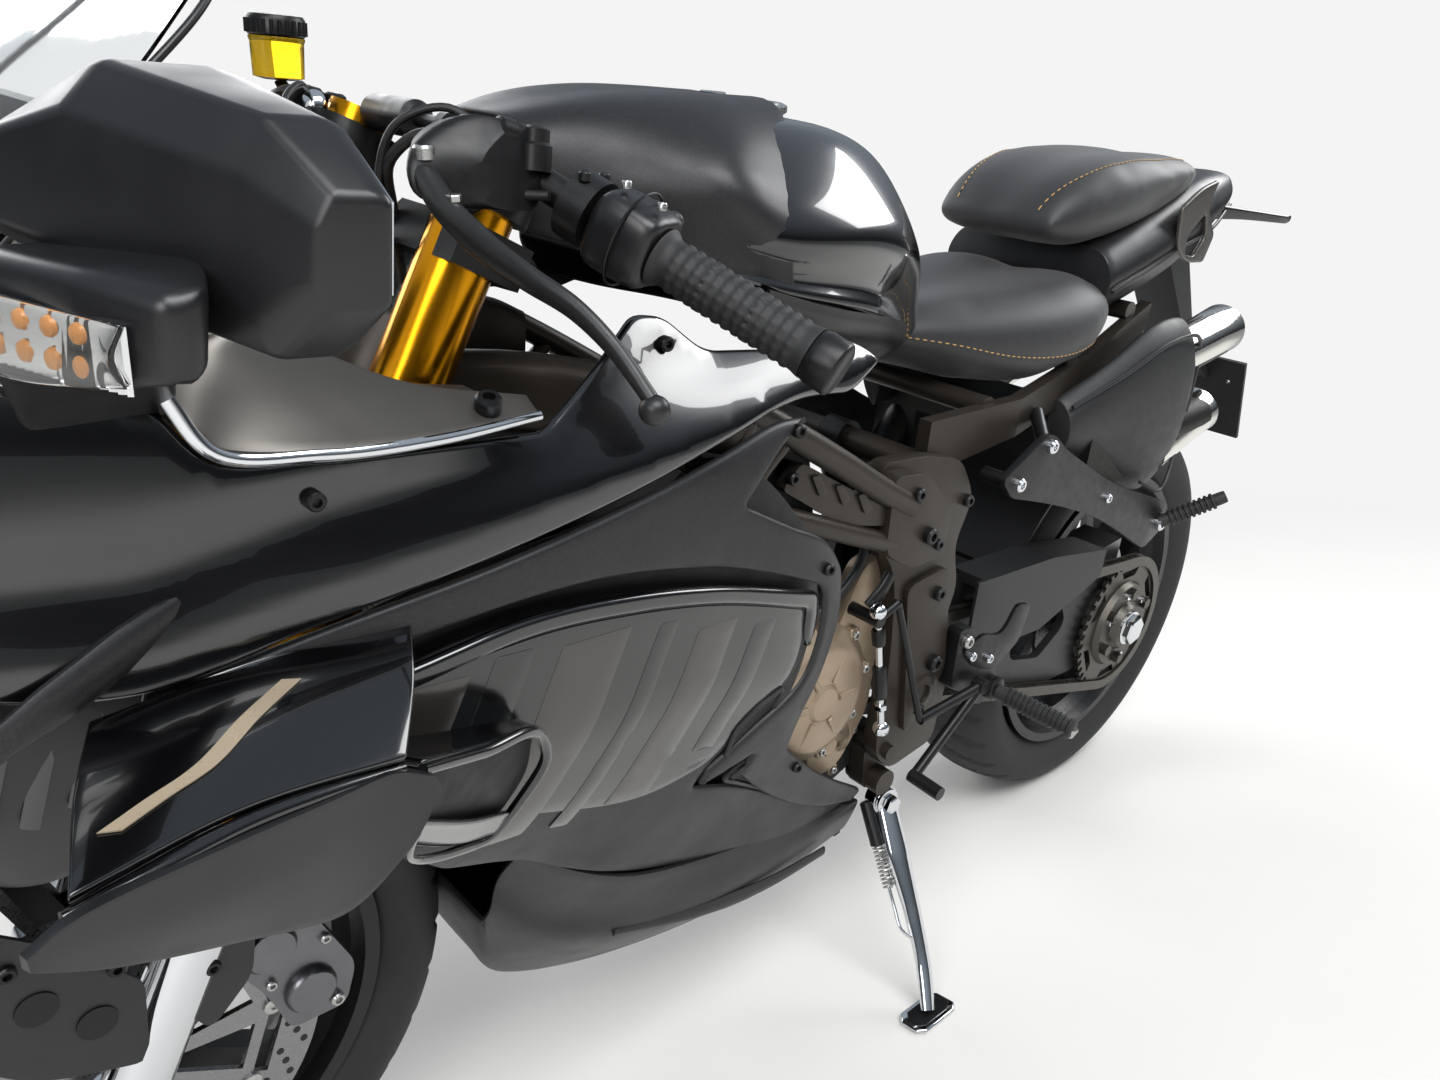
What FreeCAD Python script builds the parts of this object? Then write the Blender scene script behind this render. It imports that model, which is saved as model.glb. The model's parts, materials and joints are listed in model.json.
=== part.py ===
import FreeCAD, Part
import Sketcher
import math
import os

# Sport motorcycle, upright in its own frame and then leant onto its side stand.
# X points forward, Y to the rider's left and Z up. While upright, the origin is on the
# floor midway between the axles. All lengths are millimetres and all angles degrees.

Vector = FreeCAD.Vector
Rotation = FreeCAD.Rotation
Placement = FreeCAD.Placement
UP = Vector(0, 0, 1)
LEFT = Vector(0, 1, 0)
FORWARD = Vector(1, 0, 0)
ORIGIN = Vector(0, 0, 0)

doc = FreeCAD.newDocument("sport_motorcycle")
sheet = doc.addObject("Spreadsheet::Sheet", "Sizes")

# Driving dimensions: alias, value, meaning.
SIZES = [
    ("wheelbase", 1408, "axle to axle"),
    ("lean_angle", 11.8, "lean on the side stand"),
    ("rake_angle", 24.5, "steering axis from the vertical"),
    ("trail", 100, "steering axis ahead of the front contact point"),
    ("front_tyre_radius", 300, "120/70 R17"),
    ("front_tyre_width", 120, "over the sidewalls"),
    ("front_crown_radius", 62, "across the tread"),
    ("front_bead_half", 46, "half width between the rim flanges"),
    ("rear_tyre_radius", 315, "180/55 R17"),
    ("rear_tyre_width", 180, "over the sidewalls"),
    ("rear_crown_radius", 94, "across the tread"),
    ("rear_bead_half", 72, "half width between the rim flanges"),
    ("rim_seat_radius", 217, "where the tyre sits"),
    ("rim_flange_height", 8, "flange above the seat"),
    ("rim_flange_width", 6, "flange thickness"),
    ("rim_well_radius", 195, "inside of the rim at its middle"),
    ("spoke_thickness", 26, "wheel spokes"),
    ("wheel_spokes", 5, "forked spokes of each wheel"),
    ("disc_windows", 10, "windows of each disc carrier"),
    ("fit_gap", 0.3, "between pieces that sit on each other"),
    ("running_gap", 0.8, "between a running piece and its guide"),
    ("front_axle_radius", 12.5, "front wheel spindle"),
    ("front_hub_radius", 30, "front hub barrel"),
    ("front_hub_half", 62, "half length of the front hub"),
    ("fork_spacing", 210, "leg centre to leg centre"),
    ("fork_outer_radius", 27, "upper tube"),
    ("fork_inner_radius", 20.5, "sliding tube"),
    ("fork_top", 984, "height of the leg tops"),
    ("fork_outer_low", 520, "lower end of the upper tubes"),
    ("fork_lug_radius", 27, "axle clamp at the foot of each leg"),
    ("top_yoke_height", 900, "on the steering axis"),
    ("low_yoke_height", 715, "on the steering axis"),
    ("yoke_thickness", 30, "both yokes"),
    ("stem_radius", 16, "steering stem"),
    ("stem_bore_radius", 9, "hollow through the stem"),
    ("head_tube_radius", 29, "steering head of the frame"),
    ("front_disc_radius", 160, "brake disc"),
    ("front_disc_inner", 126, "inside of the braking ring"),
    ("front_carrier_radius", 113, "disc carrier"),
    ("front_disc_offset", 72, "disc centre from the wheel centre"),
    ("front_disc_thickness", 5, "brake disc"),
    ("disc_slot_gap", 2, "caliper slot each side of its disc"),
    ("rear_disc_radius", 120, "brake disc"),
    ("rear_disc_inner", 88, "inside of the braking ring"),
    ("rear_carrier_radius", 78, "disc carrier"),
    ("rear_disc_offset", 52, "disc centre from the wheel centre"),
    ("rear_disc_thickness", 5, "brake disc"),
    ("rear_disc_boss", 44, "middle of the disc carrier"),
    ("rear_axle_radius", 27, "hollow hub shaft"),
    ("rear_axle_bore", 15, "through the hub shaft, for a stand pin"),
    ("rear_hub_radius", 58, "rear hub barrel"),
    ("hub_boss_radius", 62, "hub carrier on the swingarm"),
    ("chain_line", 118, "chain centre from the wheel centre"),
    ("chain_pitch", 15.875, "roller chain"),
    ("chain_height", 15, "side plates"),
    ("chain_plate", 3, "side plate pair thickness"),
    ("sprocket_teeth", 41, "rear"),
    ("sprocket_nuts", 6, "on the rear sprocket"),
    ("front_sprocket_teeth", 16, "on the engine"),
    ("sprocket_thickness", 7, "both sprockets"),
    ("chain_roller_radius", 5.1, "roller chain"),
    ("front_sprocket_x", -45, "engine output shaft"),
    ("front_sprocket_z", 430, "engine output shaft"),
    ("pivot_x", -135, "swingarm pivot"),
    ("pivot_z", 406, "swingarm pivot"),
    ("pivot_tube_radius", 28, "swingarm pivot tube"),
    ("pivot_bolt_radius", 11, "swingarm pivot bolt"),
    ("arm_inner_y", 97, "swingarm beam beside the tyre"),
    ("arm_plate", 12, "swingarm beam thickness"),
    ("frame_plate_y", 152, "inner face of the pivot plates"),
    ("frame_plate", 16, "pivot plate thickness"),
    ("panel_thickness", 4, "fairing panels"),
    ("side_inset", 5, "lower side panel behind the form"),
    ("arch_height", 3, "arch of the side panel proud of the form"),
    ("crankcase_half", 128, "half width of the crankcase"),
    ("head_half", 165, "half width of the cylinder head"),
    ("cover_reach", 172, "outer face of the left engine cover"),
    ("header_radius", 19, "exhaust pipes"),
    ("tip_radius", 26, "exhaust outlets"),
    ("tip_wall", 2.5, "exhaust outlets"),
    ("bar_radius", 11, "handlebar tube"),
    ("grip_radius", 16.5, "handlebar grip"),
    ("grip_length", 118, "handlebar grip"),
    ("peg_length", 85, "rider foot peg"),
    ("shift_shaft_radius", 7, "gear shift shaft"),
    ("stand_pivot_x", -108, "side stand hinge"),
    ("stand_pivot_y", 154, "side stand hinge"),
    ("stand_pivot_z", 262, "side stand hinge"),
    ("stand_foot_x", -64, "middle of the foot on the floor"),
    ("stand_foot_y", 310, "middle of the foot on the floor"),
    ("stand_leg_radius", 11, "side stand leg"),
    ("stand_pin_radius", 6, "side stand hinge bolt"),
    ("stand_fold", 95, "side stand travel from its stop"),
    ("steering_lock", 25, "steering travel each way"),
    ("nose_reach", 940, "front of the nose"),
    ("tail_reach", -880, "back of the tail"),
    ("plate_reach", -1040, "back of the plate bracket"),
    ("belly_lap", 8, "belly pan rim inside the side panels"),
    ("fairing_stay_x", 300, "stays that hold the side panels"),
    ("fairing_stay_z", 772, "stays that hold the side panels"),
    ("plate_board", 6, "thickness of the plate carrier"),
    ("plate_half", 95, "half width of the plate carrier"),
    ("plate_hole_y", 70, "number plate hole from the middle"),
    ("plate_hole_rise", 100, "number plate hole above the foot of the carrier"),
    ("plate_hole_radius", 3.2, "number plate hole"),
    ("mirror_reach", 430, "outer edge of each mirror"),
    ("mirror_height", 1000, "middle of each mirror"),
]
for row, (alias, value, meaning) in enumerate(SIZES, start=1):
    sheet.set("A%d" % row, alias)
    sheet.set("B%d" % row, str(value))
    sheet.set("C%d" % row, meaning)
    sheet.setAlias("B%d" % row, alias)
doc.recompute()


def size(alias):
    """A driving dimension from the sheet."""
    return float(sheet.get(alias))


FIT = size("fit_gap")
FRONT_X = size("wheelbase") / 2
REAR_X = -size("wheelbase") / 2
FRONT_R = size("front_tyre_radius")
REAR_R = size("rear_tyre_radius")
FRONT_HUB = Vector(FRONT_X, 0, FRONT_R)
REAR_HUB = Vector(REAR_X, 0, REAR_R)
RAKE = math.radians(size("rake_angle"))
STEER_AXIS = Vector(-math.sin(RAKE), 0, math.cos(RAKE))
STEER_FOOT = Vector(FRONT_X + size("trail"), 0, 0)
LEAN = math.radians(size("lean_angle"))
STAND_PIVOT = Vector(size("stand_pivot_x"), size("stand_pivot_y"), size("stand_pivot_z"))
STAND_AXIS = Vector(0, 0.878, 0.479).normalize()


def resting_placement():
    """Leans the upright bike until both tyres touch the floor, and centres its outline."""
    tilt = Rotation(FORWARD, -size("lean_angle"))
    heights = {}
    for name, hub, radius, crown in (
        ("front", FRONT_HUB, FRONT_R, size("front_crown_radius")),
        ("rear", REAR_HUB, REAR_R, size("rear_crown_radius")),
    ):
        ring = radius - crown
        heights[name] = ring * math.cos(LEAN) + crown - hub.z * math.cos(LEAN)
    pitch = math.atan2(heights["rear"] - heights["front"], size("wheelbase"))
    level = Rotation(LEFT, math.degrees(pitch))
    turn = level.multiply(tilt)
    lift = (heights["front"] + heights["rear"]) / 2
    reach = size("mirror_reach") * math.cos(LEAN)
    shift = size("mirror_height") * math.sin(LEAN)
    middle_x = (FRONT_X + FRONT_R + size("plate_reach")) / 2
    middle_y = ((reach + shift) + (shift - reach)) / 2
    return Placement(Vector(-middle_x, -middle_y, lift), turn)


REST = resting_placement()

# Sub-parts in the order in which they are written, and their upright shapes by name.
nodes = []
shapes = {}


def keep(label, shape):
    """Stores a finished shape as a sub-part of its own, leant as the bike stands."""
    piece = doc.addObject("Part::Feature", label)
    piece.Label = label
    piece.Shape = shape
    piece.Placement = REST.multiply(piece.Placement)
    nodes.append(piece)
    shapes[label] = shape


ALIASES = {alias for alias, value, meaning in SIZES}


def number_of(total):
    """Value of a sum of sizes, such as "rim_seat_radius + fit_gap - 4"."""
    result, sign = 0.0, 1
    for word in total.split():
        if word in ("+", "-"):
            sign = 1 if word == "+" else -1
        else:
            name, slash, share = word.partition("/")
            value = size(name) if name in ALIASES else float(name)
            result += sign * value / (float(share) if slash else 1)
    return result


def formula_of(total):
    """The same sum as a formula of the sheet."""
    return " ".join("Sizes." + word if word.partition("/")[0] in ALIASES else word
                    for word in total.split())


def plane_of(body, role):
    """One of a body's own origin planes."""
    return next(item for item in body.Origin.OriginFeatures if item.Role == role)


def bound_sketch(body, name, role, corners, arcs=None):
    """A closed sketch bound to the sheet: corners are pairs of sums of sizes.

    arcs gives, for a corner's number, a point that the run to the next corner passes."""
    arcs = arcs or {}
    drawing = body.newObject("Sketcher::SketchObject", name)
    drawing.AttachmentSupport = [(plane_of(body, role), "")]
    drawing.MapMode = "FlatFace"
    points = [Vector(number_of(x), number_of(y), 0) for x, y in corners]
    count = len(points)
    for number, start in enumerate(points):
        end = points[(number + 1) % count]
        edge = Part.Arc(start, arcs[number], end) if number in arcs else Part.LineSegment(start, end)
        drawing.addGeometry(edge, False)
    starts = []
    for number, edge in enumerate(drawing.Geometry):
        turned = edge.StartPoint.sub(points[number]).Length > 0.01
        starts.append(2 if turned else 1)
    for number in range(count):
        after = (number + 1) % count
        drawing.addConstraint(Sketcher.Constraint("Coincident", number, 3 - starts[number],
                                                  after, starts[after]))
    for number, (x, y) in enumerate(corners):
        for kind, total in (("DistanceX", x), ("DistanceY", y)):
            row = drawing.addConstraint(Sketcher.Constraint(
                kind, -1, 1, number, starts[number], number_of(total)))
            drawing.setExpression("Constraints[%d]" % row, formula_of(total))
    for number in arcs:
        drawing.addConstraint(Sketcher.Constraint("Radius", number,
                                                  drawing.Geometry[number].Radius))
    return drawing


def turned(body, name, corners, arcs=None):
    """A section turned about the wheel's axle: corners are along the axle and away from it."""
    section = bound_sketch(body, name + "_section", "YZ_Plane", corners, arcs)
    ring = body.newObject("PartDesign::Revolution", name)
    ring.Profile = section
    ring.ReferenceAxis = (section, ["H_Axis"])
    ring.Angle = 360
    return ring


def repeated(body, feature, alias):
    """A feature repeated round the wheel's axle, as often as a size says."""
    ring = body.newObject("PartDesign::PolarPattern", feature.Name + "_ring")
    ring.Originals = [feature]
    ring.Axis = (feature.Profile[0], ["N_Axis"])
    ring.Angle = 360
    ring.setExpression("Occurrences", "Sizes." + alias)
    body.Tip = ring
    return ring


def raised(body, name, outline, thickness, offset="0"):
    """A side view outline made solid, evenly about a distance along the axle."""
    drawing = bound_sketch(body, name + "_outline", "XZ_Plane", outline)
    drawing.AttachmentOffset = Placement(Vector(0, 0, -number_of(offset)), Rotation())
    drawing.setExpression("AttachmentOffset.Base.z", "0 - (" + formula_of(offset) + ")")
    pad = body.newObject("PartDesign::Pad", name)
    pad.Profile = drawing
    pad.SideType = "Symmetric"
    pad.setExpression("Length", formula_of(thickness))
    return pad


def cut_through(body, name, outline):
    """A side view outline cut right through a wheel part."""
    drawing = bound_sketch(body, name + "_outline", "XZ_Plane", outline)
    pocket = body.newObject("PartDesign::Pocket", name)
    pocket.Profile = drawing
    pocket.Type = "ThroughAll"
    pocket.SideType = "Symmetric"
    return pocket


def keep_bound(label, item, place):
    """Names a finished parametric object as a sub-part, at a place of the upright bike."""
    item.Label = label
    item.Placement = REST.multiply(place)
    doc.recompute()
    nodes.append(item)
    shape = item.Shape.copy()
    shape.Placement = place
    shapes[label] = shape


def round_bar(name, radius, length):
    """A parametric round bar along Z, bound to the sheet."""
    bar = doc.addObject("Part::Cylinder", name)
    bar.setExpression("Radius", formula_of(radius))
    bar.setExpression("Height", formula_of(length))
    return bar


def cylinder(start, end, radius):
    """A round bar between two points."""
    run = end.sub(start)
    return Part.makeCylinder(radius, run.Length, start, run)


def pipe(start, end, radius, bore):
    """A hollow round bar between two points."""
    run = end.sub(start).normalize()
    tool = cylinder(start.sub(run), end.add(run), bore)
    return cylinder(start, end, radius).cut(tool)


def across(x, z, y_from, y_to, radius):
    """A round bar along Y."""
    return cylinder(Vector(x, y_from, z), Vector(x, y_to, z), radius)


def across_x(x_from, x_to, y, z, radius):
    """A round bar along X."""
    return cylinder(Vector(x_from, y, z), Vector(x_to, y, z), radius)


def profile(points_xz, y):
    """A flat face in a plane of constant Y."""
    corners = [Vector(x, y, z) for x, z in points_xz]
    return Part.Face(Part.makePolygon(corners + corners[:1]))


def prism(points_xz, y_from, y_to):
    """A side view outline, as thick as it is across the bike."""
    return profile(points_xz, y_from).extrude(Vector(0, y_to - y_from, 0))


def rounded_face(points_xz, y, radius):
    """A flat face in a plane of constant Y, its corners rounded as far as its sides allow."""
    corners = [Vector(x, y, z) for x, z in points_xz]
    count = len(corners)
    rounds = []
    for number, corner in enumerate(corners):
        into = corners[number - 1].sub(corner)
        out = corners[(number + 1) % count].sub(corner)
        half = into.getAngle(out) / 2
        setback = min(radius / math.tan(half), 0.45 * min(into.Length, out.Length))
        bend = setback * math.tan(half)
        into.normalize()
        out.normalize()
        middle = Vector(into).add(out)
        if math.degrees(half) > 86:
            rounds.append((corner, None, corner))
            continue
        middle.normalize().multiply(bend / math.sin(half) - bend)
        rounds.append((corner.add(Vector(into).multiply(setback)), corner.add(middle),
                       corner.add(Vector(out).multiply(setback))))
    edges = []
    for number, (start, middle, end) in enumerate(rounds):
        if middle is not None:
            edges.append(Part.Arc(start, middle, end).toShape())
        edges.append(Part.LineSegment(end, rounds[(number + 1) % count][0]).toShape())
    return Part.Face(Part.Wire(edges))


def rounded_prism(points_xz, y_from, y_to, radius):
    """A rounded side view outline, as thick as it is across the bike."""
    return rounded_face(points_xz, y_from, radius).extrude(Vector(0, y_to - y_from, 0))


def both(y_near, y_far, side):
    """Two distances from the middle on one side, in rising order."""
    return sorted((side * y_near, side * y_far))


def mirrored(shape):
    """The same shape on the other side of the bike."""
    return shape.mirror(ORIGIN, LEFT)


def pair(shape):
    """A left piece and its right twin."""
    return Part.makeCompound([shape, mirrored(shape)])


def fused(shapes):
    """One solid from pieces that meet, with faces that continue each other merged."""
    body = shapes[0].multiFuse(shapes[1:]) if len(shapes) > 1 else shapes[0]
    merged = body.removeSplitter()
    return merged if merged.isValid() else body


def joined(shapes):
    """One body from pieces that meet, with every face kept as it is."""
    return shapes[0].multiFuse(shapes[1:])


def bent_path(points, bend):
    """Straight runs joined by tangent arcs of one radius."""
    edges = []
    last = points[0]
    for before, corner, after in zip(points, points[1:], points[2:]):
        into = before.sub(corner).normalize()
        out = after.sub(corner).normalize()
        half = into.getAngle(out) / 2
        setback = bend / math.tan(half)
        start = corner.add(Vector(into).multiply(setback))
        end = corner.add(Vector(out).multiply(setback))
        middle = Vector(into).add(out).normalize().multiply(bend / math.sin(half) - bend)
        edges.append(Part.LineSegment(last, start).toShape())
        edges.append(Part.Arc(start, corner.add(middle), end).toShape())
        last = end
    edges.append(Part.LineSegment(last, points[-1]).toShape())
    return Part.Wire(edges)


def bent_tube(points, radius, bend):
    """A round tube along straight runs and tangent arcs."""
    path = bent_path(points, bend)
    start = points[1].sub(points[0])
    ring = Part.Wire(Part.makeCircle(radius, points[0], start))
    return path.makePipeShell([ring], True, False)


def ruled_loft(sections):
    """A solid through closed sections, straight between them."""
    wires = [Part.makePolygon(points + points[:1]) for points in sections]
    return Part.makeLoft(wires, True, True)


def steering_point(height):
    """The point of the steering axis at a height."""
    return STEER_FOOT.add(Vector(STEER_AXIS).multiply(height / STEER_AXIS.z))


STEM_LOW = steering_point(size("low_yoke_height")).sub(
    Vector(STEER_AXIS).multiply(size("yoke_thickness") / 2))
STEM_HIGH = steering_point(size("top_yoke_height") + 20)


def leg_point(height, side=1):
    """The point of a fork leg's centre line at a height."""
    run = (height - FRONT_R) / STEER_AXIS.z
    point = FRONT_HUB.add(Vector(STEER_AXIS).multiply(run))
    return Vector(point.x, side * size("fork_spacing") / 2, point.z)


# Fairing form

# Half widths of the fairing form: rows are stations along X, columns are heights.
FORM_HEIGHTS = (250, 340, 440, 540, 640, 720, 800, 860, 900)
FORM_STATIONS = {
    -90: (150, 158, 166, 172, 178, 182, 182, 165, 150),
    40: (166, 182, 192, 200, 206, 212, 205, 185, 165),
    160: (168, 190, 214, 240, 250, 248, 228, 195, 176),
    280: (158, 186, 224, 250, 262, 262, 246, 206, 184),
    400: (128, 172, 210, 252, 268, 268, 258, 230, 200),
    520: (110, 150, 192, 248, 270, 270, 262, 250, 226),
    620: (100, 130, 165, 228, 262, 264, 258, 244, 228),
    720: (90, 110, 140, 190, 235, 250, 242, 230, 216),
    810: (80, 100, 125, 165, 200, 214, 212, 200, 190),
}


def between(value, steps, results):
    """Straight interpolation in a rising table."""
    for low, high, first, last in zip(steps, steps[1:], results, results[1:]):
        if value <= high:
            break
    return first + (last - first) * (value - low) / (high - low)


def form_width(x, z):
    """Half width of the fairing form at a point of its side view."""
    stations = list(FORM_STATIONS)
    widths = [between(z, FORM_HEIGHTS, FORM_STATIONS[station]) for station in stations]
    return between(x, stations, widths)


def form_shell(inset, thickness):
    """The left half of the fairing form as one thick sheet."""
    sections = []
    for x, widths in FORM_STATIONS.items():
        outer = [Vector(x, y - inset, z) for y, z in zip(widths, FORM_HEIGHTS)]
        inner = [Vector(x, y - inset - thickness, z) for y, z in zip(widths, FORM_HEIGHTS)]
        sections.append(outer + inner[::-1])
    return ruled_loft(sections)


# Wheels


def tyre(label, hub, prefix):
    """A tyre turned from its seat, sidewalls and round tread."""
    radius, crown = size(prefix + "_tyre_radius"), size(prefix + "_crown_radius")
    half = size(prefix + "_tyre_width") / 2
    tread_edge = half - 2
    shoulder = radius - crown + math.sqrt(crown ** 2 - tread_edge ** 2)
    flange = "rim_seat_radius + rim_flange_height + fit_gap + fit_gap"
    belly = (number_of(flange) + shoulder) / 2
    bead = prefix + "_bead_half"
    edge = prefix + "_tyre_width/2 - 2"
    corners = [
        ("0 - " + bead, flange), ("0 - " + bead, "rim_seat_radius + fit_gap"),
        (bead, "rim_seat_radius + fit_gap"), (bead, flange),
        (edge, "%.4f" % shoulder), ("0 - " + prefix + "_tyre_width/2 + 2", "%.4f" % shoulder),
    ]
    arcs = {3: Vector(half, belly, 0), 4: Vector(0, radius, 0), 5: Vector(-half, belly, 0)}
    body = doc.addObject("PartDesign::Body", label)
    turned(body, label + "_ring", corners, arcs)
    keep_bound(label, body, Placement(hub, Rotation()))


def forked_spoke(root, tip):
    """Side view outline of one forked spoke, from a radius at the hub to one at the rim."""
    half = [("15", root), ("11", root + " + 58"), ("54", tip), ("38", tip + " + 4"),
            ("0", root + " + 92")]
    left = [("0 - " + x, z) for x, z in half[-2::-1]]
    return half + left


def rim(label, hub, prefix, hub_from, hub_to, bore):
    """Hub, forked spokes and a barrel with its flanges and dropped middle."""
    bead = prefix + "_bead_half"
    near, edge = bead + " + fit_gap", bead + " + fit_gap + rim_flange_width"
    seat = "rim_seat_radius"
    outer = [(edge, seat + " - 6"), (edge, seat + " + rim_flange_height"),
             (near, seat + " + rim_flange_height"), (near, seat)]
    inner = [(bead + " - 10", seat + " - 12"), (bead + " - 28", "rim_well_radius")]
    left = [("0 - " + x.replace(" - ", " ~ ").replace(" + ", " - ").replace(" ~ ", " + "), z)
            for x, z in outer[::-1]]
    left_inner = [("0 - " + x.replace(" - ", " ~ ").replace(" + ", " - ").replace(" ~ ", " + "), z)
                  for x, z in inner]
    body = doc.addObject("PartDesign::Body", label)
    hub_radius = prefix + "_hub_radius"
    turned(body, label + "_hub", [(hub_from, bore), (hub_from, hub_radius), (hub_to, hub_radius),
                                  (hub_to, bore)])
    arm = raised(body, label + "_spoke", forked_spoke(hub_radius + " - 6", "rim_well_radius + 4"),
                 "spoke_thickness")
    repeated(body, arm, "wheel_spokes")
    turned(body, label + "_barrel", outer + left + left_inner + inner[::-1])
    keep_bound(label, body, Placement(hub, Rotation()))


def brake_disc(label, prefix, bore, hub_radius, hub_from):
    """A braking ring and its windowed carrier, joined by bobbins between slots."""
    body = doc.addObject("PartDesign::Body", label)
    offset, half = prefix + "_disc_offset", prefix + "_disc_thickness/2"
    near, far = offset + " - " + half, offset + " + " + half
    boss = [(hub_from, bore), (hub_from, hub_radius), (near, hub_radius)]
    if hub_from == near:
        boss = [(near, bore)]
    turned(body, label + "_plate", boss + [
        (near, prefix + "_disc_radius"), (far, prefix + "_disc_radius"), (far, bore)])
    carrier, ring = prefix + "_carrier_radius", prefix + "_disc_inner"
    pitch = math.pi / size("disc_windows")
    wide = size(prefix + "_carrier_radius") * math.sin(pitch)
    slot = cut_through(body, label + "_slot", [
        ("%.2f" % (-wide * 0.8), carrier), ("%.2f" % (wide * 0.8), carrier),
        ("%.2f" % (wide * 0.86), ring), ("%.2f" % (-wide * 0.86), ring)])
    repeated(body, slot, "disc_windows")
    low = hub_radius + " + 8"
    narrow = number_of(low) * math.sin(pitch)
    window = cut_through(body, label + "_window", [
        ("%.2f" % (-narrow * 0.55), low), ("%.2f" % (narrow * 0.55), low),
        ("%.2f" % (wide * 0.62), carrier + " - 10"), ("%.2f" % (-wide * 0.62), carrier + " - 10")])
    repeated(body, window, "disc_windows")
    return body


def front_wheel():
    bore = "front_axle_radius + fit_gap"
    hub = Placement(FRONT_HUB, Rotation())
    rim("front_rim", FRONT_HUB, "front", "0 - front_hub_half", "front_hub_half", bore)
    tyre("front_tyre", FRONT_HUB, "front")
    left = brake_disc("left_front_disc", "front", bore, "front_hub_radius", "front_hub_half")
    right = doc.addObject("Part::Mirroring", "right_front_disc")
    right.Source = left
    right.Normal = LEFT
    discs = doc.addObject("Part::Compound", "front_disc_pair")
    discs.Links = [left, right]
    keep_bound("front_discs", discs, hub)


def rear_wheel():
    hub = Placement(REAR_HUB, Rotation())
    bore = "rear_axle_radius + fit_gap"
    face = "rear_disc_offset - rear_disc_thickness/2"
    rim("rear_rim", REAR_HUB, "rear", "0 - 60", face, bore)
    tyre("rear_tyre", REAR_HUB, "rear")
    disc = brake_disc("rear_disc", "rear", bore, "rear_disc_boss", face)
    keep_bound("rear_disc", disc, hub)
    keep_bound("rear_sprocket", rear_sprocket(), hub)


def rear_sprocket():
    """Hub shaft with its nut, and outside the swingarm the sprocket on its carrier."""
    body = doc.addObject("PartDesign::Body", "rear_sprocket")
    line, half = "chain_line", "sprocket_thickness/2"
    tip = "%.3f" % sprocket_tip_radius()
    outer, inner = "chain_line + 22", "0 - 60 - fit_gap"
    turned(body, "hub_shaft", [
        ("0 - 84", "rear_axle_bore"), ("0 - 84", "40"), (inner, "40"), (inner, "rear_axle_radius"),
        (line + " - " + half, "rear_axle_radius"), (line + " - " + half, tip),
        (line + " + " + half, tip), (line + " + " + half, "70"), (line + " + 12", "66"),
        (line + " + 12", "40"), (outer, "34"), (outer, "rear_axle_bore")])
    gap_sketch = body.newObject("Sketcher::SketchObject", "tooth_gap_outline")
    gap_sketch.AttachmentSupport = [(plane_of(body, "XZ_Plane"), "")]
    gap_sketch.MapMode = "FlatFace"
    pitch = pitch_radius(size("sprocket_teeth"))
    gap_sketch.addGeometry(Part.Circle(Vector(0, pitch, 0), UP, size("chain_roller_radius")), False)
    gap_sketch.addConstraint(Sketcher.Constraint("Radius", 0, size("chain_roller_radius")))
    gap_sketch.setExpression("Constraints[0]", "Sizes.chain_roller_radius")
    gap = body.newObject("PartDesign::Pocket", "tooth_gap")
    gap.Profile = gap_sketch
    gap.Type = "ThroughAll"
    gap.SideType = "Symmetric"
    repeated(body, gap, "sprocket_teeth")
    window = cut_through(body, "sprocket_window", [
        ("0 - 17", "78"), ("17", "78"), ("25", "90"), ("0 - 25", "90")])
    repeated(body, window, "sprocket_nuts")
    nut = raised(body, "sprocket_nut", [("8", "50"), ("8", "60"), ("0", "64"), ("0 - 8", "60"),
                                        ("0 - 8", "50"), ("0", "46")], "12",
                 "chain_line + 15")
    repeated(body, nut, "sprocket_nuts")
    return body


# Final drive


def pitch_radius(teeth):
    return size("chain_pitch") / (2 * math.sin(math.pi / teeth))


def sprocket_tip_radius():
    return pitch_radius(size("sprocket_teeth")) + 4


def chain_band(grow, y_from, y_to):
    """The closed loop round both sprockets, grown outwards from the pitch line."""
    near = Vector(size("front_sprocket_x"), 0, size("front_sprocket_z"))
    run = REAR_HUB.sub(near)
    small = pitch_radius(size("front_sprocket_teeth")) + grow
    large = pitch_radius(size("sprocket_teeth")) + grow
    wrap = math.asin((large - small) / run.Length)
    along = Vector(run).normalize()
    corners = []
    for side in (1, -1):
        lift = Rotation(LEFT, side * 90).multVec(along)
        tangent = Vector(lift).multiply(math.cos(wrap)).sub(Vector(along).multiply(math.sin(wrap)))
        corners.append((near.add(Vector(tangent).multiply(small)),
                        REAR_HUB.add(Vector(tangent).multiply(large))))
    (near_a, far_a), (near_b, far_b) = corners
    front_point = near.sub(Vector(along).multiply(small))
    back_point = REAR_HUB.add(Vector(along).multiply(large))
    wire = Part.Wire([
        Part.LineSegment(near_a, far_a).toShape(),
        Part.Arc(far_a, back_point, far_b).toShape(),
        Part.LineSegment(far_b, near_b).toShape(),
        Part.Arc(near_b, front_point, near_a).toShape(),
    ])
    face = Part.Face(wire)
    face.translate(Vector(0, y_from, 0))
    return face.extrude(Vector(0, y_to - y_from, 0))


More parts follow.
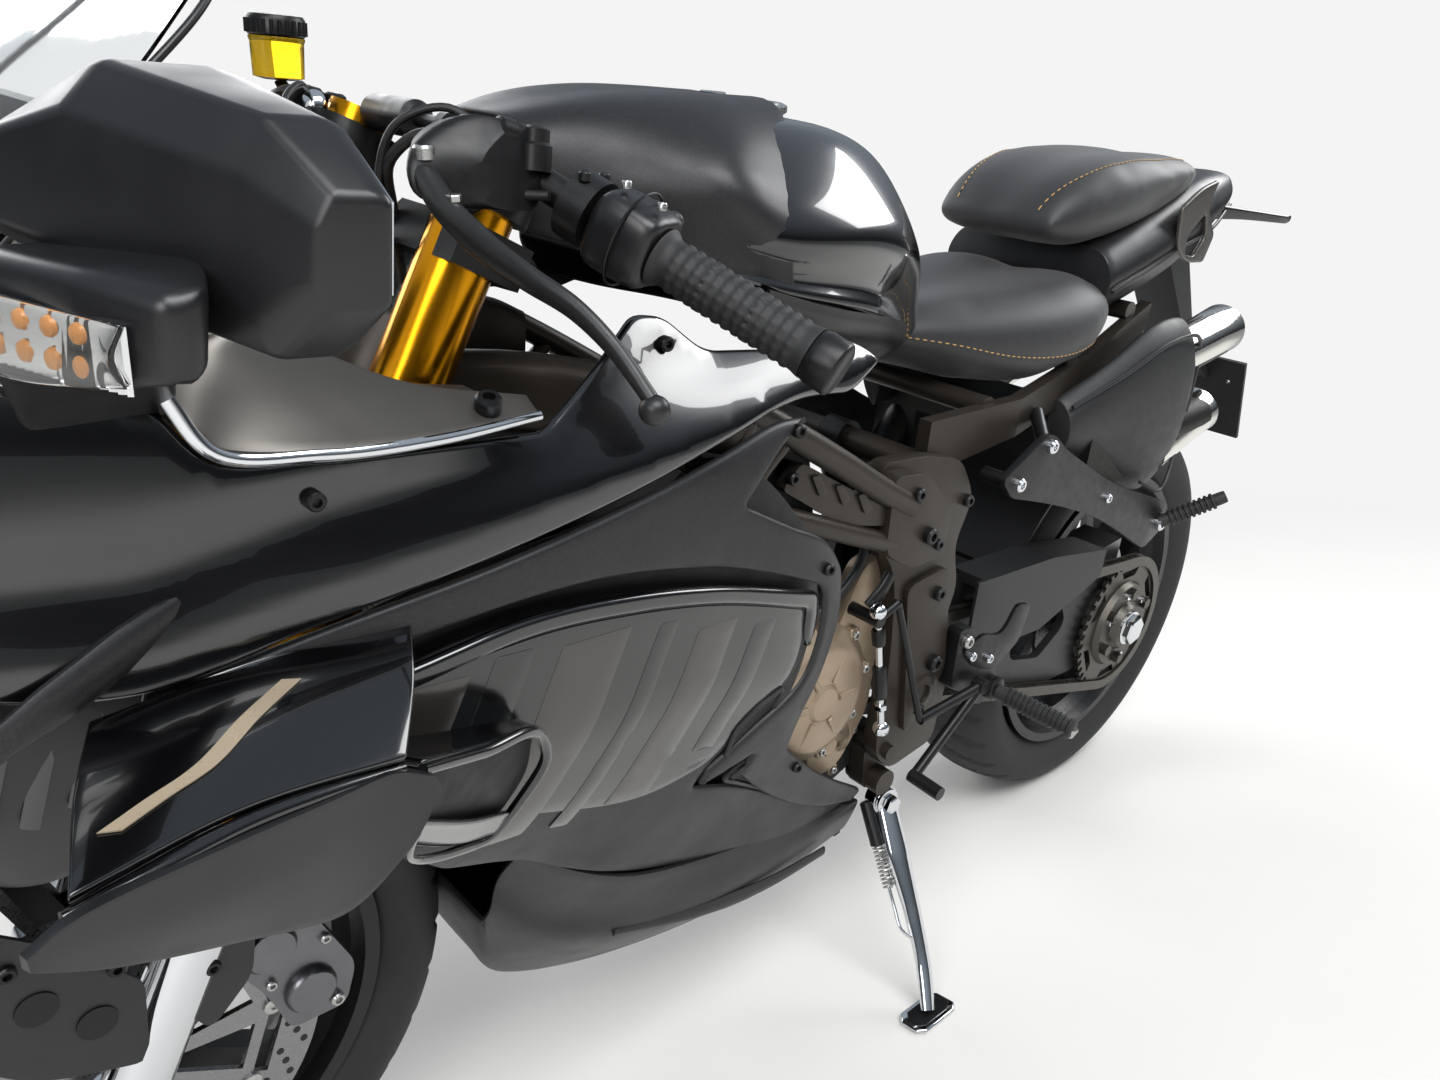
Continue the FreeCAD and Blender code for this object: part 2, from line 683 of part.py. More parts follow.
def drive_chain():
    gap = size("sprocket_thickness") / 2 + size("running_gap")
    plate = size("chain_plate")
    half = size("chain_height") / 2
    bands = []
    for side in (-1, 1):
        near = size("chain_line") + side * gap
        far = near + side * plate
        outer = chain_band(half, min(near, far), max(near, far))
        inner = chain_band(-half, min(near, far) - 1, max(near, far) + 1)
        bands.append(outer.cut(inner))
    rollers = []
    near = Vector(size("front_sprocket_x"), 0, size("front_sprocket_z"))
    run = REAR_HUB.sub(near)
    along = Vector(run).normalize()
    small = pitch_radius(size("front_sprocket_teeth"))
    large = pitch_radius(size("sprocket_teeth"))
    wrap = math.asin((large - small) / run.Length)
    for side in (1, -1):
        lift = Rotation(LEFT, side * 90).multVec(along)
        tangent = Vector(lift).multiply(math.cos(wrap)).sub(Vector(along).multiply(math.sin(wrap)))
        start = near.add(Vector(tangent).multiply(small))
        end = REAR_HUB.add(Vector(tangent).multiply(large))
        count = 8
        for number in range(1, count):
            point = start.add(end.sub(start).multiply(number / count))
            rollers.append(across(point.x, point.z, size("chain_line") - gap - plate,
                                  size("chain_line") + gap + plate, 5))
    keep("drive_chain", fused(bands + rollers))


def swingarm():
    """Single arm on the left: pivot tube, bridge ahead of the tyre, windowed beam, hub boss."""
    bolt = size("pivot_bolt_radius")
    x, z = size("pivot_x"), size("pivot_z")
    inner = size("arm_inner_y")
    outer = inner + size("arm_plate")
    tyre_front = REAR_X + REAR_R
    back = tyre_front + 18
    tube = across(x, z, -size("frame_plate_y") + 2, size("frame_plate_y") - 2,
                  size("pivot_tube_radius"))
    bridge = prism([(x + 10, z + 26), (x + 10, z - 26), (-240, 330), (back, 300), (back, 470),
                    (-240, 505)], -inner + 10, outer)
    beam = rounded_prism([(-250, 325), (-250, 500), (back, 482), (-540, 458), (-650, 402),
                          (REAR_X, REAR_R + 60), (REAR_X - 54, REAR_R), (REAR_X, REAR_R - 60),
                          (-600, 256), (-500, 260), (back, 296)], inner, outer, 30)
    boss = across(REAR_X, REAR_R, size("rear_disc_offset") + 10, outer,
                  size("hub_boss_radius"))
    ears = [prism([(-172, 445), (-232, 475), (-215, 534), (-185, 534)], *both(16.3, 28, side))
            for side in (1, -1)]
    shock_pin = across(-200, 520, -28, 28, 7)
    body = fused([tube, bridge, beam, boss, shock_pin] + ears)
    windows = [
        rounded_prism([(-395, 462), (-290, 478), (-262, 452), (-340, 436)], outer - 8, outer + 1, 8),
        rounded_prism([(-420, 420), (-520, 408), (-560, 350), (-500, 310), (-420, 330)],
                      inner - 1, outer + 1, 20),
        rounded_prism([(-290, 415), (-385, 420), (-385, 340), (-300, 350)], outer - 8, outer + 1, 16),
    ]
    for window in windows:
        body = body.cut(window)
    body = body.cut(across(x, z, -200, 200, bolt + FIT))
    body = body.cut(across(REAR_X, REAR_R, 0, 200, size("rear_axle_radius") + FIT))
    keep("swingarm", body)


def rear_caliper():
    offset = size("rear_disc_offset")
    slot = size("rear_disc_thickness") / 2 + size("disc_slot_gap")
    block = prism([(-700, 395), (-700, 450), (-620, 440), (-600, 390), (-640, 372)],
                  offset - slot - 14, size("arm_inner_y") - FIT)
    disc_room = across(REAR_X, REAR_R, offset - slot, offset + slot,
                       size("rear_disc_radius") + 4)
    keep("rear_caliper", block.cut(disc_room))


def rear_hugger():
    """Tyre guard on the swingarm, with the chain cover on its left side."""
    inner_r = REAR_R + 10
    width = size("rear_tyre_width") / 2 + 4
    ring = across(REAR_X, REAR_R, -width, width, inner_r + 4)
    ring = ring.cut(across(REAR_X, REAR_R, -width - 1, width + 1, inner_r))
    wedge = prism([(REAR_X, REAR_R), (REAR_X - 60, 900), (-300, 900), (-200, 560)], -200, 200)
    guard = ring.common(wedge)
    face = size("chain_line") + 22
    cover = prism([(-250, 505), (-420, 500), (-560, 480), (-560, 440), (-420, 395),
                   (-250, 400)], face, face + 4)
    shelf = prism([(-265, 490), (-330, 470), (-420, 496), (-560, 476), (-560, 480),
                   (-420, 500), (-265, 504)], width - 2, face + 4)
    keep("rear_hugger", fused([guard, cover, shelf]).cut(shapes["swingarm"]))


# Frame, engine and exhaust

# Where the gear shift shaft leaves the gearbox: X and Z.
SHIFT_SHAFT = (-4, 541)


def stand_lug():
    """Lug and pin on which the side stand folds."""
    pin = cylinder(STAND_PIVOT.sub(Vector(STAND_AXIS).multiply(26)),
                   STAND_PIVOT.add(Vector(STAND_AXIS).multiply(14)), size("stand_pin_radius"))
    lug = cylinder(STAND_PIVOT.sub(Vector(STAND_AXIS).multiply(26)),
                   STAND_PIVOT.sub(Vector(STAND_AXIS).multiply(8)), 17)
    hanger = ruled_loft([
        [Vector(-98, y_in, z), Vector(-98, y_out, z), Vector(-128, y_out, z),
         Vector(-128, y_in, z)]
        for z, y_in, y_out in ((250, 122, 134), (286, 126, 136), (340, 153, 166))
    ])
    return fused([pin, lug, hanger])


def tubed_side(side):
    """Two tubes, a strut and a ribbed insert between the beam and the pivot casting."""
    y = side * 183
    top = cylinder(Vector(212, y, 790), Vector(-34, y, 655), 12.4)
    low = cylinder(Vector(214, y, 704), Vector(-20, y, 622), 10)
    strut = cylinder(Vector(160, y, 760), Vector(204, y, 708), 8)
    bracket = rounded_prism([(252, 802), (192, 800), (188, 760), (198, 688), (230, 688),
                             (256, 745)], *both(172, 194, side), 10)
    insert = prism([(196, 705), (160, 755), (-5, 668), (-20, 625)], *both(176, 181, side))
    ribs = []
    cells = 4
    width = 5
    for number in range(cells):
        near, far = (0.08 + 0.72 * step / cells for step in (number, number + 1))
        for first, last in ((0, 1), (1, 0)):
            (x, z), (x_far, z_far) = ((-12 + 215 * share, 628 + 78 * share + 32 * high)
                                      for share, high in ((near, first), (far, last)))
            ribs.append(prism([(x, z), (x + width, z), (x_far, z_far), (x_far - width, z_far)],
                              *both(178, 185, side)))
    return [top, low, strut, bracket, insert] + ribs


def main_frame():
    plate_y = size("frame_plate_y")
    plate = size("frame_plate")
    head_top = steering_point(size("top_yoke_height") - 20)
    head_low = steering_point(size("low_yoke_height") + 20)
    head = pipe(head_low, head_top, size("head_tube_radius"), size("stem_radius") + FIT)
    beams = []
    for side in (1, -1):
        rows = [
            (head_low.x - 12, side * 30, 790, 56),
            (370, side * 84, 796, 56),
            (330, side * 148, 800, 55),
            (200, side * 196, 770, 50),
            (40, side * 190, 690, 50),
            (-90, side * 168, 640, 70),
        ]
        sections = []
        for x, y, z, height in rows:
            inner = y - side * 26
            sections.append([Vector(x, y, z + height / 2), Vector(x, inner, z + height / 2),
                             Vector(x, inner, z - height / 2), Vector(x, y, z - height / 2)])
        beams.append(ruled_loft(sections))
        y_from, y_to = sorted((side * plate_y, side * (plate_y + plate)))
        beams.append(prism([(-60, 690), (-30, 620), (-60, 500), (-75, 400), (-100, 330),
                            (-165, 330), (-180, 420), (-170, 560), (-150, 690)], y_from, y_to))
    body = fused([head] + beams)
    body = body.cut(across(size("pivot_x"), size("pivot_z"), -300, 300,
                           size("pivot_bolt_radius") + FIT))
    body = body.cut(cylinder(head_low.sub(STEER_AXIS), head_top.add(STEER_AXIS),
                             size("stem_radius") + FIT))
    x, z = size("fairing_stay_x"), size("fairing_stay_z")
    reach = form_width(x, z) - size("panel_thickness") - FIT
    for side in (1, -1):
        stay = across(x, z, *sorted((side * 175, side * reach)), 9)
        body = fused([body, stay])
        head_mount = across(140, 722, *sorted((side * 150, side * 175)), 10)
        body = fused([body, head_mount])
    reach = plate_y + plate + 8
    engine_bolt = across(-82, 345, -reach, reach, 8)
    shock_tube = across(-125, 668, -plate_y - 2, plate_y + 2, 14)
    body = fused([body, engine_bolt, shock_tube])
    bolt = across(size("pivot_x"), size("pivot_z"), -reach, reach, size("pivot_bolt_radius"))
    caps = [across(size("pivot_x"), size("pivot_z"), side * (plate_y + plate + FIT),
                   side * reach, 20) for side in (1, -1)]
    keep("main_frame", fused([body, bolt, stand_lug()] + caps))


def subframe():
    rails = []
    for side in (1, -1):
        rows = [(-90, 700, 150, 60), (-250, 714, 152, 44), (-430, 740, 124, 42),
                (-620, 792, 95, 36)]
        sections = []
        for x, z, y, height in rows:
            outer = side * y
            inner = side * (y - 16)
            sections.append([Vector(x, outer, z + height / 2), Vector(x, inner, z + height / 2),
                             Vector(x, inner, z - height / 2), Vector(x, outer, z - height / 2)])
        rails.append(ruled_loft(sections))
    for x, z, reach in ((-200, 742, 142), (-400, 768, 120), (-560, 815, 98)):
        rails.append(across(x, z - FIT - 12, -reach, reach, 12))
    keep("subframe", fused(rails).cut(shapes["main_frame"]))


def engine_cover(x, z, foot, reach, radius, bolts):
    """A turned cover with a stepped face and bolt bosses round its rim."""
    side = 1 if reach > foot else -1
    shoulder = reach - side * 14
    rows = [(foot, radius), (shoulder, radius), (reach, radius - 20), (reach, 0), (foot, 0)]
    corners = [Vector(x, y, z + away) for y, away in rows]
    cover = Part.Face(Part.makePolygon(corners + corners[:1])).revolve(Vector(x, 0, z), LEFT, 360)
    parts = [cover]
    for number in range(bolts):
        turn = math.radians(number * 360 / bolts + 12)
        parts.append(across(x + radius * math.cos(turn), z + radius * math.sin(turn),
                            *sorted((foot, shoulder + side * 2)), 8))
    for number in range(3):
        rib = Part.makeBox(radius * 1.3, 8, 5, Vector(-radius * 0.65, 0, -2.5))
        rib.rotate(ORIGIN, LEFT, 30 + number * 60)
        rib.translate(Vector(x, min(reach, reach - side * 5) - (4 if side > 0 else 0), z))
        parts.append(rib)
    return fused(parts)


def engine():
    half = size("crankcase_half")
    case = rounded_prism([(-100, 320), (-85, 480), (-10, 560), (240, 540), (300, 430), (300, 300),
                          (220, 262), (60, 262), (-20, 288)], -half, half, 18)
    barrels = rounded_prism([(60, 540), (245, 520), (320, 690), (250, 750), (110, 735)],
                            -size("head_half"), size("head_half"), 16)
    room = chain_band(size("chain_height") / 2 + 5, size("chain_line") - 14, half + 1)
    keep("engine_block", fused([case, barrels]).cut(room).cut(shapes["main_frame"]))
    reach = size("cover_reach")
    left = engine_cover(45, 452, half + FIT, reach, 78, 7)
    low = engine_cover(0, 372, half + FIT, reach - 20, 42, 5)
    gearbox = rounded_prism([(-62, 400), (-30, 352), (12, 380), (12, 520), (-22, 590), (-50, 590),
                             (-62, 510)], half + FIT, size("frame_plate_y") - 1, 14)
    gearbox = gearbox.cut(across(*SHIFT_SHAFT, half, reach, size("shift_shaft_radius") + FIT))
    right = engine_cover(45, 448, -half - FIT, -reach, 80, 8)
    keep("engine_covers", Part.makeCompound([fused([left, low, gearbox]).cut(
        shapes["main_frame"]), right.cut(shapes["main_frame"])]))


def radiator():
    core = prism([(366, 420), (398, 414), (418, 636), (386, 642)], -160, 160)
    stays = [across_x(290, 392, side * 142, 622, 6) for side in (1, -1)]
    keep("radiator", fused([core] + stays).cut(shapes["engine_block"]))


def exhaust_system():
    radius = size("header_radius")
    pipes = []
    for y in (-102, -34, 34, 102):
        points = [Vector(268, y, 604), Vector(331, y, 596), Vector(331, y, 310),
                  Vector(262, y * 0.62, 224), Vector(120, y * 0.38, 222)]
        pipes.append(bent_tube(points, radius, 34))
    collector = prism([(150, 200), (150, 243), (60, 250), (-30, 262), (-30, 224), (60, 206)],
                      -58, 58)
    link = bent_tube([Vector(0, -24, 240), Vector(-105, -50, 255), Vector(-178, -122, 268),
                      Vector(-265, -128, 440), Vector(-420, -132, 625)], 22, 40)
    canisters = []
    for side in (1, -1):
        rows = [(-400, 625, 92), (-520, 672, 120), (-590, 684, 124)]
        sections = []
        for x, z, height in rows:
            y_in, y_out = side * 98, side * 168
            sections.append([Vector(x, y_in, z - height / 2), Vector(x, y_out, z - height / 2),
                             Vector(x, y_out, z + height / 2), Vector(x, y_in, z + height / 2)])
        canisters.append(ruled_loft(sections))
    cross = prism([(-400, 636), (-400, 664), (-470, 690), (-470, 660)], -100, 100)
    tips = []
    for side in (1, -1):
        for start, end in (((-580, 140, 733), (-742, 140, 763)),
                           ((-560, 152, 648), (-692, 158, 664))):
            a = Vector(start[0], side * start[1], start[2])
            b = Vector(end[0], side * end[1], end[2])
            tips.append(pipe(a, b, size("tip_radius"), size("tip_radius") - size("tip_wall")))
    silencers = fused(canisters + [cross] + tips)
    ports = fused(pipes + [collector, link]).cut(shapes["engine_block"])
    keep("exhaust_system", fused([ports, silencers]))


# Tank, seats and tail


def arched_section(x, half_low, z_low, half_wide, z_wide, z_top):
    """A closed section across the bike: flat foot, swelling sides and an arched top."""
    crown_y = half_wide * 0.72
    crown_z = z_wide + (z_top - z_wide) * 0.82
    side_y = (half_low + half_wide) / 2 + 6
    side_z = (z_low + z_wide) / 2
    left_low = Vector(x, half_low, z_low)
    left_wide = Vector(x, half_wide, z_wide)
    top = Vector(x, 0, z_top)
    right_wide = Vector(x, -half_wide, z_wide)
    right_low = Vector(x, -half_low, z_low)
    return Part.Wire([
        Part.LineSegment(right_low, left_low).toShape(),
        Part.Arc(left_low, Vector(x, side_y, side_z), left_wide).toShape(),
        Part.Arc(left_wide, Vector(x, crown_y, crown_z), top).toShape(),
        Part.Arc(top, Vector(x, -crown_y, crown_z), right_wide).toShape(),
        Part.Arc(right_wide, Vector(x, -side_y, side_z), right_low).toShape(),
    ])


def arched_loft(rows):
    return Part.makeLoft([arched_section(*row) for row in rows], True, False)


def fuel_tank():
    # Columns: x, half width at the foot, foot height, widest half width, its height, top.
    rows = [
        (345, 40, 928, 60, 952, 980),
        (305, 62, 918, 76, 948, 993),
        (262, 112, 897, 138, 936, 1003),
        (170, 150, 868, 184, 922, 1008),
        (60, 140, 838, 168, 905, 1004),
        (-30, 96, 806, 132, 880, 968),
        (-100, 80, 790, 100, 835, 896),
        (-130, 70, 785, 85, 815, 848),
    ]
    feet = [cylinder(Vector(240, side * 164, 792), Vector(240, side * 110, 905), 9)
            for side in (1, -1)]
    cap = cylinder(Vector(86, 0, 990), Vector(88, 0, 1013), 42)
    knees = []
    for side in (1, -1):
        knees.append(rounded_prism([(52, 830), (62, 880), (44, 918), (0, 938), (-140, 925),
                                    (-140, 780), (20, 780)], *both(128, 220, side), 20))
    body = arched_loft(rows)
    for knee in knees:
        body = body.cut(knee)
    keep("fuel_tank", fused([body, cap] + feet).cut(shapes["main_frame"]))


def seats():
    # Columns: x, half width at the foot, foot height, widest half width, its height, top.
    rows = [
        (-134, 60, 762, 84, 790, 820),
        (-210, 100, 748, 122, 784, 830),
        (-310, 122, 742, 148, 784, 842),
        (-400, 122, 756, 150, 796, 848),
        (-470, 100, 782, 128, 810, 846),
    ]
    seat = arched_loft(rows).cut(shapes["subframe"])
    tail_room = shapes["tail_fairing"].copy()
    tail_room.translate(Vector(FIT, 0, FIT))
    keep("rider_seat", seat.cut(tail_room).cut(shapes["tail_fairing"]))
    rows = [
        (-338, 76, 894, 96, 908, 924),
        (-400, 84, 884, 106, 920, 962),
        (-500, 90, 900, 112, 945, 984),
        (-640, 82, 935, 104, 966, 990),
        (-720, 60, 960, 88, 974, 986),
    ]
    pad = arched_loft(rows).cut(tail_room).cut(shapes["tail_fairing"])
    keep("pillion_seat", pad)


PLATE_RISE = Vector(46, 0, 130).normalize()
PLATE_INWARD = Vector(PLATE_RISE.z, 0, -PLATE_RISE.x)


def plate_hole(side):
    """Centre of a hole for the number plate, on the back face of its board."""
    foot = Vector(size("plate_reach"), side * size("plate_hole_y"), 560)
    return foot.add(Vector(PLATE_RISE).multiply(size("plate_hole_rise")))


def tail():
    # Columns: x, half width low, low height, half width wide, its height, top.
    rows = [
        (-448, 88, 792, 120, 838, 888),
        (-560, 84, 815, 118, 868, 925),
        (-700, 72, 852, 106, 908, 966),
        (-800, 50, 890, 84, 936, 978),
        (size("tail_reach"), 20, 938, 46, 954, 974),
    ]
    shell = arched_loft(rows)
    for side in (1, -1):
        shell = shell.cut(rounded_prism([(-600, 892), (-618, 872), (-676, 862), (-694, 882),
                                         (-672, 925), (-618, 918)], *both(96, 140, side), 8))
    lamp = prism([(size("tail_reach") + 20, 934), (size("tail_reach") + 16, 920),
                  (-820, 893), (-820, 906)], -30, 30)
    # Columns: x, outer face, height and half depth of the indicator blades.
    blade_rows = [(-780, 84, 928, 12), (-937, 122, 918, 6)]
    arms = []
    for side in (1, -1):
        sections = []
        for x, y, z, half in blade_rows:
            sections.append([Vector(x, side * (y - 10), z - half), Vector(x, side * y, z - half),
                             Vector(x, side * y, z + half), Vector(x, side * (y - 10), z + half)])
        arms.append(ruled_loft(sections))
    lights = Part.makeCompound([lamp] + arms)
    keep("tail_fairing", shell.cut(lights).cut(shapes["subframe"]))
    keep("tail_lights", lights)
    spar = prism([(-740, 880), (-800, 896), (-900, 740), (size("plate_reach") + 40, 660),
                  (size("plate_reach") + 20, 640), (-900, 705)], -35, 35)
    foot = Vector(size("plate_reach"), 0, 560)
    depth = Vector(PLATE_INWARD).multiply(size("plate_board"))
    low_left = foot.add(Vector(0, size("plate_half"), 0))
    low_right = foot.sub(Vector(0, size("plate_half"), 0))
    height = Vector(PLATE_RISE).multiply(138)
    board = Part.Face(Part.makePolygon([low_left, low_right, low_right.add(height),
                                        low_left.add(height), low_left])).extrude(depth)
    body = fused([spar, board]).cut(shapes["tail_fairing"]).cut(lights)
    for side in (1, -1):
        hole = plate_hole(side)
        body = body.cut(cylinder(hole.sub(Vector(PLATE_INWARD).multiply(20)),
                                 hole.add(Vector(PLATE_INWARD).multiply(20)),
                                 size("plate_hole_radius")))
    keep("plate_bracket", body)


# Fairings

def form_panel(outline, inset=0, thickness=size("panel_thickness")):
    """A panel cut from the form by its side view outline."""
    return form_shell(inset, thickness).common(prism(outline, 20, 400))


# Lower edge of the side panels, which the belly pan laps inside: X and Z.
SEAM = [(-65, 270), (8, 282), (215, 335), (341, 389), (430, 465), (507, 488)]
UPPER_OUTLINE = [
    (795, 748), (688, 726), (614, 726), (545, 740), (397, 770), (278, 798), (206, 809),
    (137, 809), (94, 838), (202, 841), (285, 850), (325, 878), (352, 882), (395, 860),
    (445, 836), (549, 840), (635, 845), (656, 868), (735, 878), (795, 868),
]
# Upper edge of the side panel, half a millimetre under the upper panel.
SIDE_TOP = [(688, 725.5), (614, 725.5), (545, 739.5), (397, 769.5), (278, 797.5), (206, 808.5)]
SIDE_FRONT = [(570, 560), (640, 640)]
SIDE_OUTLINE = SIDE_TOP + [
    (232, 781), (272, 748), (222, 722), (176, 697), (143, 658), (130, 605), (139, 553),
    (155, 508), (153, 466), (60, 389), (-55, 298),
] + SEAM + SIDE_FRONT
# The arch stands proud of the lower panel and frames its recess.
ARCH_OUTLINE = SIDE_TOP + [
    (234, 782), (277, 747), (222, 718), (174, 694), (138, 658), (125, 605), (134, 553),
    (150, 508), (149, 462), (60, 384), (-60, 294), (-40, 288), (75, 347), (150, 402), (214, 462),
    (205, 487), (262, 472), (262, 489), (216, 521), (166, 560), (157, 610), (167, 652),
    (225, 676), (316, 705), (410, 722), (509, 722), (600, 706), (660, 672),
]
SIDE_VENTS = [
    [(245, 496), (243, 526), (220, 546), (192, 556), (195, 520), (222, 513)],
    [(232, 464), (216, 476), (163, 454), (82, 383), (22, 334), (75, 349), (212, 448)],
]


def fairings():
    keep("upper_fairings", pair(form_panel(UPPER_OUTLINE)))
    wall = size("panel_thickness")
    inset, height = size("side_inset"), size("arch_height")
    lower = form_panel(SIDE_OUTLINE, inset)
    for vent in SIDE_VENTS:
        lower = lower.cut(prism(vent, 20, 400))
    arch = form_panel(ARCH_OUTLINE, -height, height + inset + wall / 2)
    side = fused([lower, arch]).cut(shapes["main_frame"])
    keep("side_fairing_left", side)
    keep("side_fairing_right", mirrored(side))


def belly_pan():
    # Columns: x, half width of the floor, floor height.
    rows = [(430, 156, 375), (368, 62, 202), (263, 104, 182), (107, 128, 190), (-60, 138, 222)]
    wall = size("panel_thickness")
    seam_x, seam_z = zip(*SEAM)
    outer, inner = [], []
    for number, (x, low_y, low_z) in enumerate(rows):
        rim_z = between(x, seam_x, seam_z) + size("belly_lap")
        rim_y = form_width(x, rim_z - size("belly_lap")) - size("side_inset") - wall - 2 * FIT
        outer.append([Vector(x, -rim_y, rim_z), Vector(x, rim_y, rim_z),
                      Vector(x, low_y, low_z), Vector(x, -low_y, low_z)])
        reach = 1 if number == 0 else (-1 if number == len(rows) - 1 else 0)
        inner.append([Vector(x + reach, -rim_y + wall, rim_z + 1),
                      Vector(x + reach, rim_y - wall, rim_z + 1),
                      Vector(x + reach, low_y - wall, low_z + wall),
                      Vector(x + reach, -low_y + wall, low_z + wall)])
    trough = ruled_loft(outer).cut(ruled_loft(inner))
    wheel_room = Part.makeBox(200, 2 * 118, 400, Vector(374, -118, 150))
    keep("belly_pan", trough.cut(wheel_room))


def nose():
    # Columns: x, half width low, low height, widest half width, its height, top.
    rows = [
        (788, 152, 700, 218, 800, 880),
        (860, 130, 700, 165, 780, 852),
        (910, 80, 712, 110, 762, 812),
        (size("nose_reach"), 30, 730, 50, 752, 776),
    ]
    outer = arched_loft(rows)
    inner_rows = [(x - 8, low - 6, low_z + 6, wide - 6, wide_z, top - 6)
                  for x, low, low_z, wide, wide_z, top in rows]
    inner_rows[0] = (780,) + inner_rows[0][1:]
    shell = outer.cut(arched_loft(inner_rows))
    intake = prism([(860, 722), (860, 752), (960, 752), (960, 722)], -60, 60)
    shell = shell.cut(intake)
    lamps = []
    for side in (1, -1):
        sections = []
        for x, y, z in ((905, 62, 770), (850, 128, 800)):
            sections.append([Vector(x, side * y, z - 12), Vector(x + 26, side * (y + 14), z - 12),
                             Vector(x + 26, side * (y + 14), z + 10), Vector(x, side * y, z + 10)])
        lamps.append(ruled_loft(sections))
    for lamp in lamps:
        shell = shell.cut(lamp)
    keep("nose_fairing", shell.cut(shapes["upper_fairings"]))
    keep("headlights", Part.makeCompound(lamps))
    screen_rows = [(800, 150, 884, 60), (720, 160, 985, 70), (640, 140, 1060, 62),
                   (570, 100, 1112, 40)]
    outer_wires = []
    for x, half, z, rise in screen_rows:
        a, b, c = Vector(x, half, z - rise), Vector(x, 0, z), Vector(x, -half, z - rise)
        d, e, f = (p.sub(Vector(0, 0, 4)) for p in (c, b, a))
        outer_wires.append(Part.Wire([
            Part.Arc(a, b, c).toShape(), Part.LineSegment(c, d).toShape(),
            Part.Arc(d, e, f).toShape(), Part.LineSegment(f, a).toShape()]))
    keep("windscreen", Part.makeLoft(outer_wires, True, False).cut(outer))
    trims = []
    for side in (1, -1):
        trims.append(prism([(740, 874), (740, 878), (640, 856), (450, 830), (450, 826),
                            (640, 852)], side * 150, side * 220))
    bridge = prism([(740, 874), (740, 878), (690, 868), (690, 864)], -150, 150)
    dash = prism([(640, 905), (622, 900), (655, 990), (668, 990)], -85, 85)
    neck = prism([(700, 866), (680, 866), (640, 905), (652, 940)], -40, 40)
    keep("cockpit", fused(trims + [bridge, dash, neck]).cut(shapes["upper_fairings"]))


def winglets():
    """Deck, bent end blade and the air scoop behind it, on each side panel."""
    root = 258
    deck = ruled_loft([
        [Vector(718, root, 712), Vector(718, root, 705), Vector(548, root, 717),
         Vector(548, root, 724)],
        [Vector(757, 374, 706), Vector(757, 374, 700), Vector(590, 338, 684),
         Vector(590, 338, 690)],
    ])
    # Columns: x, y and z of the top edge, y and z of the lower edge.
    blade_rows = [(776, 385, 703, 382, 693), (700, 364, 704, 349, 637), (640, 350, 697, 330, 610),
                  (576, 338, 674, 306, 585)]
    wall = size("panel_thickness")
    blade = ruled_loft([[Vector(x, y_top, z_top), Vector(x, y_low, z_low),
                         Vector(x, y_low - wall, z_low), Vector(x, y_top - wall, z_top)]
                        for x, y_top, z_top, y_low, z_low in blade_rows])
    # Columns: x, then outer top, outer low and inner low corners of the scoop as y and z.
    scoop_rows = [(590, 342, 690, 311, 590, 258, 588), (478, 283, 630, 272, 552, 248, 548)]
    outer, inner = [], []
    for number, (x, top_y, top_z, low_y, low_z, in_y, in_z) in enumerate(scoop_rows):
        outer.append([Vector(x, in_y, top_z + 26), Vector(x, top_y, top_z), Vector(x, low_y, low_z),
                      Vector(x, in_y, in_z)])
        end = x + (1 if number == 0 else -1)
        inner.append([Vector(end, in_y + wall, top_z + 20), Vector(end, top_y - wall, top_z - wall),
                      Vector(end, low_y - wall, low_z + wall), Vector(end, in_y + wall, in_z + wall)])
    scoop = ruled_loft(outer).cut(ruled_loft(inner))
    side = fused([deck, blade, scoop])
    behind = form_shell(-size("arch_height") - FIT, 150)
    keep("winglets", pair(side.cut(behind)))


def mirrors():
    """Faceted heads on indicator arms that stand out from the upper panels."""
    z = size("mirror_height")
    reach = size("mirror_reach")
    # Columns: y from the outer edge inwards, height of the glass edge and of the nose.
    rows = [(170, 0, -12), (108, 20, 2), (30, 8, -12), (0, -15, -26), (0, -50, -40),
            (30, -72, -54), (110, -66, -44), (170, -52, -38)]
    glass = [Vector(636 + 0.06 * y, reach - y, z + rise) for y, rise, nose_rise in rows]
    front = [Vector(662 + 0.44 * y, reach - y, z + nose_rise) for y, rise, nose_rise in rows]
    head = ruled_loft([glass, front])
    arm = ruled_loft([
        [Vector(655, 226, 905), Vector(655, 226, 858), Vector(722, 226, 858),
         Vector(722, 226, 898)],
        [Vector(672, 320, z - 42), Vector(672, 320, z - 92), Vector(742, 320, z - 92),
         Vector(742, 320, z - 44)],
        [Vector(688, reach - 28, z - 40), Vector(692, reach - 28, z - 78),
         Vector(706, reach - 28, z - 82), Vector(708, reach - 28, z - 46)],
    ])
    keep("mirrors", pair(fused([head, arm])).cut(shapes["upper_fairings"]))


# Foot controls


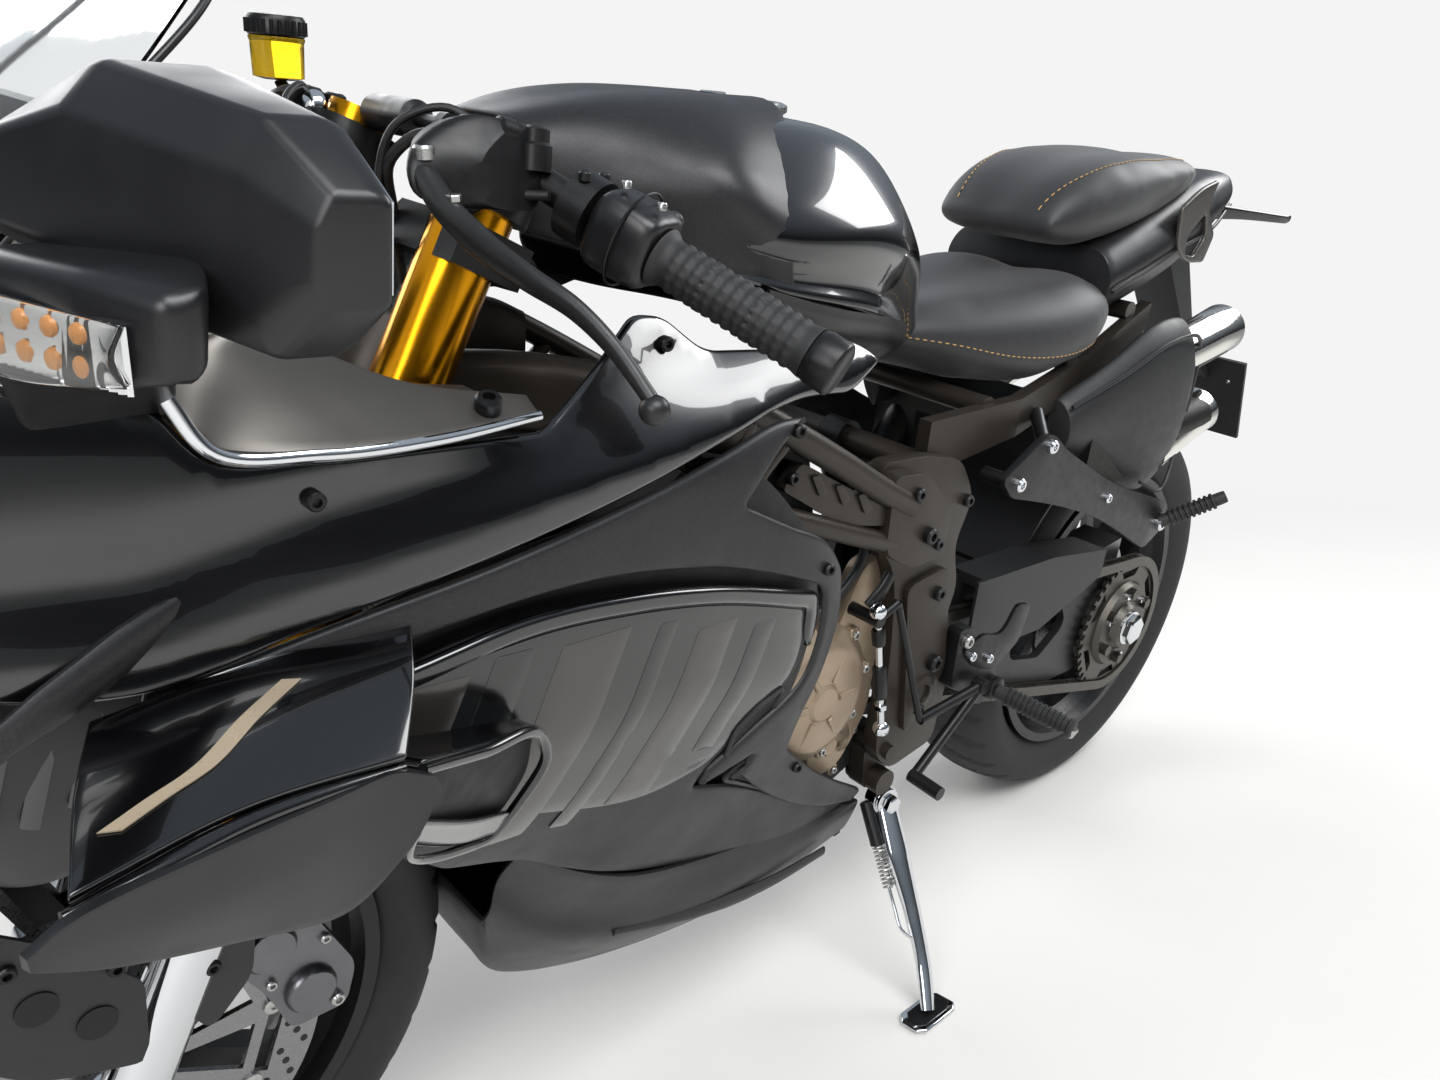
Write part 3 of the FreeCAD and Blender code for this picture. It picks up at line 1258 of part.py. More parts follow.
def foot_pegs():
    items = []
    for side in (1, -1):
        root = Vector(-225, side * 195, 390)
        tip = root.add(Vector(-10, side * size("peg_length"), -8))
        peg = cylinder(root, tip, 12)
        plate = prism([(-178, 450), (-230, 430), (-245, 380), (-215, 370), (-172, 400)],
                      *sorted((side * 172, side * 196)))
        link = prism([(-185, 480), (-159, 480), (-159, 420), (-185, 400)],
                     *sorted((side * 168, side * 180)))
        items.append(fused([peg, plate, link]))
        rear_tip = Vector(-430, side * 292, 590)
        knuckle = Vector(-470, side * 218, 571)
        stays = [cylinder(Vector(x, side * 148, z), knuckle, 8)
                 for x, z in ((-290, 712), (-345, 716))]
        ball = Part.makeSphere(13, knuckle)
        items.append(fused(stays + [ball, cylinder(knuckle, rear_tip, 10)]).cut(
            shapes["subframe"]))
    keep("foot_pegs", Part.makeCompound(items))


def foot_controls():
    shaft = across(*SHIFT_SHAFT, size("crankcase_half") + FIT, 190, size("shift_shaft_radius"))
    lever = cylinder(Vector(SHIFT_SHAFT[0], 184, SHIFT_SHAFT[1]), Vector(-30, 188, 556), 5)
    rod = cylinder(Vector(-30, 188, 556), Vector(-90, 200, 400), 4)
    arm = cylinder(Vector(-90, 200, 400), Vector(-195, 205, 412), 6)
    toe_arm = cylinder(Vector(-195, 205, 412), Vector(-80, 212, 336), 6)
    toe = cylinder(Vector(-80, 208, 336), Vector(-80, 250, 334), 8)
    hub = cylinder(Vector(-195, 196.3, 412), Vector(-195, 212, 412), 9)
    pedal_arm = cylinder(Vector(-195, -205, 412), Vector(-60, -215, 345), 6)
    pedal = cylinder(Vector(-60, -208, 345), Vector(-60, -250, 343), 8)
    pedal_hub = cylinder(Vector(-195, -196.3, 412), Vector(-195, -212, 412), 9)
    shift = fused([hub, arm, rod, lever, shaft, toe_arm, toe])
    brake = fused([pedal_hub, pedal_arm, pedal])
    keep("foot_controls", Part.makeCompound([shift, brake]))


def side_stand():
    pivot = STAND_PIVOT
    foot_floor = Vector(size("stand_foot_x"), size("stand_foot_y"), 0)
    centre = REST.Base
    plate = Part.makeBox(76, 46, 6, foot_floor.add(Vector(-38, -23, 0)))
    plate.translate(Vector(centre.x, centre.y, 0))
    plate.Placement = REST.inverse().multiply(plate.Placement)
    foot_top = Vector(foot_floor.x + centre.x, foot_floor.y + centre.y, 4)
    foot_top = REST.inverse().multVec(foot_top)
    start = pivot.add(Vector(0, 8, -14))
    leg = cylinder(start, foot_top, size("stand_leg_radius"))
    axis = STAND_AXIS
    eye = cylinder(pivot.sub(Vector(axis).multiply(7)), pivot.add(Vector(axis).multiply(7)), 17)
    hole = cylinder(pivot.sub(Vector(axis).multiply(30)), pivot.add(Vector(axis).multiply(30)),
                    size("stand_pin_radius") + FIT)
    body = fused([leg, eye, plate]).cut(hole)
    keep("side_stand", body)


# Front end


def yokes():
    thickness = size("yoke_thickness")
    plates = []
    for height in (size("top_yoke_height"), size("low_yoke_height")):
        centre = steering_point(height)
        ahead = leg_point(centre.z).x - centre.x
        outline = [(-30, 0), (-22, 50), (0, 138), (ahead + 20, 138), (ahead + 26, 60),
                   (34, 0)]
        points = outline + [(x, -y) for x, y in outline[-2:0:-1]]
        corners = [Vector(x, y, 0) for x, y in points]
        plate = Part.Face(Part.makePolygon(corners + corners[:1]))
        plate = plate.extrude(Vector(0, 0, thickness))
        plate.translate(Vector(0, 0, -thickness / 2))
        plate.rotate(ORIGIN, LEFT, -size("rake_angle"))
        plate.translate(centre)
        plates.append(plate)
    stem = cylinder(steering_point(size("low_yoke_height")),
                    steering_point(size("top_yoke_height") + 14), size("stem_radius"))
    nut = cylinder(steering_point(size("top_yoke_height")), STEM_HIGH, 19)
    body = fused(plates + [stem, nut])
    for side in (1, -1):
        body = body.cut(cylinder(leg_point(500, side), leg_point(1000, side),
                                 size("fork_outer_radius") + FIT))
    bore = cylinder(steering_point(600), steering_point(1000), size("stem_bore_radius"))
    keep("yokes", body.cut(bore))


def fork():
    tubes, sliders = [], []
    sheet_length = "(Sizes.fork_top - Sizes.fork_outer_low) / cos(Sizes.rake_angle)"
    for side, name in ((1, "left_fork_tube"), (-1, "right_fork_tube")):
        tube = doc.addObject("Part::Cylinder", name)
        tube.setExpression("Radius", "Sizes.fork_outer_radius")
        tube.setExpression("Height", sheet_length)
        tube.Placement = Placement(leg_point(size("fork_outer_low"), side),
                                   Rotation(UP, STEER_AXIS))
        tubes.append(tube)
        y = side * size("fork_spacing") / 2
        lug = across(FRONT_X, FRONT_R, y - 17, y + 17, size("fork_lug_radius"))
        start = leg_point(FRONT_R, side)
        slider = cylinder(start, leg_point(size("fork_outer_low") - FIT, side),
                          size("fork_inner_radius"))
        lower = cylinder(start, leg_point(FRONT_R + 140, side), 24)
        sliders += [lug, slider, lower]
    tube_pair = doc.addObject("Part::Compound", "fork_tube_pair")
    tube_pair.Links = tubes
    keep_bound("fork_upper_tubes", tube_pair, Placement())
    reach = size("fork_spacing") / 2 + 26
    axle = across(FRONT_X, FRONT_R, -reach, reach, size("front_axle_radius"))
    keep("fork_sliders", fused(sliders + [axle]))


def front_calipers():
    offset = size("front_disc_offset")
    slot = size("front_disc_thickness") / 2 + size("disc_slot_gap")
    block = prism([(600, 350), (560, 400), (585, 455), (640, 440), (650, 370)],
                  offset - slot - 16, offset + slot + 30)
    room = across(FRONT_X, FRONT_R, offset - slot, offset + slot,
                  size("front_disc_radius") + 4)
    leg = cylinder(leg_point(FRONT_R), leg_point(size("fork_outer_low")), 24)
    keep("front_calipers", pair(block.cut(room).cut(leg)))


def front_fender():
    width = size("front_tyre_width") / 2 + 9
    inner_r = FRONT_R + 12
    ring = across(FRONT_X, FRONT_R, -width, width, inner_r + 4)
    ring = ring.cut(across(FRONT_X, FRONT_R, -width - 1, width + 1, inner_r))
    wedge = prism([(FRONT_X, FRONT_R), (950, 560), (950, 700), (400, 700), (390, 560)],
                  -200, 200)
    arch = ring.common(wedge)
    sides = []
    for side in (1, -1):
        y_from, y_to = sorted((side * (width - 1), side * (width + 4)))
        sides.append(prism([(720, 560), (590, 520), (600, 470), (690, 470), (760, 560),
                            (750, 609), (640, 607)], y_from, y_to))
    for side in (1, -1):
        lug = leg_point(500, side)
        sides.append(across(lug.x, lug.z, *sorted((side * width, side * (width + 18))), 11))
    keep("front_fender", fused([arch] + sides).cut(shapes["fork_sliders"]))


def bar_direction(side):
    return Vector(-58, side * 135, -58).normalize()


def handlebars():
    bars, grips, controls = [], [], []
    for side in (1, -1):
        run = bar_direction(side)
        end = Vector(301, side * 352, 873)
        clamp = leg_point(935, side)
        inner = end.sub(Vector(run).multiply(254))
        ring = pipe(leg_point(938, side), leg_point(972, side), size("fork_outer_radius") + 9,
                    size("fork_outer_radius") + FIT)
        bar = cylinder(inner, end.sub(Vector(run).multiply(2)), size("bar_radius"))
        hole = cylinder(leg_point(800, side), leg_point(1000, side),
                        size("fork_outer_radius") + FIT)
        bars.append(fused([ring, bar]).cut(hole))
        grip_start = end.sub(Vector(run).multiply(size("grip_length") + 22))
        grip_end = end.sub(Vector(run).multiply(22))
        grips.append(pipe(grip_start, grip_end, size("grip_radius"), size("bar_radius") + FIT))
        grips.append(pipe(grip_end.add(Vector(run).multiply(FIT)), end, 18,
                          size("bar_radius") + FIT))
        housing_start = grip_start.sub(Vector(run).multiply(48))
        housing = pipe(housing_start, grip_start.sub(Vector(run).multiply(FIT)), 25,
                       size("bar_radius") + FIT)
        perch = pipe(housing_start.sub(Vector(run).multiply(24)), housing_start, 17,
                     size("bar_radius") + FIT)
        front = housing_start.sub(Vector(run).multiply(12))
        arm = cylinder(front.add(Vector(14, 0, 4)), front.add(Vector(46, 0, 8)), 9)
        knuckle = front.add(Vector(46, 0, 8))
        lever_path = [knuckle, Vector(438, side * 236, 918), Vector(428, side * 286, 892),
                      Vector(427, side * 320, 864)]
        lever = fused([bent_tube(lever_path, 7, 22), Part.makeSphere(9, lever_path[-1])])
        controls.append(fused([housing, perch, arm, lever]))
    post = cylinder(Vector(409, -180, 962), Vector(409, -224, 1004), 5)
    cup = cylinder(Vector(409, -230, 1000), Vector(409, -230, 1052), 22)
    controls[1] = fused([controls[1], post, cup])
    keep("handlebars", Part.makeCompound(bars))
    keep("grips", Part.makeCompound(grips))
    bar_set = Part.makeCompound(bars)
    keep("hand_controls", Part.makeCompound(controls).cut(bar_set))


def rear_shock():
    """Damper body with its coil drawn as rings, and an eye at each end."""
    low, high = Vector(-200, 0, 520), Vector(-125, 0, 668)
    way = high.sub(low).normalize()
    run = high.sub(low).Length
    parts = [cylinder(low, high, 9)]
    parts.append(cylinder(low.add(Vector(way).multiply(22)), high.sub(Vector(way).multiply(24)), 20))
    coils = 6
    pitch = (run - 50) / coils
    for number in range(coils):
        start = low.add(Vector(way).multiply(24 + number * pitch))
        parts.append(cylinder(start, start.add(Vector(way).multiply(pitch * 0.55)), 30))
    parts += [across(end.x, end.z, -16, 16, radius) for end, radius in ((low, 17), (high, 21))]
    keep("rear_shock", fused(parts).cut(shapes["main_frame"]).cut(shapes["swingarm"]))


front_wheel()
rear_wheel()
drive_chain()
swingarm()
rear_caliper()
rear_hugger()
main_frame()
subframe()
engine()
radiator()
exhaust_system()
fuel_tank()
tail()
seats()
fairings()
belly_pan()
nose()
winglets()
mirrors()
foot_pegs()
foot_controls()
side_stand()
yokes()
fork()
front_calipers()
front_fender()
handlebars()
rear_shock()

doc.recompute()
for item in doc.Objects:
    if "Invalid" in item.State or "Error" in item.State:
        raise RuntimeError("%s did not build" % item.Label)
os.makedirs("parts", exist_ok=True)
for piece in nodes:
    if piece.Shape.isNull() or not piece.Shape.isValid():
        raise RuntimeError("%s has no valid shape" % piece.Label)
for piece in nodes:
    piece.Shape.exportStep("parts/%s.step" % piece.Label)
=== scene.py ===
import json
import math

import bmesh
import bpy
import numpy as np
from mathutils.bvhtree import BVHTree
from mathutils import Matrix, Vector, geometry


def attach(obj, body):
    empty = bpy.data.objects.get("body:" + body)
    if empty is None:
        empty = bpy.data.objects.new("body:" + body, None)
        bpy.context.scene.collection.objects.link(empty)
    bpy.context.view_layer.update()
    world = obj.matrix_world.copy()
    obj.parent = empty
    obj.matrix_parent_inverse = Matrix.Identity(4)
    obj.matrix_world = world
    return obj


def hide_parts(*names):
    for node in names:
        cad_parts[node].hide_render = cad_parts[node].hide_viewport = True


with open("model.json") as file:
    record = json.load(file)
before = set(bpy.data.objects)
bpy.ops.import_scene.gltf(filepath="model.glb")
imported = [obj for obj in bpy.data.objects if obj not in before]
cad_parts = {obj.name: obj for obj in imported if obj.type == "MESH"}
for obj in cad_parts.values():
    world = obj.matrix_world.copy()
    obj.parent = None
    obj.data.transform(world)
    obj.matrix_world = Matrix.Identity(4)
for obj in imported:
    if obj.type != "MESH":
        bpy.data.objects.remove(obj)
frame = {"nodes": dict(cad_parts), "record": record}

# Sport motorcycle leaning on its side stand. Pieces are drawn in the upright motorcycle's own
# millimetres, X forward, Y to the rider's left and Z up, and then leant with the frame.

MM = 0.001
SHARP_EDGE = math.radians(38)
UP = (0, 0, 1)
LEFT = (0, 1, 0)
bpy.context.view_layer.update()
JOINTS = {joint["name"]: joint for joint in frame["record"]["behaviour"]["joints"]}
FRONT_HUB = Vector((704, 0, 300))
REAR_HUB = Vector((-704, 0, 315))


def lean():
    """Placement of the upright motorcycle in the frame, from its two wheel joints."""
    front = Vector(JOINTS["front_wheel_spin"]["pos_m"])
    rear = Vector(JOINTS["rear_wheel_spin"]["pos_m"])
    left = Vector(JOINTS["rear_wheel_spin"]["axis"]).normalized()
    along = (front - rear).normalized()
    bike_along = (FRONT_HUB - REAR_HUB).normalized()
    across = along.cross(left)
    bike_across = bike_along.cross(Vector((0, 1, 0)))
    turn = Matrix((along, left, across)).transposed() @ Matrix((bike_along, (0, 1, 0), bike_across))
    shift = rear - turn @ (REAR_HUB * MM)
    return Matrix.Translation(shift) @ turn.to_4x4() @ Matrix.Scale(MM, 4)


LEAN = lean()


# Materials


def linear(hex_colour):
    """An sRGB hex colour as the shader's linear colour."""
    parts = [int(hex_colour[i:i + 2], 16) / 255 for i in (1, 3, 5)]
    return [c / 12.92 if c <= 0.04045 else ((c + 0.055) / 1.055) ** 2.4 for c in parts] + [1.0]


def add(material, kind, sockets, **settings):
    """Adds a node to a material: sockets are numbers, colours or other nodes' outputs."""
    tree = material.node_tree
    node = tree.nodes.new("ShaderNode" + kind)
    for name, value in settings.items():
        setattr(node, name, value)
    for name, value in sockets.items():
        if isinstance(value, bpy.types.NodeSocket):
            tree.links.new(value, node.inputs[name])
        else:
            node.inputs[name].default_value = value
    return node


def finish_of(name, colour, **sockets):
    """A new material with its shader's plain values, its shader and its object coordinates."""
    material = bpy.data.materials.new(name)
    material.use_nodes = True
    shader = material.node_tree.nodes["Principled BSDF"]
    shader.inputs["Base Color"].default_value = linear(colour)
    for socket, value in sockets.items():
        shader.inputs[socket.replace("_", " ")].default_value = value
    place = add(material, "TexCoord", {}).outputs["Object"]
    return material, shader, place


def bumped(material, shader, height, depth_mm, strength=1.0):
    """Relief of a real depth on a shader, from one node output."""
    bump = add(material, "Bump", {"Height": height, "Strength": strength,
                                  "Distance": depth_mm * MM})
    material.node_tree.links.new(bump.outputs["Normal"], shader.inputs["Normal"])


def grain(material, shader, place, size_mm, depth_mm, detail=3.0):
    """Surface grain of a real size, as bump."""
    noise = add(material, "TexNoise", {"Vector": place, "Scale": 1000 / size_mm, "Detail": detail})
    bumped(material, shader, noise.outputs["Fac"], depth_mm)


def brushing(material, place, scale, size_mm, detail):
    """Noise drawn out along one way, as turning or brushing leaves it."""
    stretch = add(material, "Mapping", {"Vector": place, "Scale": scale})
    lines = add(material, "TexNoise", {"Vector": stretch.outputs["Vector"],
                                       "Scale": 1000 / size_mm, "Detail": detail})
    return lines.outputs["Fac"]


def vary(material, shader, place, socket, low, high, size_mm):
    """Cloudy change of one shader value over the surface, between two numbers or colours."""
    noise = add(material, "TexNoise", {"Vector": place, "Scale": 1000 / size_mm, "Detail": 4.0})
    if socket == "Base Color":
        mix = add(material, "MixRGB", {"Fac": noise.outputs["Fac"], "Color1": linear(low),
                                       "Color2": linear(high)})
        result = mix.outputs["Color"]
    else:
        spread = add(material, "MapRange", {"Value": noise.outputs["Fac"], "From Min": 0.3,
                                            "From Max": 0.7, "To Min": low, "To Max": high})
        result = spread.outputs["Result"]
    material.node_tree.links.new(result, shader.inputs[socket])


def lacquered_abs():
    """Injection moulded ABS in gloss black lacquer: deep mirror under a faint orange peel."""
    material, shader, place = finish_of("lacquered_abs", "#030304", Roughness=0.2, Coat_Weight=1.0,
                                        Coat_Roughness=0.02, IOR=1.5)
    grain(material, shader, place, 9.0, 0.012, 1.0)
    vary(material, shader, place, "Base Color", "#020203", "#050507", 60)
    return material


def satin_charcoal_paint():
    """Matt metallic charcoal paint: soft wide highlights with a fine aluminium flake."""
    material, shader, place = finish_of("satin_charcoal_paint", "#29292A", Roughness=0.44,
                                        Metallic=0.45)
    flake = add(material, "TexVoronoi", {"Vector": place, "Scale": 1000 / 0.9})
    tone = add(material, "MixRGB", {"Fac": flake.outputs["Color"], "Color1": linear("#222223"),
                                    "Color2": linear("#303032")})
    material.node_tree.links.new(tone.outputs["Color"], shader.inputs["Base Color"])
    vary(material, shader, place, "Roughness", 0.38, 0.47, 35)
    grain(material, shader, place, 1.2, 0.01)
    return material


def moulded_abs():
    """Unpainted moulded ABS with a fine spark-eroded grain that breaks up its sheen."""
    material, shader, place = finish_of("moulded_abs", "#1B1B1D", Roughness=0.5, IOR=1.5)
    grain(material, shader, place, 0.8, 0.05)
    vary(material, shader, place, "Base Color", "#171719", "#202022", 25)
    return material


def shade_sheet_finish():
    """Near-black matt sheets in recesses, mouths and drilled holes: painted shade where there is only
    depth.
    """
    material, shader, place = finish_of("painted_shade_black", "#0E0E0F", Roughness=0.6, IOR=1.49)
    grain(material, shader, place, 1.5, 0.06)
    vary(material, shader, place, "Roughness", 0.52, 0.68, 20)
    return material


def smoked_film(name, colour, other, roughness):
    """Printed film under satin clear coat, which gives the side panel its tonal bands."""
    material, shader, place = finish_of(name, colour, Roughness=roughness, Coat_Weight=0.8,
                                        Coat_Roughness=0.12, IOR=1.5)
    vary(material, shader, place, "Base Color", colour, other, 40)
    grain(material, shader, place, 1.6, 0.008)
    return material


def painted_frame():
    """Cast and welded frame in bronze-grey powder coat, with the coat's fine orange peel."""
    material, shader, place = finish_of("bronze_powder_coat", "#35302B", Roughness=0.42,
                                        Metallic=0.55)
    vary(material, shader, place, "Base Color", "#302B27", "#3B352F", 30)
    grain(material, shader, place, 1.4, 0.03)
    return material


def cast_magnesium():
    """Champagne painted engine covers: fine sand-cast grain under thin metallic paint."""
    material, shader, place = finish_of("champagne_cast_covers", "#A2907C", Roughness=0.42,
                                        Metallic=0.6)
    vary(material, shader, place, "Base Color", "#97856F", "#AC9A86", 18)
    grain(material, shader, place, 1.1, 0.06, 5.0)
    return material


def cast_aluminium(name, colour, darker, roughness=0.5):
    """Sand-cast aluminium with a rough skin and slightly uneven tone."""
    material, shader, place = finish_of(name, colour, Roughness=roughness, Metallic=0.8)
    vary(material, shader, place, "Base Color", darker, colour, 12)
    grain(material, shader, place, 1.3, 0.08, 5.0)
    return material


def anodised(name, colour, darker, roughness=0.24):
    """Anodised aluminium: dyed oxide over machined metal, with faint turning marks."""
    material, shader, place = finish_of(name, colour, Roughness=roughness, Metallic=1.0)
    lines = brushing(material, place, (1.0, 1.0, 12.0), 6.0, 3.0)
    bumped(material, shader, lines, 0.004)
    vary(material, shader, place, "Base Color", darker, colour, 30)
    return material


def chromed_steel():
    """Bright chrome plate over polished steel, with a trace of polishing haze."""
    material, shader, place = finish_of("chromed_steel", "#D9DBDE", Roughness=0.06, Metallic=1.0)
    vary(material, shader, place, "Roughness", 0.04, 0.12, 20)
    return material


def brushed_steel(name, colour="#B4B4B2", roughness=0.3):
    """Stainless steel brushed along its length, with the fine lines of the belt."""
    material, shader, place = finish_of(name, colour, Roughness=roughness, Metallic=1.0)
    lines = brushing(material, place, (0.08, 1.0, 1.0), 0.8, 2.0)
    spread = add(material, "MapRange", {"Value": lines, "From Min": 0.3, "From Max": 0.7,
                                        "To Min": roughness - 0.08, "To Max": roughness + 0.1})
    material.node_tree.links.new(spread.outputs["Result"], shader.inputs["Roughness"])
    bumped(material, shader, lines, 0.006)
    return material


def black_anodised():
    """Satin black anodised and painted metal of levers, clamps and yokes."""
    material, shader, place = finish_of("satin_black_metal", "#161617", Roughness=0.38,
                                        Metallic=0.4)
    grain(material, shader, place, 0.9, 0.02)
    vary(material, shader, place, "Roughness", 0.32, 0.45, 12)
    return material


def moulded_rubber():
    """Soft grip rubber: deep matt black with a slightly dusty bloom."""
    material, shader, place = finish_of("moulded_rubber", "#151516", Roughness=0.62, IOR=1.52)
    vary(material, shader, place, "Base Color", "#121213", "#1C1C1D", 8)
    grain(material, shader, place, 0.8, 0.03)
    return material


def tyre_rubber():
    """Vulcanised tyre rubber with a faint grey bloom and fine mould lines."""
    material, shader, place = finish_of("tyre_rubber", "#1A1A1B", Roughness=0.72, IOR=1.52)
    vary(material, shader, place, "Base Color", "#161617", "#222223", 14)
    grain(material, shader, place, 1.6, 0.12)
    return material


def seat_leather():
    """Leather-look vinyl: pebbled grain about 1.5 mm across with a soft sheen on its crests."""
    material, shader, place = finish_of("grained_seat_vinyl", "#1E1E20", Roughness=0.5, IOR=1.5)
    shader.inputs["Sheen Weight"].default_value = 0.15
    cells = add(material, "TexVoronoi", {"Vector": place, "Scale": 1000 / 1.6},
                feature="DISTANCE_TO_EDGE")
    bumped(material, shader, cells.outputs["Distance"], 0.25, 0.6)
    vary(material, shader, place, "Base Color", "#1A1A1C", "#232325", 45)
    return material


def sewing_thread():
    """Tan bonded polyester thread, twisted, a little lighter on its crowns."""
    material, shader, place = finish_of("tan_thread", "#B08B54", Roughness=0.7)
    grain(material, shader, place, 0.7, 0.1)
    return material


def clear_sheet(name, colour, roughness=0.02):
    """Clear moulded acrylic or polycarbonate: bright edges and sharp reflections."""
    material, shader, place = finish_of(name, colour, Roughness=roughness, IOR=1.49,
                                        Transmission_Weight=1.0)
    vary(material, shader, place, "Roughness", roughness, roughness + 0.015, 80)
    return material


def lamp_red():
    """Red moulded acrylic lens, ribbed so that it glints over its reflector."""
    material, shader, place = finish_of("red_acrylic_lens", "#7A0B0B", Roughness=0.12, IOR=1.49,
                                        Transmission_Weight=0.3)
    ribs = add(material, "TexWave", {"Vector": place, "Scale": 1000 / 18.0})
    bumped(material, shader, ribs.outputs["Fac"], 0.5, 0.5)
    return material


def ground_disc():
    """Stainless brake disc, ground in fine circles round its own hub."""
    material, shader, place = finish_of("ground_brake_disc", "#8E8E8F", Roughness=0.3,
                                        Metallic=1.0)
    vary(material, shader, place, "Roughness", 0.22, 0.4, 3)
    grain(material, shader, place, 1.0, 0.02)
    return material


def paint_line(name, colour, roughness=0.35):
    """A thin painted or foil line: even colour with slightly worn gloss."""
    material, shader, place = finish_of(name, colour, Roughness=roughness, Metallic=0.3)
    vary(material, shader, place, "Roughness", roughness - 0.06, roughness + 0.1, 6)
    grain(material, shader, place, 1.0, 0.01)
    return material


def amber_fluid():
    """Brake fluid behind its moulded pot: clear warm yellow with a soft inner glow."""
    material, shader, place = finish_of("amber_brake_fluid", "#C9A417", Roughness=0.08, IOR=1.44,
                                        Transmission_Weight=0.75)
    vary(material, shader, place, "Base Color", "#B9930F", "#D8B52A", 14)
    return material


def radiator_fins():
    """Folded aluminium fins, drawn at 3 mm spacing, which show as fine dark stripes."""
    material, shader, place = finish_of("folded_radiator_fins", "#1C1C1D", Roughness=0.45,
                                        Metallic=0.6)
    wave = add(material, "TexWave", {"Vector": place, "Scale": 1000 / 3.0 / 6.283},
               bands_direction="Z")
    bumped(material, shader, wave.outputs["Fac"], 1.2)
    return material


def vent_mesh():
    """Black woven vent mesh: 4 mm square openings, drawn coarse enough to show; the openings are painted
    near black as shade behind the mesh, the wires a lighter black.
    """
    material, shader, place = finish_of("black_vent_mesh", "#050506", Roughness=0.6, Metallic=0.2)
    cells = add(material, "TexVoronoi", {"Vector": place, "Scale": 1000 / 4.0, "Randomness": 0.0},
                distance="CHEBYCHEV")
    # Openings darker than the wires: painted shade behind the mesh.
    tone = add(material, "MapRange", {"Value": cells.outputs["Distance"], "From Min": 0.3,
                                      "From Max": 0.42, "To Min": 0.0, "To Max": 1.0})
    mix = add(material, "MixRGB", {"Fac": tone.outputs["Result"], "Color1": linear("#020202"),
                                   "Color2": linear("#1C1C1D")})
    material.node_tree.links.new(mix.outputs["Color"], shader.inputs["Base Color"])
    bumped(material, shader, tone.outputs["Result"], 1.0)
    return material


def silvered(name, colour, roughness):
    """Vacuum silvered surface, as on a mirror or reflector: sharp image, faint haze."""
    material, shader, place = finish_of(name, colour, Roughness=roughness, Metallic=1.0)
    vary(material, shader, place, "Roughness", roughness, roughness + 0.04, 40)
    return material


def smooth_black_abs():
    """Mirror housings: moulded ABS with a fine satin etch and soft sheen."""
    material, shader, place = finish_of("satin_etched_abs", "#131315", Roughness=0.36, IOR=1.5)
    grain(material, shader, place, 0.7, 0.02)
    vary(material, shader, place, "Roughness", 0.32, 0.42, 30)
    return material


def satin_black(name, colour, roughness):
    """Epoxy coated casting: smooth satin black with a slight orange peel."""
    material, shader, place = finish_of(name, colour, Roughness=roughness, IOR=1.52)
    grain(material, shader, place, 2.2, 0.03)
    vary(material, shader, place, "Roughness", roughness - 0.04, roughness + 0.05, 12)
    return material


def satin_silver():
    """Painted plate: fine metallic flake in satin grey, brighter where it faces the sky."""
    material, shader, place = finish_of("satin_silver_paint", "#5E5B57", Roughness=0.36,
                                        Metallic=0.7)
    grain(material, shader, place, 0.5, 0.01)
    vary(material, shader, place, "Roughness", 0.3, 0.38, 25)
    return material


# Painted and moulded panels
GLOSS = lacquered_abs()
CHARCOAL = satin_charcoal_paint()
ABS = moulded_abs()
ABS_SMOOTH = smooth_black_abs()
# Near-black sheets that paint the shade in recesses, scoop mouths, vent holes and disc drillings.
SHADE_BLACK = shade_sheet_finish()
FILM = smoked_film("smoked_film", "#0E0E0E", "#121212", 0.22)
FILM_DARK = smoked_film("smoked_film_dark", "#070707", "#0A0A0A", 0.2)
FILM_LIGHT = smoked_film("smoked_film_light", "#24211E", "#2A2622", 0.3)
MESH_BLACK = vent_mesh()
MUFFLER_COVER = satin_black("heat_cover_plastic", "#1B1B1C", 0.5)
PINSTRIPE = paint_line("silver_pinstripe", "#C9CBCC")
CHAMPAGNE_FOIL = paint_line("champagne_foil", "#A99A84", 0.3)

# Metals
FRAME = painted_frame()
TRIM = satin_silver()
CHAMPAGNE = cast_magnesium()
ENGINE = cast_aluminium("cast_engine_grey", "#3A3A3B", "#2F2F30")
ARM = cast_aluminium("cast_arm_grey", "#454546", "#39393A", 0.42)
CALIPER = anodised("grey_anodised", "#77777A", "#6A6A6D", 0.34)
GOLD = anodised("gold_anodised", "#D9961A", "#C98610", 0.22)
CHROME = chromed_steel()
POLISHED = brushed_steel("polished_outlet_steel", "#D8D6D0", 0.1)
STEEL = brushed_steel("brushed_steel")
DARK_STEEL = brushed_steel("dark_chain_steel", "#57544F", 0.4)
MUFFLER = brushed_steel("bead_blasted_steel", "#3A3938", 0.5)
BLACK_METAL = black_anodised()
LEVER_BLACK = satin_black("coated_lever", "#161617", 0.4)
RIM_PAINT = paint_line("satin_black_rim_paint", "#131314", 0.34)
DISC = ground_disc()
FINS = radiator_fins()

# Rubber, seats and lamps
RUBBER = moulded_rubber()
CABLE = satin_black("cable_sheath", "#101011", 0.48)
BUTTON = satin_black("button_rubber", "#2A2A2C", 0.45)
TYRE = tyre_rubber()
LEATHER = seat_leather()
THREAD = sewing_thread()
CLEAR = clear_sheet("clear_acrylic", "#F4F7F8")
LENS = clear_sheet("clear_lens", "#F2F2F0", 0.06)
SMOKED_LENS = satin_black("smoked_lens", "#141011", 0.14)
RED_LENS = lamp_red()
AMBER = satin_black("amber_lamp_phosphor", "#D08A3A", 0.3)
FLUID = amber_fluid()
MIRROR = silvered("mirror_glass", "#C8CCD0", 0.02)
REFLECTOR = silvered("lamp_reflector", "#D5D6D8", 0.12)

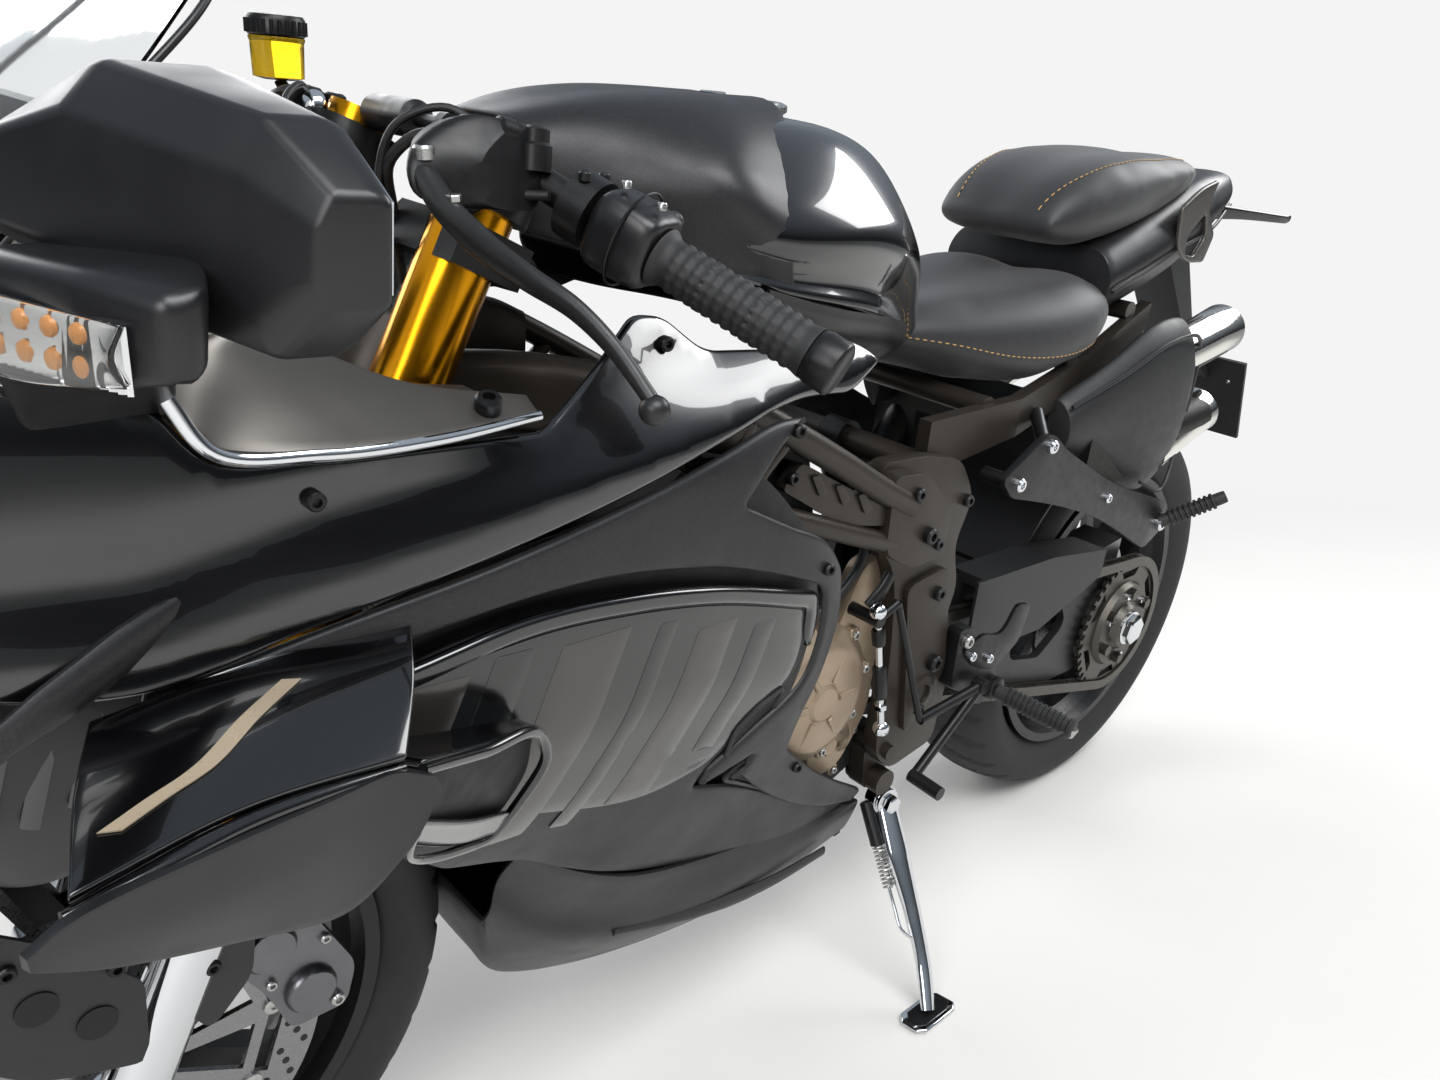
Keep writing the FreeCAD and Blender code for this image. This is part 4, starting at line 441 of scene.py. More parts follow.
# The finish of each solid of the frame, also of those under a finer piece.
NODE_FINISH = {
    "main_frame": FRAME, "subframe": FRAME, "engine_block": ENGINE, "engine_covers": CHAMPAGNE,
    "radiator": FINS, "exhaust_system": MUFFLER, "swingarm": ARM, "drive_chain": DARK_STEEL,
    "rear_shock": BLACK_METAL, "rear_hugger": ABS, "rear_caliper": CALIPER, "fuel_tank": GLOSS,
    "rider_seat": LEATHER, "pillion_seat": LEATHER, "tail_fairing": ABS, "tail_lights": RED_LENS,
    "plate_bracket": ABS, "nose_fairing": GLOSS, "windscreen": CLEAR, "headlights": LENS,
    "cockpit": ABS, "upper_fairings": GLOSS, "side_fairing_left": CHARCOAL,
    "side_fairing_right": CHARCOAL, "belly_pan": CHARCOAL, "winglets": GLOSS, "mirrors": ABS,
    "foot_pegs": BLACK_METAL, "foot_controls": BLACK_METAL, "yokes": BLACK_METAL,
    "fork_upper_tubes": GOLD, "fork_sliders": CHROME, "handlebars": BLACK_METAL, "grips": RUBBER,
    "hand_controls": BLACK_METAL, "front_fender": ABS, "front_calipers": CALIPER,
    "front_rim": RIM_PAINT, "front_tyre": TYRE, "front_discs": DISC, "rear_rim": RIM_PAINT,
    "rear_tyre": TYRE, "rear_disc": DISC, "rear_sprocket": DARK_STEEL, "side_stand": CHROME,
}
for node_name, node_object in frame["nodes"].items():
    if not node_object.material_slots:
        node_object.data.materials.append(NODE_FINISH[node_name])
    for node_slot in node_object.material_slots:
        node_slot.material = NODE_FINISH[node_name]


# Mesh tools


def piece(name, points, faces, material, body="chassis", smooth=True, replaces=(), slot=None,
          soft=None):
    """A mesh from points in the upright motorcycle's millimetres, riding on a body.

    soft rounds its edges: a width in mm, then the least angle and the segments."""
    mesh = bpy.data.meshes.new(name)
    mesh.from_pydata([LEAN @ Vector(point) for point in points], [], faces)
    mesh.update()
    shaped = bmesh.new()
    shaped.from_mesh(mesh)
    bmesh.ops.remove_doubles(shaped, verts=shaped.verts, dist=1e-6)
    bmesh.ops.recalc_face_normals(shaped, faces=shaped.faces)
    shaped.to_mesh(mesh)
    shaped.free()
    mesh.materials.append(material)
    made = bpy.data.objects.new(name, mesh)
    bpy.context.scene.collection.objects.link(made)
    if smooth:
        mesh.shade_smooth()
        made.modifiers.new("edges", "EDGE_SPLIT").split_angle = SHARP_EDGE
    if soft:
        softened(made, *soft)
    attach(made, body)
    for node in replaces:
        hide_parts(node)
    return made


def cubic(u, width, low, low_slope, high, high_slope):
    """A curve through two values with their slopes, at shares u of the width between them."""
    return ((2 * u**3 - 3 * u**2 + 1) * low + (u**3 - 2 * u**2 + u) * width * low_slope
            + (3 * u**2 - 2 * u**3) * high + (u**3 - u**2) * width * high_slope)


def smooth_values(knots, values, at):
    """Smooth curve through a table: values at rising knots, read at a list of places."""
    knots = np.asarray(knots, float)
    values = np.asarray(values, float)
    at = np.clip(at, knots[0], knots[-1])
    span = np.clip(np.searchsorted(knots, at) - 1, 0, len(knots) - 2)
    slopes = np.gradient(values, knots, axis=0)
    width = knots[span + 1] - knots[span]
    u = (at - knots[span]) / width
    if values.ndim > 1:
        u, width = u[:, None], width[:, None]
    return cubic(u, width, values[span], slopes[span], values[span + 1], slopes[span + 1])


def smooth_run(points, step=6.0):
    """Points along a smooth open curve through the given ones."""
    points = np.asarray(points, float)
    if len(points) < 2:
        return points
    length = np.concatenate([[0], np.cumsum(np.linalg.norm(np.diff(points, axis=0), axis=1))])
    count = max(2, int(length[-1] / step) + 1)
    if len(points) == 2:
        return points[0] + (points[1] - points[0]) * np.linspace(0, 1, count)[:, None]
    return smooth_values(length, points, np.linspace(0, length[-1], count))


def outline(rows, step=6.0):
    """A closed outline from rows of x, z and corner radius, where a radius of 0 runs smoothly."""
    corners = [i for i, row in enumerate(rows) if row[2] > 0]
    if not corners:
        rows = [(rows[0][0], rows[0][1], 0.01)] + list(rows[1:])
        corners = [0]
    runs = []
    for here, after in zip(corners, corners[1:] + [corners[0] + len(rows)]):
        run = [rows[i % len(rows)][:2] for i in range(here, after + 1)]
        runs.append(smooth_run(run, step))
    closed = []
    for number, run in enumerate(runs):
        corner = run[0]
        radius = rows[corners[number]][2]
        before = runs[number - 1]
        start = cut_from(before[::-1], radius)[0]
        trimmed = cut_from(run, radius)
        for t in np.linspace(0, 1, 6)[:-1]:
            closed.append((1 - t)**2 * start + 2 * t * (1 - t) * corner + t**2 * trimmed[0])
        end_radius = rows[corners[(number + 1) % len(corners)]][2]
        kept = cut_from(trimmed[::-1], end_radius)[::-1]
        closed += list(kept[:-1])
    closed = np.array(closed)
    keep = np.linalg.norm(closed - np.roll(closed, 1, axis=0), axis=1) > 0.05
    closed = closed[keep]
    if area(closed) < 0:
        closed = closed[::-1]
    return closed


def cut_from(run, length):
    """A run of points without its first stretch of a length."""
    run = np.asarray(run)
    gone = 0.0
    for number in range(len(run) - 1):
        gap = np.linalg.norm(run[number + 1] - run[number])
        if gone + gap > length:
            first = run[number] + (run[number + 1] - run[number]) * (length - gone) / gap
            return np.vstack([first[None], run[number + 1:]])
        gone += gap
    return run[-2:]


def area(closed):
    """Signed area of a closed outline, above zero where it runs anticlockwise."""
    x, z = closed[:, 0], closed[:, 1]
    return 0.5 * np.sum(x * np.roll(z, -1) - z * np.roll(x, -1))


def inset(closed, distance):
    """A closed outline moved inwards by a distance."""
    ahead = np.roll(closed, -1, axis=0) - closed
    behind = closed - np.roll(closed, 1, axis=0)
    ahead /= np.linalg.norm(ahead, axis=1)[:, None]
    behind /= np.linalg.norm(behind, axis=1)[:, None]
    way = ahead + behind
    way /= np.maximum(np.linalg.norm(way, axis=1), 1e-6)[:, None]
    return closed + np.column_stack([-way[:, 1], way[:, 0]]) * distance


def inside(closed, points):
    """True for each point within a closed outline."""
    result = np.zeros(len(points), bool)
    for (xa, za), (xb, zb) in zip(closed, np.roll(closed, -1, axis=0)):
        if za == zb:
            continue
        crosses = (za > points[:, 1]) != (zb > points[:, 1])
        meet = (xb - xa) * (points[:, 1] - za) / (zb - za) + xa
        result ^= crosses & (points[:, 0] < meet)
    return result


def filled(edges, grid):
    """Points and triangles that fill outlines: the first is the outer one, the rest are holes."""
    everything = np.vstack(edges)
    low, high = everything.min(axis=0), everything.max(axis=0)
    xs, zs = np.meshgrid(np.arange(low[0], high[0], grid), np.arange(low[1], high[1], grid * 0.87))
    xs[::2] += grid / 2
    middle = np.column_stack([xs.ravel(), zs.ravel()])
    middle = middle[inside(inset(edges[0], grid * 0.55), middle)]
    for hole in edges[1:]:
        middle = middle[~inside(inset(hole[::-1], grid * 0.55), middle)]
    points, loops = [], []
    for edge in edges:
        loops.append(list(range(len(points), len(points) + len(edge))))
        points += [Vector(p) for p in edge]
    points += [Vector(p) for p in middle]
    lines = [(a, b) for loop in loops for a, b in zip(loop, loop[1:] + loop[:1])]
    found = geometry.delaunay_2d_cdt(points, lines, loops, 2, 1e-4)
    return np.array([tuple(p) for p in found[0]]), [tuple(f) for f in found[2]]


# Form of the fairing


FORM_HEIGHTS = (250, 340, 440, 540, 640, 720, 800, 860, 900)
# Half widths of the form: rows are stations along X, columns are the heights above.
FORM_STATIONS = {
    -90: (150, 158, 166, 172, 178, 182, 182, 165, 150),
    40: (166, 182, 192, 200, 206, 212, 205, 185, 165),
    160: (168, 190, 214, 240, 250, 248, 228, 195, 176),
    280: (158, 186, 224, 250, 262, 262, 246, 206, 184),
    400: (128, 172, 210, 252, 268, 268, 258, 230, 200),
    520: (110, 150, 192, 248, 270, 270, 262, 250, 226),
    620: (100, 130, 165, 228, 262, 264, 258, 244, 228),
    720: (90, 110, 140, 190, 235, 250, 242, 230, 216),
    810: (80, 100, 125, 165, 200, 214, 212, 200, 190),
}


def form_width(x, z):
    """Half width of the fairing's form at side view points."""
    x, z = np.atleast_1d(x).astype(float), np.atleast_1d(z).astype(float)
    stations = sorted(FORM_STATIONS)
    columns = np.array([smooth_values(FORM_HEIGHTS, FORM_STATIONS[s], z) for s in stations])
    x = np.clip(x, stations[0], stations[-1])
    knots = np.array(stations, float)
    span = np.clip(np.searchsorted(knots, x) - 1, 0, len(knots) - 2)
    slopes = np.gradient(columns, knots, axis=0)
    width = knots[span + 1] - knots[span]
    u = (x - knots[span]) / width
    index = np.arange(len(x))
    return cubic(u, width, columns[span, index], slopes[span, index], columns[span + 1, index],
                 slopes[span + 1, index])


def on_form(flat, lift):
    """Side view points set on the form, lifted off it along its normal."""
    x, z = flat[:, 0], flat[:, 1]
    y = form_width(x, z)
    slope_x = (form_width(x + 1, z) - form_width(x - 1, z)) / 2
    slope_z = (form_width(x, z + 1) - form_width(x, z - 1)) / 2
    normal = np.column_stack([-slope_x, np.ones_like(x), -slope_z])
    normal /= np.linalg.norm(normal, axis=1)[:, None]
    lift = np.broadcast_to(lift, x.shape)[:, None]
    return np.column_stack([x, y, z]) + normal * lift


def ring_faces(rows, around, start=0, endless=False):
    """Faces over rows of closed rings; an endless run joins its last row to the first."""
    faces = []
    for row in range(rows if endless else rows - 1):
        here = start + row * around
        there = start + (row + 1) % rows * around
        for i in range(around):
            j = (i + 1) % around
            faces.append((here + i, here + j, there + j, there + i))
    return faces


def skin(edges, lift=0.0, wall=3.0, roll=3.0, grid=9.0, surface=on_form, shape=None):
    """Points and faces of a moulded panel on the form, with its edges rolled over.

    shape(flat) gives a further lift at side view points."""
    def lifted(flat, drop):
        """Side view points on the panel's outside, or a drop below it."""
        extra = shape(flat) if shape else 0.0
        return surface(flat, lift + extra - drop)

    points, faces = [], []
    inner_edges = []
    for number, edge in enumerate(edges):
        outward = edge if number == 0 else edge[::-1]
        rings = [(0.0, wall), (0.0, roll)]
        rings += [(roll * (1 - math.cos(t)), roll * (1 - math.sin(t)))
                  for t in (math.radians(30), math.radians(60), math.radians(90))]
        faces += ring_faces(len(rings), len(outward), len(points))
        for reach, drop in rings:
            points += list(lifted(inset(outward, reach), drop))
        inner = inset(outward, roll)
        inner_edges.append(inner if number == 0 else inner[::-1])
    flat, triangles = filled(inner_edges, grid)
    start = len(points)
    points += list(lifted(flat, 0.0))
    faces += [tuple(start + i for i in face) for face in triangles]
    flat, triangles = filled(list(edges), grid * 1.6)
    start = len(points)
    points += list(lifted(flat, wall))
    faces += [tuple(start + i for i in face[::-1]) for face in triangles]
    return [tuple(p) for p in points], faces


def both_sides(points, faces):
    """A left-hand mesh together with its mirror image on the right."""
    count = len(points)
    other = [(x, -y, z) for x, y, z in points]
    return list(points) + other, faces + [tuple(count + i for i in face[::-1]) for face in faces]


def joined(*meshes):
    """Several meshes of points and faces as one."""
    points, faces = [], []
    for more_points, more_faces in meshes:
        start = len(points)
        points += [tuple(point) for point in more_points]
        faces += [tuple(start + i for i in face) for face in more_faces]
    return points, faces


def ring_run(points, count):
    """Even points round a smooth closed curve through the given ones."""
    points = np.asarray(points, float)
    wrapped = np.vstack([points[-2:], points, points[:3]])
    knots = np.arange(-2, len(points) + 3)
    return smooth_values(knots, wrapped, np.linspace(0, len(points), count, endpoint=False))


def closed_rings(grid, flat_ends=False):
    """Faces over rows of closed rings, with a fan or one flat face at each end."""
    rows, around = grid.shape[:2]
    points = [tuple(p) for p in grid.reshape(-1, 3)]
    faces = ring_faces(rows, around)
    if flat_ends:
        faces.append(tuple(range(around))[::-1])
        faces.append(tuple((rows - 1) * around + i for i in range(around)))
    else:
        for row, order in ((0, -1), (rows - 1, 1)):
            middle = len(points)
            points.append(tuple(grid[row].mean(axis=0)))
            for i in range(around):
                pair = (row * around + i, row * around + (i + 1) % around)[::order]
                faces.append((middle,) + pair)
    return points, faces


def refined(grid, steps):
    """A grid of points made finer along its first direction by smooth curves."""
    count = len(grid)
    places = np.linspace(0, count - 1, (count - 1) * steps + 1)
    fine = smooth_values(np.arange(count), grid.reshape(count, -1), places)
    return fine.reshape(len(places), -1, 3)


def lofted(sections, around=48, along=6):
    """A smooth closed skin through closed sections of equally many points."""
    rings = np.array([ring_run(section, around) for section in sections])
    return closed_rings(refined(rings, along))


def curved_sheet(rows, wall, along=8, across=8):
    """A thin sheet through a grid of points, with closed edges."""
    fine = refined(np.array(rows, float), along).transpose(1, 0, 2)
    fine = refined(fine, across).transpose(1, 0, 2)
    normal = np.cross(np.gradient(fine, axis=0), np.gradient(fine, axis=1))
    normal /= np.linalg.norm(normal, axis=2)[:, :, None]
    back = fine - normal * wall
    rows_count, columns = fine.shape[:2]
    points = [tuple(p) for p in fine.reshape(-1, 3)] + [tuple(p) for p in back.reshape(-1, 3)]
    layer = rows_count * columns
    faces = []
    for i in range(rows_count - 1):
        for j in range(columns - 1):
            a = i * columns + j
            face = (a, a + 1, a + columns + 1, a + columns)
            faces += [face, tuple(layer + v for v in face[::-1])]
    rim = list(range(columns))
    rim += [i * columns + columns - 1 for i in range(1, rows_count)]
    rim += [(rows_count - 1) * columns + j for j in range(columns - 2, -1, -1)]
    rim += [i * columns for i in range(rows_count - 2, 0, -1)]
    for a, b in zip(rim, rim[1:] + rim[:1]):
        faces.append((b, a, a + layer, b + layer))
    return points, faces


def turned(profile, start, way, count=32):
    """A round part: its profile is distance along the axis and radius."""
    way = Vector(way).normalized()
    side = way.orthogonal().normalized()
    other = way.cross(side)
    turns = np.linspace(0, 2 * math.pi, count, endpoint=False)
    ring = np.outer(np.cos(turns), side) + np.outer(np.sin(turns), other)
    grid = np.array([np.array(start) + np.array(way) * along + ring * radius
                     for along, radius in profile])
    return closed_rings(grid)


def ball(radius, place, way, count, wide=None):
    """A round knob, or a squat one where its half width differs."""
    turns = np.linspace(0, math.pi, 12)
    profile = [(-radius * math.cos(a), (wide or radius) * math.sin(a) + 0.01) for a in turns]
    return turned(profile, place, way, count)


def swept(path, sizes, count=14, step=5.0):
    """A bar along a smooth path: sizes are its half width and half height along the way."""
    path = np.asarray(path, float)
    fine = smooth_run(path, step)
    sizes = np.asarray(sizes, float)
    if sizes.ndim == 0:
        sizes = np.tile(sizes, (2, 2))
    share = np.linspace(0, len(sizes) - 1, len(fine))
    spread = np.column_stack([np.interp(share, np.arange(len(sizes)), sizes[:, i]) for i in (0, 1)])
    ways = np.gradient(fine, axis=0)
    turns = np.linspace(0, 2 * math.pi, count, endpoint=False)
    rings = []
    side = None
    for centre, way, (wide, high) in zip(fine, ways, spread):
        way = Vector(way).normalized()
        if side is None:
            side = way.cross(Vector((0, 0, 1)))
            side = side.normalized() if side.length > 0.05 else way.orthogonal().normalized()
        side = (side - way * side.dot(way)).normalized()
        up = side.cross(way)
        rings.append([np.array(centre) + np.array(side) * wide * math.cos(t)
                      + np.array(up) * high * math.sin(t) for t in turns])
    return closed_rings(np.array(rings))


def slab(closed, y_from, y_to):
    """A side view outline as a plate between two distances from the middle."""
    wider_than_a_plate = 400.0
    flat, faces = filled([closed], wider_than_a_plate)
    points = [(x, y_from, z) for x, z in flat] + [(x, y_to, z) for x, z in flat]
    count, rim = len(flat), len(closed)
    sides = [(i, (i + 1) % rim, (i + 1) % rim + count, i + count) for i in range(rim)]
    return points, [f[::-1] for f in faces] + [tuple(count + i for i in f) for f in faces] + sides


def plate(rows, y_from, y_to):
    """A flat plate from its side view outline, between two distances from the middle."""
    return slab(outline(rows, 5.0), y_from, y_to)


def bolt(place, way, radius=5.0, count=18):
    """A socket cap screw: chamfered head with a recess."""
    high = radius * 0.9
    return turned([(-2, radius), (high * 0.75, radius), (high, radius * 0.82), (high, radius * 0.5),
                   (high * 0.4, radius * 0.46)], place, way, count)


def hexagon(place, way, radius=8.0, height=6.0):
    """A hexagon nut or head."""
    return turned([(0, radius), (height * 0.85, radius), (height, radius * 0.88)], place, way, 6)


def softened(made, width_mm, angle=32, segments=2):
    """Rounds a piece's sharp edges."""
    bevel = made.modifiers.new("soft_edges", "BEVEL")
    bevel.width = width_mm * MM
    bevel.segments = segments
    bevel.limit_method = "ANGLE"
    bevel.angle_limit = math.radians(angle)
    if "edges" in made.modifiers:
        made.modifiers.move(len(made.modifiers) - 1, 0)
    return made


def places_round(hub, radius, count, first=0.0):
    """Even places in x and z round a hub; first is the angle of the first one."""
    turns = [2 * math.pi * number / count + first for number in range(count)]
    return [(hub[0] + radius * math.cos(turn), hub[2] + radius * math.sin(turn)) for turn in turns]


def polar(hub, rows):
    """Outline rows in x and z from an angle, a distance from the hub and a corner radius."""
    return [(hub.x + r * math.cos(math.radians(a)), hub.z + r * math.sin(math.radians(a)), c)
            for a, r, c in rows]


def found_on(made, run, way, lift):
    """Points of a run laid on a piece, found by looking at it along a direction."""
    tree = BVHTree.FromObject(made, bpy.context.evaluated_depsgraph_get())
    ray = (LEAN.to_3x3() @ Vector(way)).normalized()
    found = []
    for point in smooth_run(run, 2.0):
        hit = tree.ray_cast(LEAN @ Vector(point) - ray * 0.2, ray)
        if hit[0] is not None:
            facing = hit[1] if hit[1].dot(ray) < 0 else -hit[1]
            found.append(LEAN.inverted() @ (hit[0] + facing * lift * MM))
    return found


def handed(name, mesh, material, slot, stands_for=None, **settings):
    """A left piece and its mirror image; the left one stands for the frame's node of the pair."""
    points, faces = mesh
    made = []
    for side, hand in ((1, "left"), (-1, "right")):
        mirrored = [(x, side * y, z) for x, y, z in points]
        made.append(piece(name + "_" + hand, mirrored, faces, material, slot=slot, **settings))
    if stands_for:
        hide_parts(stands_for)
    return made


# Seats, made first because their cloth is simulated before anything else stands there


PAD_GRID_MM = 5
PAD_TRAVEL_MM = 4
CLOTH_FRAMES = 20


def seat_rings(rows, lift):
    """Closed sections of a seat or tail shell, whose crown rises by a lift beside its middle.

    Columns: x, floor half width and height, widest half width and height, top."""
    sections = []
    for x, low_y, low_z, wide_y, wide_z, top in rows:
        half = [(0, top - 1), (wide_y * 0.45, top + lift), (wide_y * 0.8, top - 3),
                (wide_y * 0.97, (top + wide_z) / 2 + 3), (wide_y, wide_z), (low_y, low_z + 2),
                (low_y * 0.5, low_z)]
        ring = [(x, y, z) for y, z in half] + [(x, 0, low_z)] + [(x, -y, z) for y, z in half[:0:-1]]
        sections.append(ring)
    return sections


def puffed(made):
    """Inflates a closed pad as cloth round its foam, and keeps the result as its mesh."""
    remesh = made.modifiers.new("even", "REMESH")
    remesh.mode = "VOXEL"
    remesh.voxel_size = PAD_GRID_MM * MM
    graph = bpy.context.evaluated_depsgraph_get()
    even = bpy.data.meshes.new_from_object(made.evaluated_get(graph))
    made.modifiers.clear()
    made.data = even
    still = np.array([vertex.co[:] for vertex in even.vertices])
    cloth = made.modifiers.new("cover", "CLOTH")
    cloth.settings.use_pressure = True
    cloth.settings.uniform_pressure_force = 4
    cloth.settings.quality = 5
    cloth.settings.effector_weights.gravity = 0
    cloth.point_cache.frame_start = 1
    cloth.point_cache.frame_end = CLOTH_FRAMES
    for step in range(1, CLOTH_FRAMES + 1):
        bpy.context.scene.frame_set(step)
    graph = bpy.context.evaluated_depsgraph_get()
    blown = made.evaluated_get(graph).to_mesh()
    moved = np.array([vertex.co[:] for vertex in blown.vertices]) - still
    made.modifiers.clear()
    bpy.context.scene.frame_set(1)
    length = np.linalg.norm(moved, axis=1)[:, None] + 1e-9
    moved *= np.minimum(length, PAD_TRAVEL_MM * MM) / length
    for vertex, place in zip(even.vertices, still + moved):
        vertex.co = place
    relax = made.modifiers.new("relax", "SMOOTH")
    relax.factor = 0.5
    relax.iterations = 40
    fine = made.modifiers.new("fine", "SUBSURF")
    fine.levels = 1
    fine.render_levels = 1
    made.data.shade_smooth()
    return made


def seat_pad(seat, rows, lift):
    """The padded cover that stands for one of the frame's seats."""
    made = piece(seat + "_pad", *lofted(seat_rings(rows, lift), 64, 6), LEATHER, replaces=(seat,),
                 slot="seat_leather", smooth=False)
    return puffed(made)


def stitched(name, made, run, way):
    """Thread stitches lying on a pad along a run, found by looking at the pad along a direction."""
    found = found_on(made, run, way, 0.5)
    threads = []
    for first in range(0, len(found) - 4, 4):
        threads.append(swept(found[first:first + 3], 0.75, 6, 2.0))
    groove = swept(found, 0.5, 6, 6.0)
    piece(name, *joined(*threads), THREAD, slot="seat_leather")
    piece(name + "_seam", *groove, LEATHER, slot="seat_leather")


def seats():
    """Both padded seats with their rows of tan stitches."""
    rider = [(-100, 46, 772, 66, 792, 812), (-150, 66, 762, 92, 790, 822),
             (-210, 98, 750, 120, 784, 828), (-310, 120, 744, 145, 782, 838),
             (-400, 120, 758, 147, 794, 848), (-462, 100, 782, 126, 808, 846)]
    rider_pad = seat_pad("rider_seat", rider, 3)
    pillion = [(-350, 70, 892, 84, 904, 918), (-398, 84, 888, 100, 918, 954),
               (-470, 92, 896, 110, 936, 979), (-560, 92, 914, 110, 954, 988),
               (-650, 80, 938, 100, 966, 988), (-708, 58, 958, 80, 972, 982)]
    pillion_pad = seat_pad("pillion_seat", pillion, 2)
    side = [(-112, 110, 800), (-177, 120, 792), (-257, 140, 778), (-365, 160, 776),
            (-438, 150, 786)]
    for hand, sign in (("left", 1), ("right", -1)):
        run = [(x, sign * (y + 40), z) for x, y, z in side]
        stitched("rider_seat_stitching_" + hand, rider_pad, run, (0, -sign, 0))
        run = [(x, sign * y, 1060) for x, y in ((-360, 58), (-430, 74), (-520, 82), (-620, 78),
                                                (-700, 58))]
        stitched("pillion_seat_stitching_" + hand, pillion_pad, run, (0, 0, -1))
    over = [(-452, y, 900) for y in (-118, -80, -40, 0, 40, 80, 118)]
    stitched("rider_seat_back_stitching", rider_pad, over, (0, 0, -1))


seats()


# Fairings


# Outlines of the left side in side view. Columns: x, z, corner radius, where 0 runs smoothly.
UPPER_EDGE = [
    (798, 742, 6), (692, 725, 0), (605, 743, 0), (493, 761, 0), (383, 781, 0), (300, 797, 0),
    (197, 811, 0), (130, 806, 14), (84, 824, 10), (110, 840, 0), (202, 846, 0), (285, 854, 12),
    (324, 879, 10), (352, 883, 10), (398, 859, 0), (452, 828, 8), (532, 831, 0), (600, 834, 0),
    (648, 841, 0), (666, 866, 10), (738, 886, 8), (800, 872, 6),
]
ARCH_EDGE = [
    (700, 690, 5), (690, 720, 6), (602, 738, 0), (488, 754, 0), (377, 773, 0), (296, 789, 0),
    (230, 800, 0), (192, 798, 12), (233, 781, 0), (279, 747, 6), (222, 718, 0), (174, 694, 0),
    (138, 658, 14), (124, 600, 0), (134, 553, 0), (150, 508, 0), (149, 462, 12), (60, 384, 0),
    (-60, 296, 10), (-40, 288, 6), (75, 347, 0), (150, 402, 0), (214, 462, 8), (205, 487, 8),
    (266, 470, 5), (262, 488, 4), (216, 521, 0), (166, 560, 0), (157, 610, 0), (165, 650, 16),
    (225, 676, 0), (316, 705, 0), (410, 722, 0), (509, 722, 0), (600, 706, 0), (660, 672, 6),
]
LOWER_EDGE = [
    (640, 640, 10), (610, 672, 10), (545, 698, 0), (468, 706, 0), (382, 699, 0), (300, 683, 0),
    (235, 663, 0), (172, 642, 14), (166, 604, 0), (184, 556, 0), (218, 527, 0), (262, 492, 6),
    (272, 470, 6), (222, 446, 0), (150, 402, 0), (75, 347, 0), (-40, 288, 6), (-62, 268, 8),
    (8, 280, 0), (100, 299, 0), (215, 335, 0), (300, 368, 0), (389, 421, 0), (430, 452, 0),
    (507, 488, 10), (560, 545, 0),
]
# Gloss band along the top of the lower panel, and the film below it with its tonal bands.
BAND_EDGE = [
    (560, 697, 4), (468, 709, 0), (382, 702, 0), (300, 686, 0), (235, 666, 0), (166, 643, 8),
    (160, 600, 0), (166, 586, 4), (174, 600, 0), (178, 630, 8), (238, 652, 0), (302, 672, 0),
    (384, 688, 0), (468, 695, 0), (558, 682, 4),
]
FILM_EDGE = [
    (600, 660, 8), (558, 680, 0), (468, 693, 0), (384, 686, 0), (302, 670, 0), (238, 650, 0),
    (182, 630, 8), (178, 604, 0), (192, 564, 0), (222, 536, 0), (268, 500, 10), (330, 492, 0),
    (470, 540, 0), (590, 590, 20),
]
# Columns: x where a band meets the top, its width, how far down it runs.
BANDS = [(220, 26, 110), (268, 44, 150), (334, 18, 170), (380, 60, 165), (462, 30, 140),
         (510, 52, 110)]
UPPER_VENT = [(244, 497, 3), (242, 526, 5), (221, 546, 5), (193, 556, 4), (196, 521, 5),
              (222, 513, 4)]
LOWER_VENT = [(233, 463, 4), (217, 476, 5), (163, 454, 0), (84, 384, 0), (18, 332, 3),
              (75, 350, 0), (150, 405, 0), (212, 449, 5)]
RECESS_EDGE = [
    (668, 640, 6), (660, 700, 8), (560, 735, 0), (400, 758, 0), (260, 785, 20), (190, 720, 0),
    (130, 650, 20), (120, 560, 0), (140, 470, 20), (60, 380, 0), (-30, 300, 8), (60, 310, 0),
    (215, 400, 0), (420, 520, 0), (560, 560, 10),
]


def shoulder(flat):
    """The upper panel stands proud along its lower edge and dips behind that roll."""
    x, z = flat[:, 0], flat[:, 1]
    edge = np.interp(x, (197, 383, 493, 605, 692), (811, 781, 761, 743, 725))
    above = z - edge
    return 5.0 * np.exp(-((above - 14) / 20.0)**2) - 3.0 * np.exp(-((above - 62) / 16.0)**2)


def arch_fold(flat):
    """The arch turns inwards below its ridge, more towards the front."""
    x, z = flat[:, 0], flat[:, 1]
    ridge = np.interp(x, (120, 174, 300, 410, 509, 620, 700),
                      (640, 690, 742, 750, 746, 728, 712))
    strength = np.clip((x - 170) / 110, 0, 1)
    below = np.clip(ridge - z, 0, 45)
    return 4.0 - 9.0 * strength * (below / 45)**2


def dished(flat):
    """The lower panel is pressed in a little under its gloss band."""
    x, z = flat[:, 0], flat[:, 1]
    crease = np.interp(x, (160, 300, 470, 640), (560, 600, 610, 560))
    return 3.5 * np.exp(-((z - crease) / 34.0)**2)


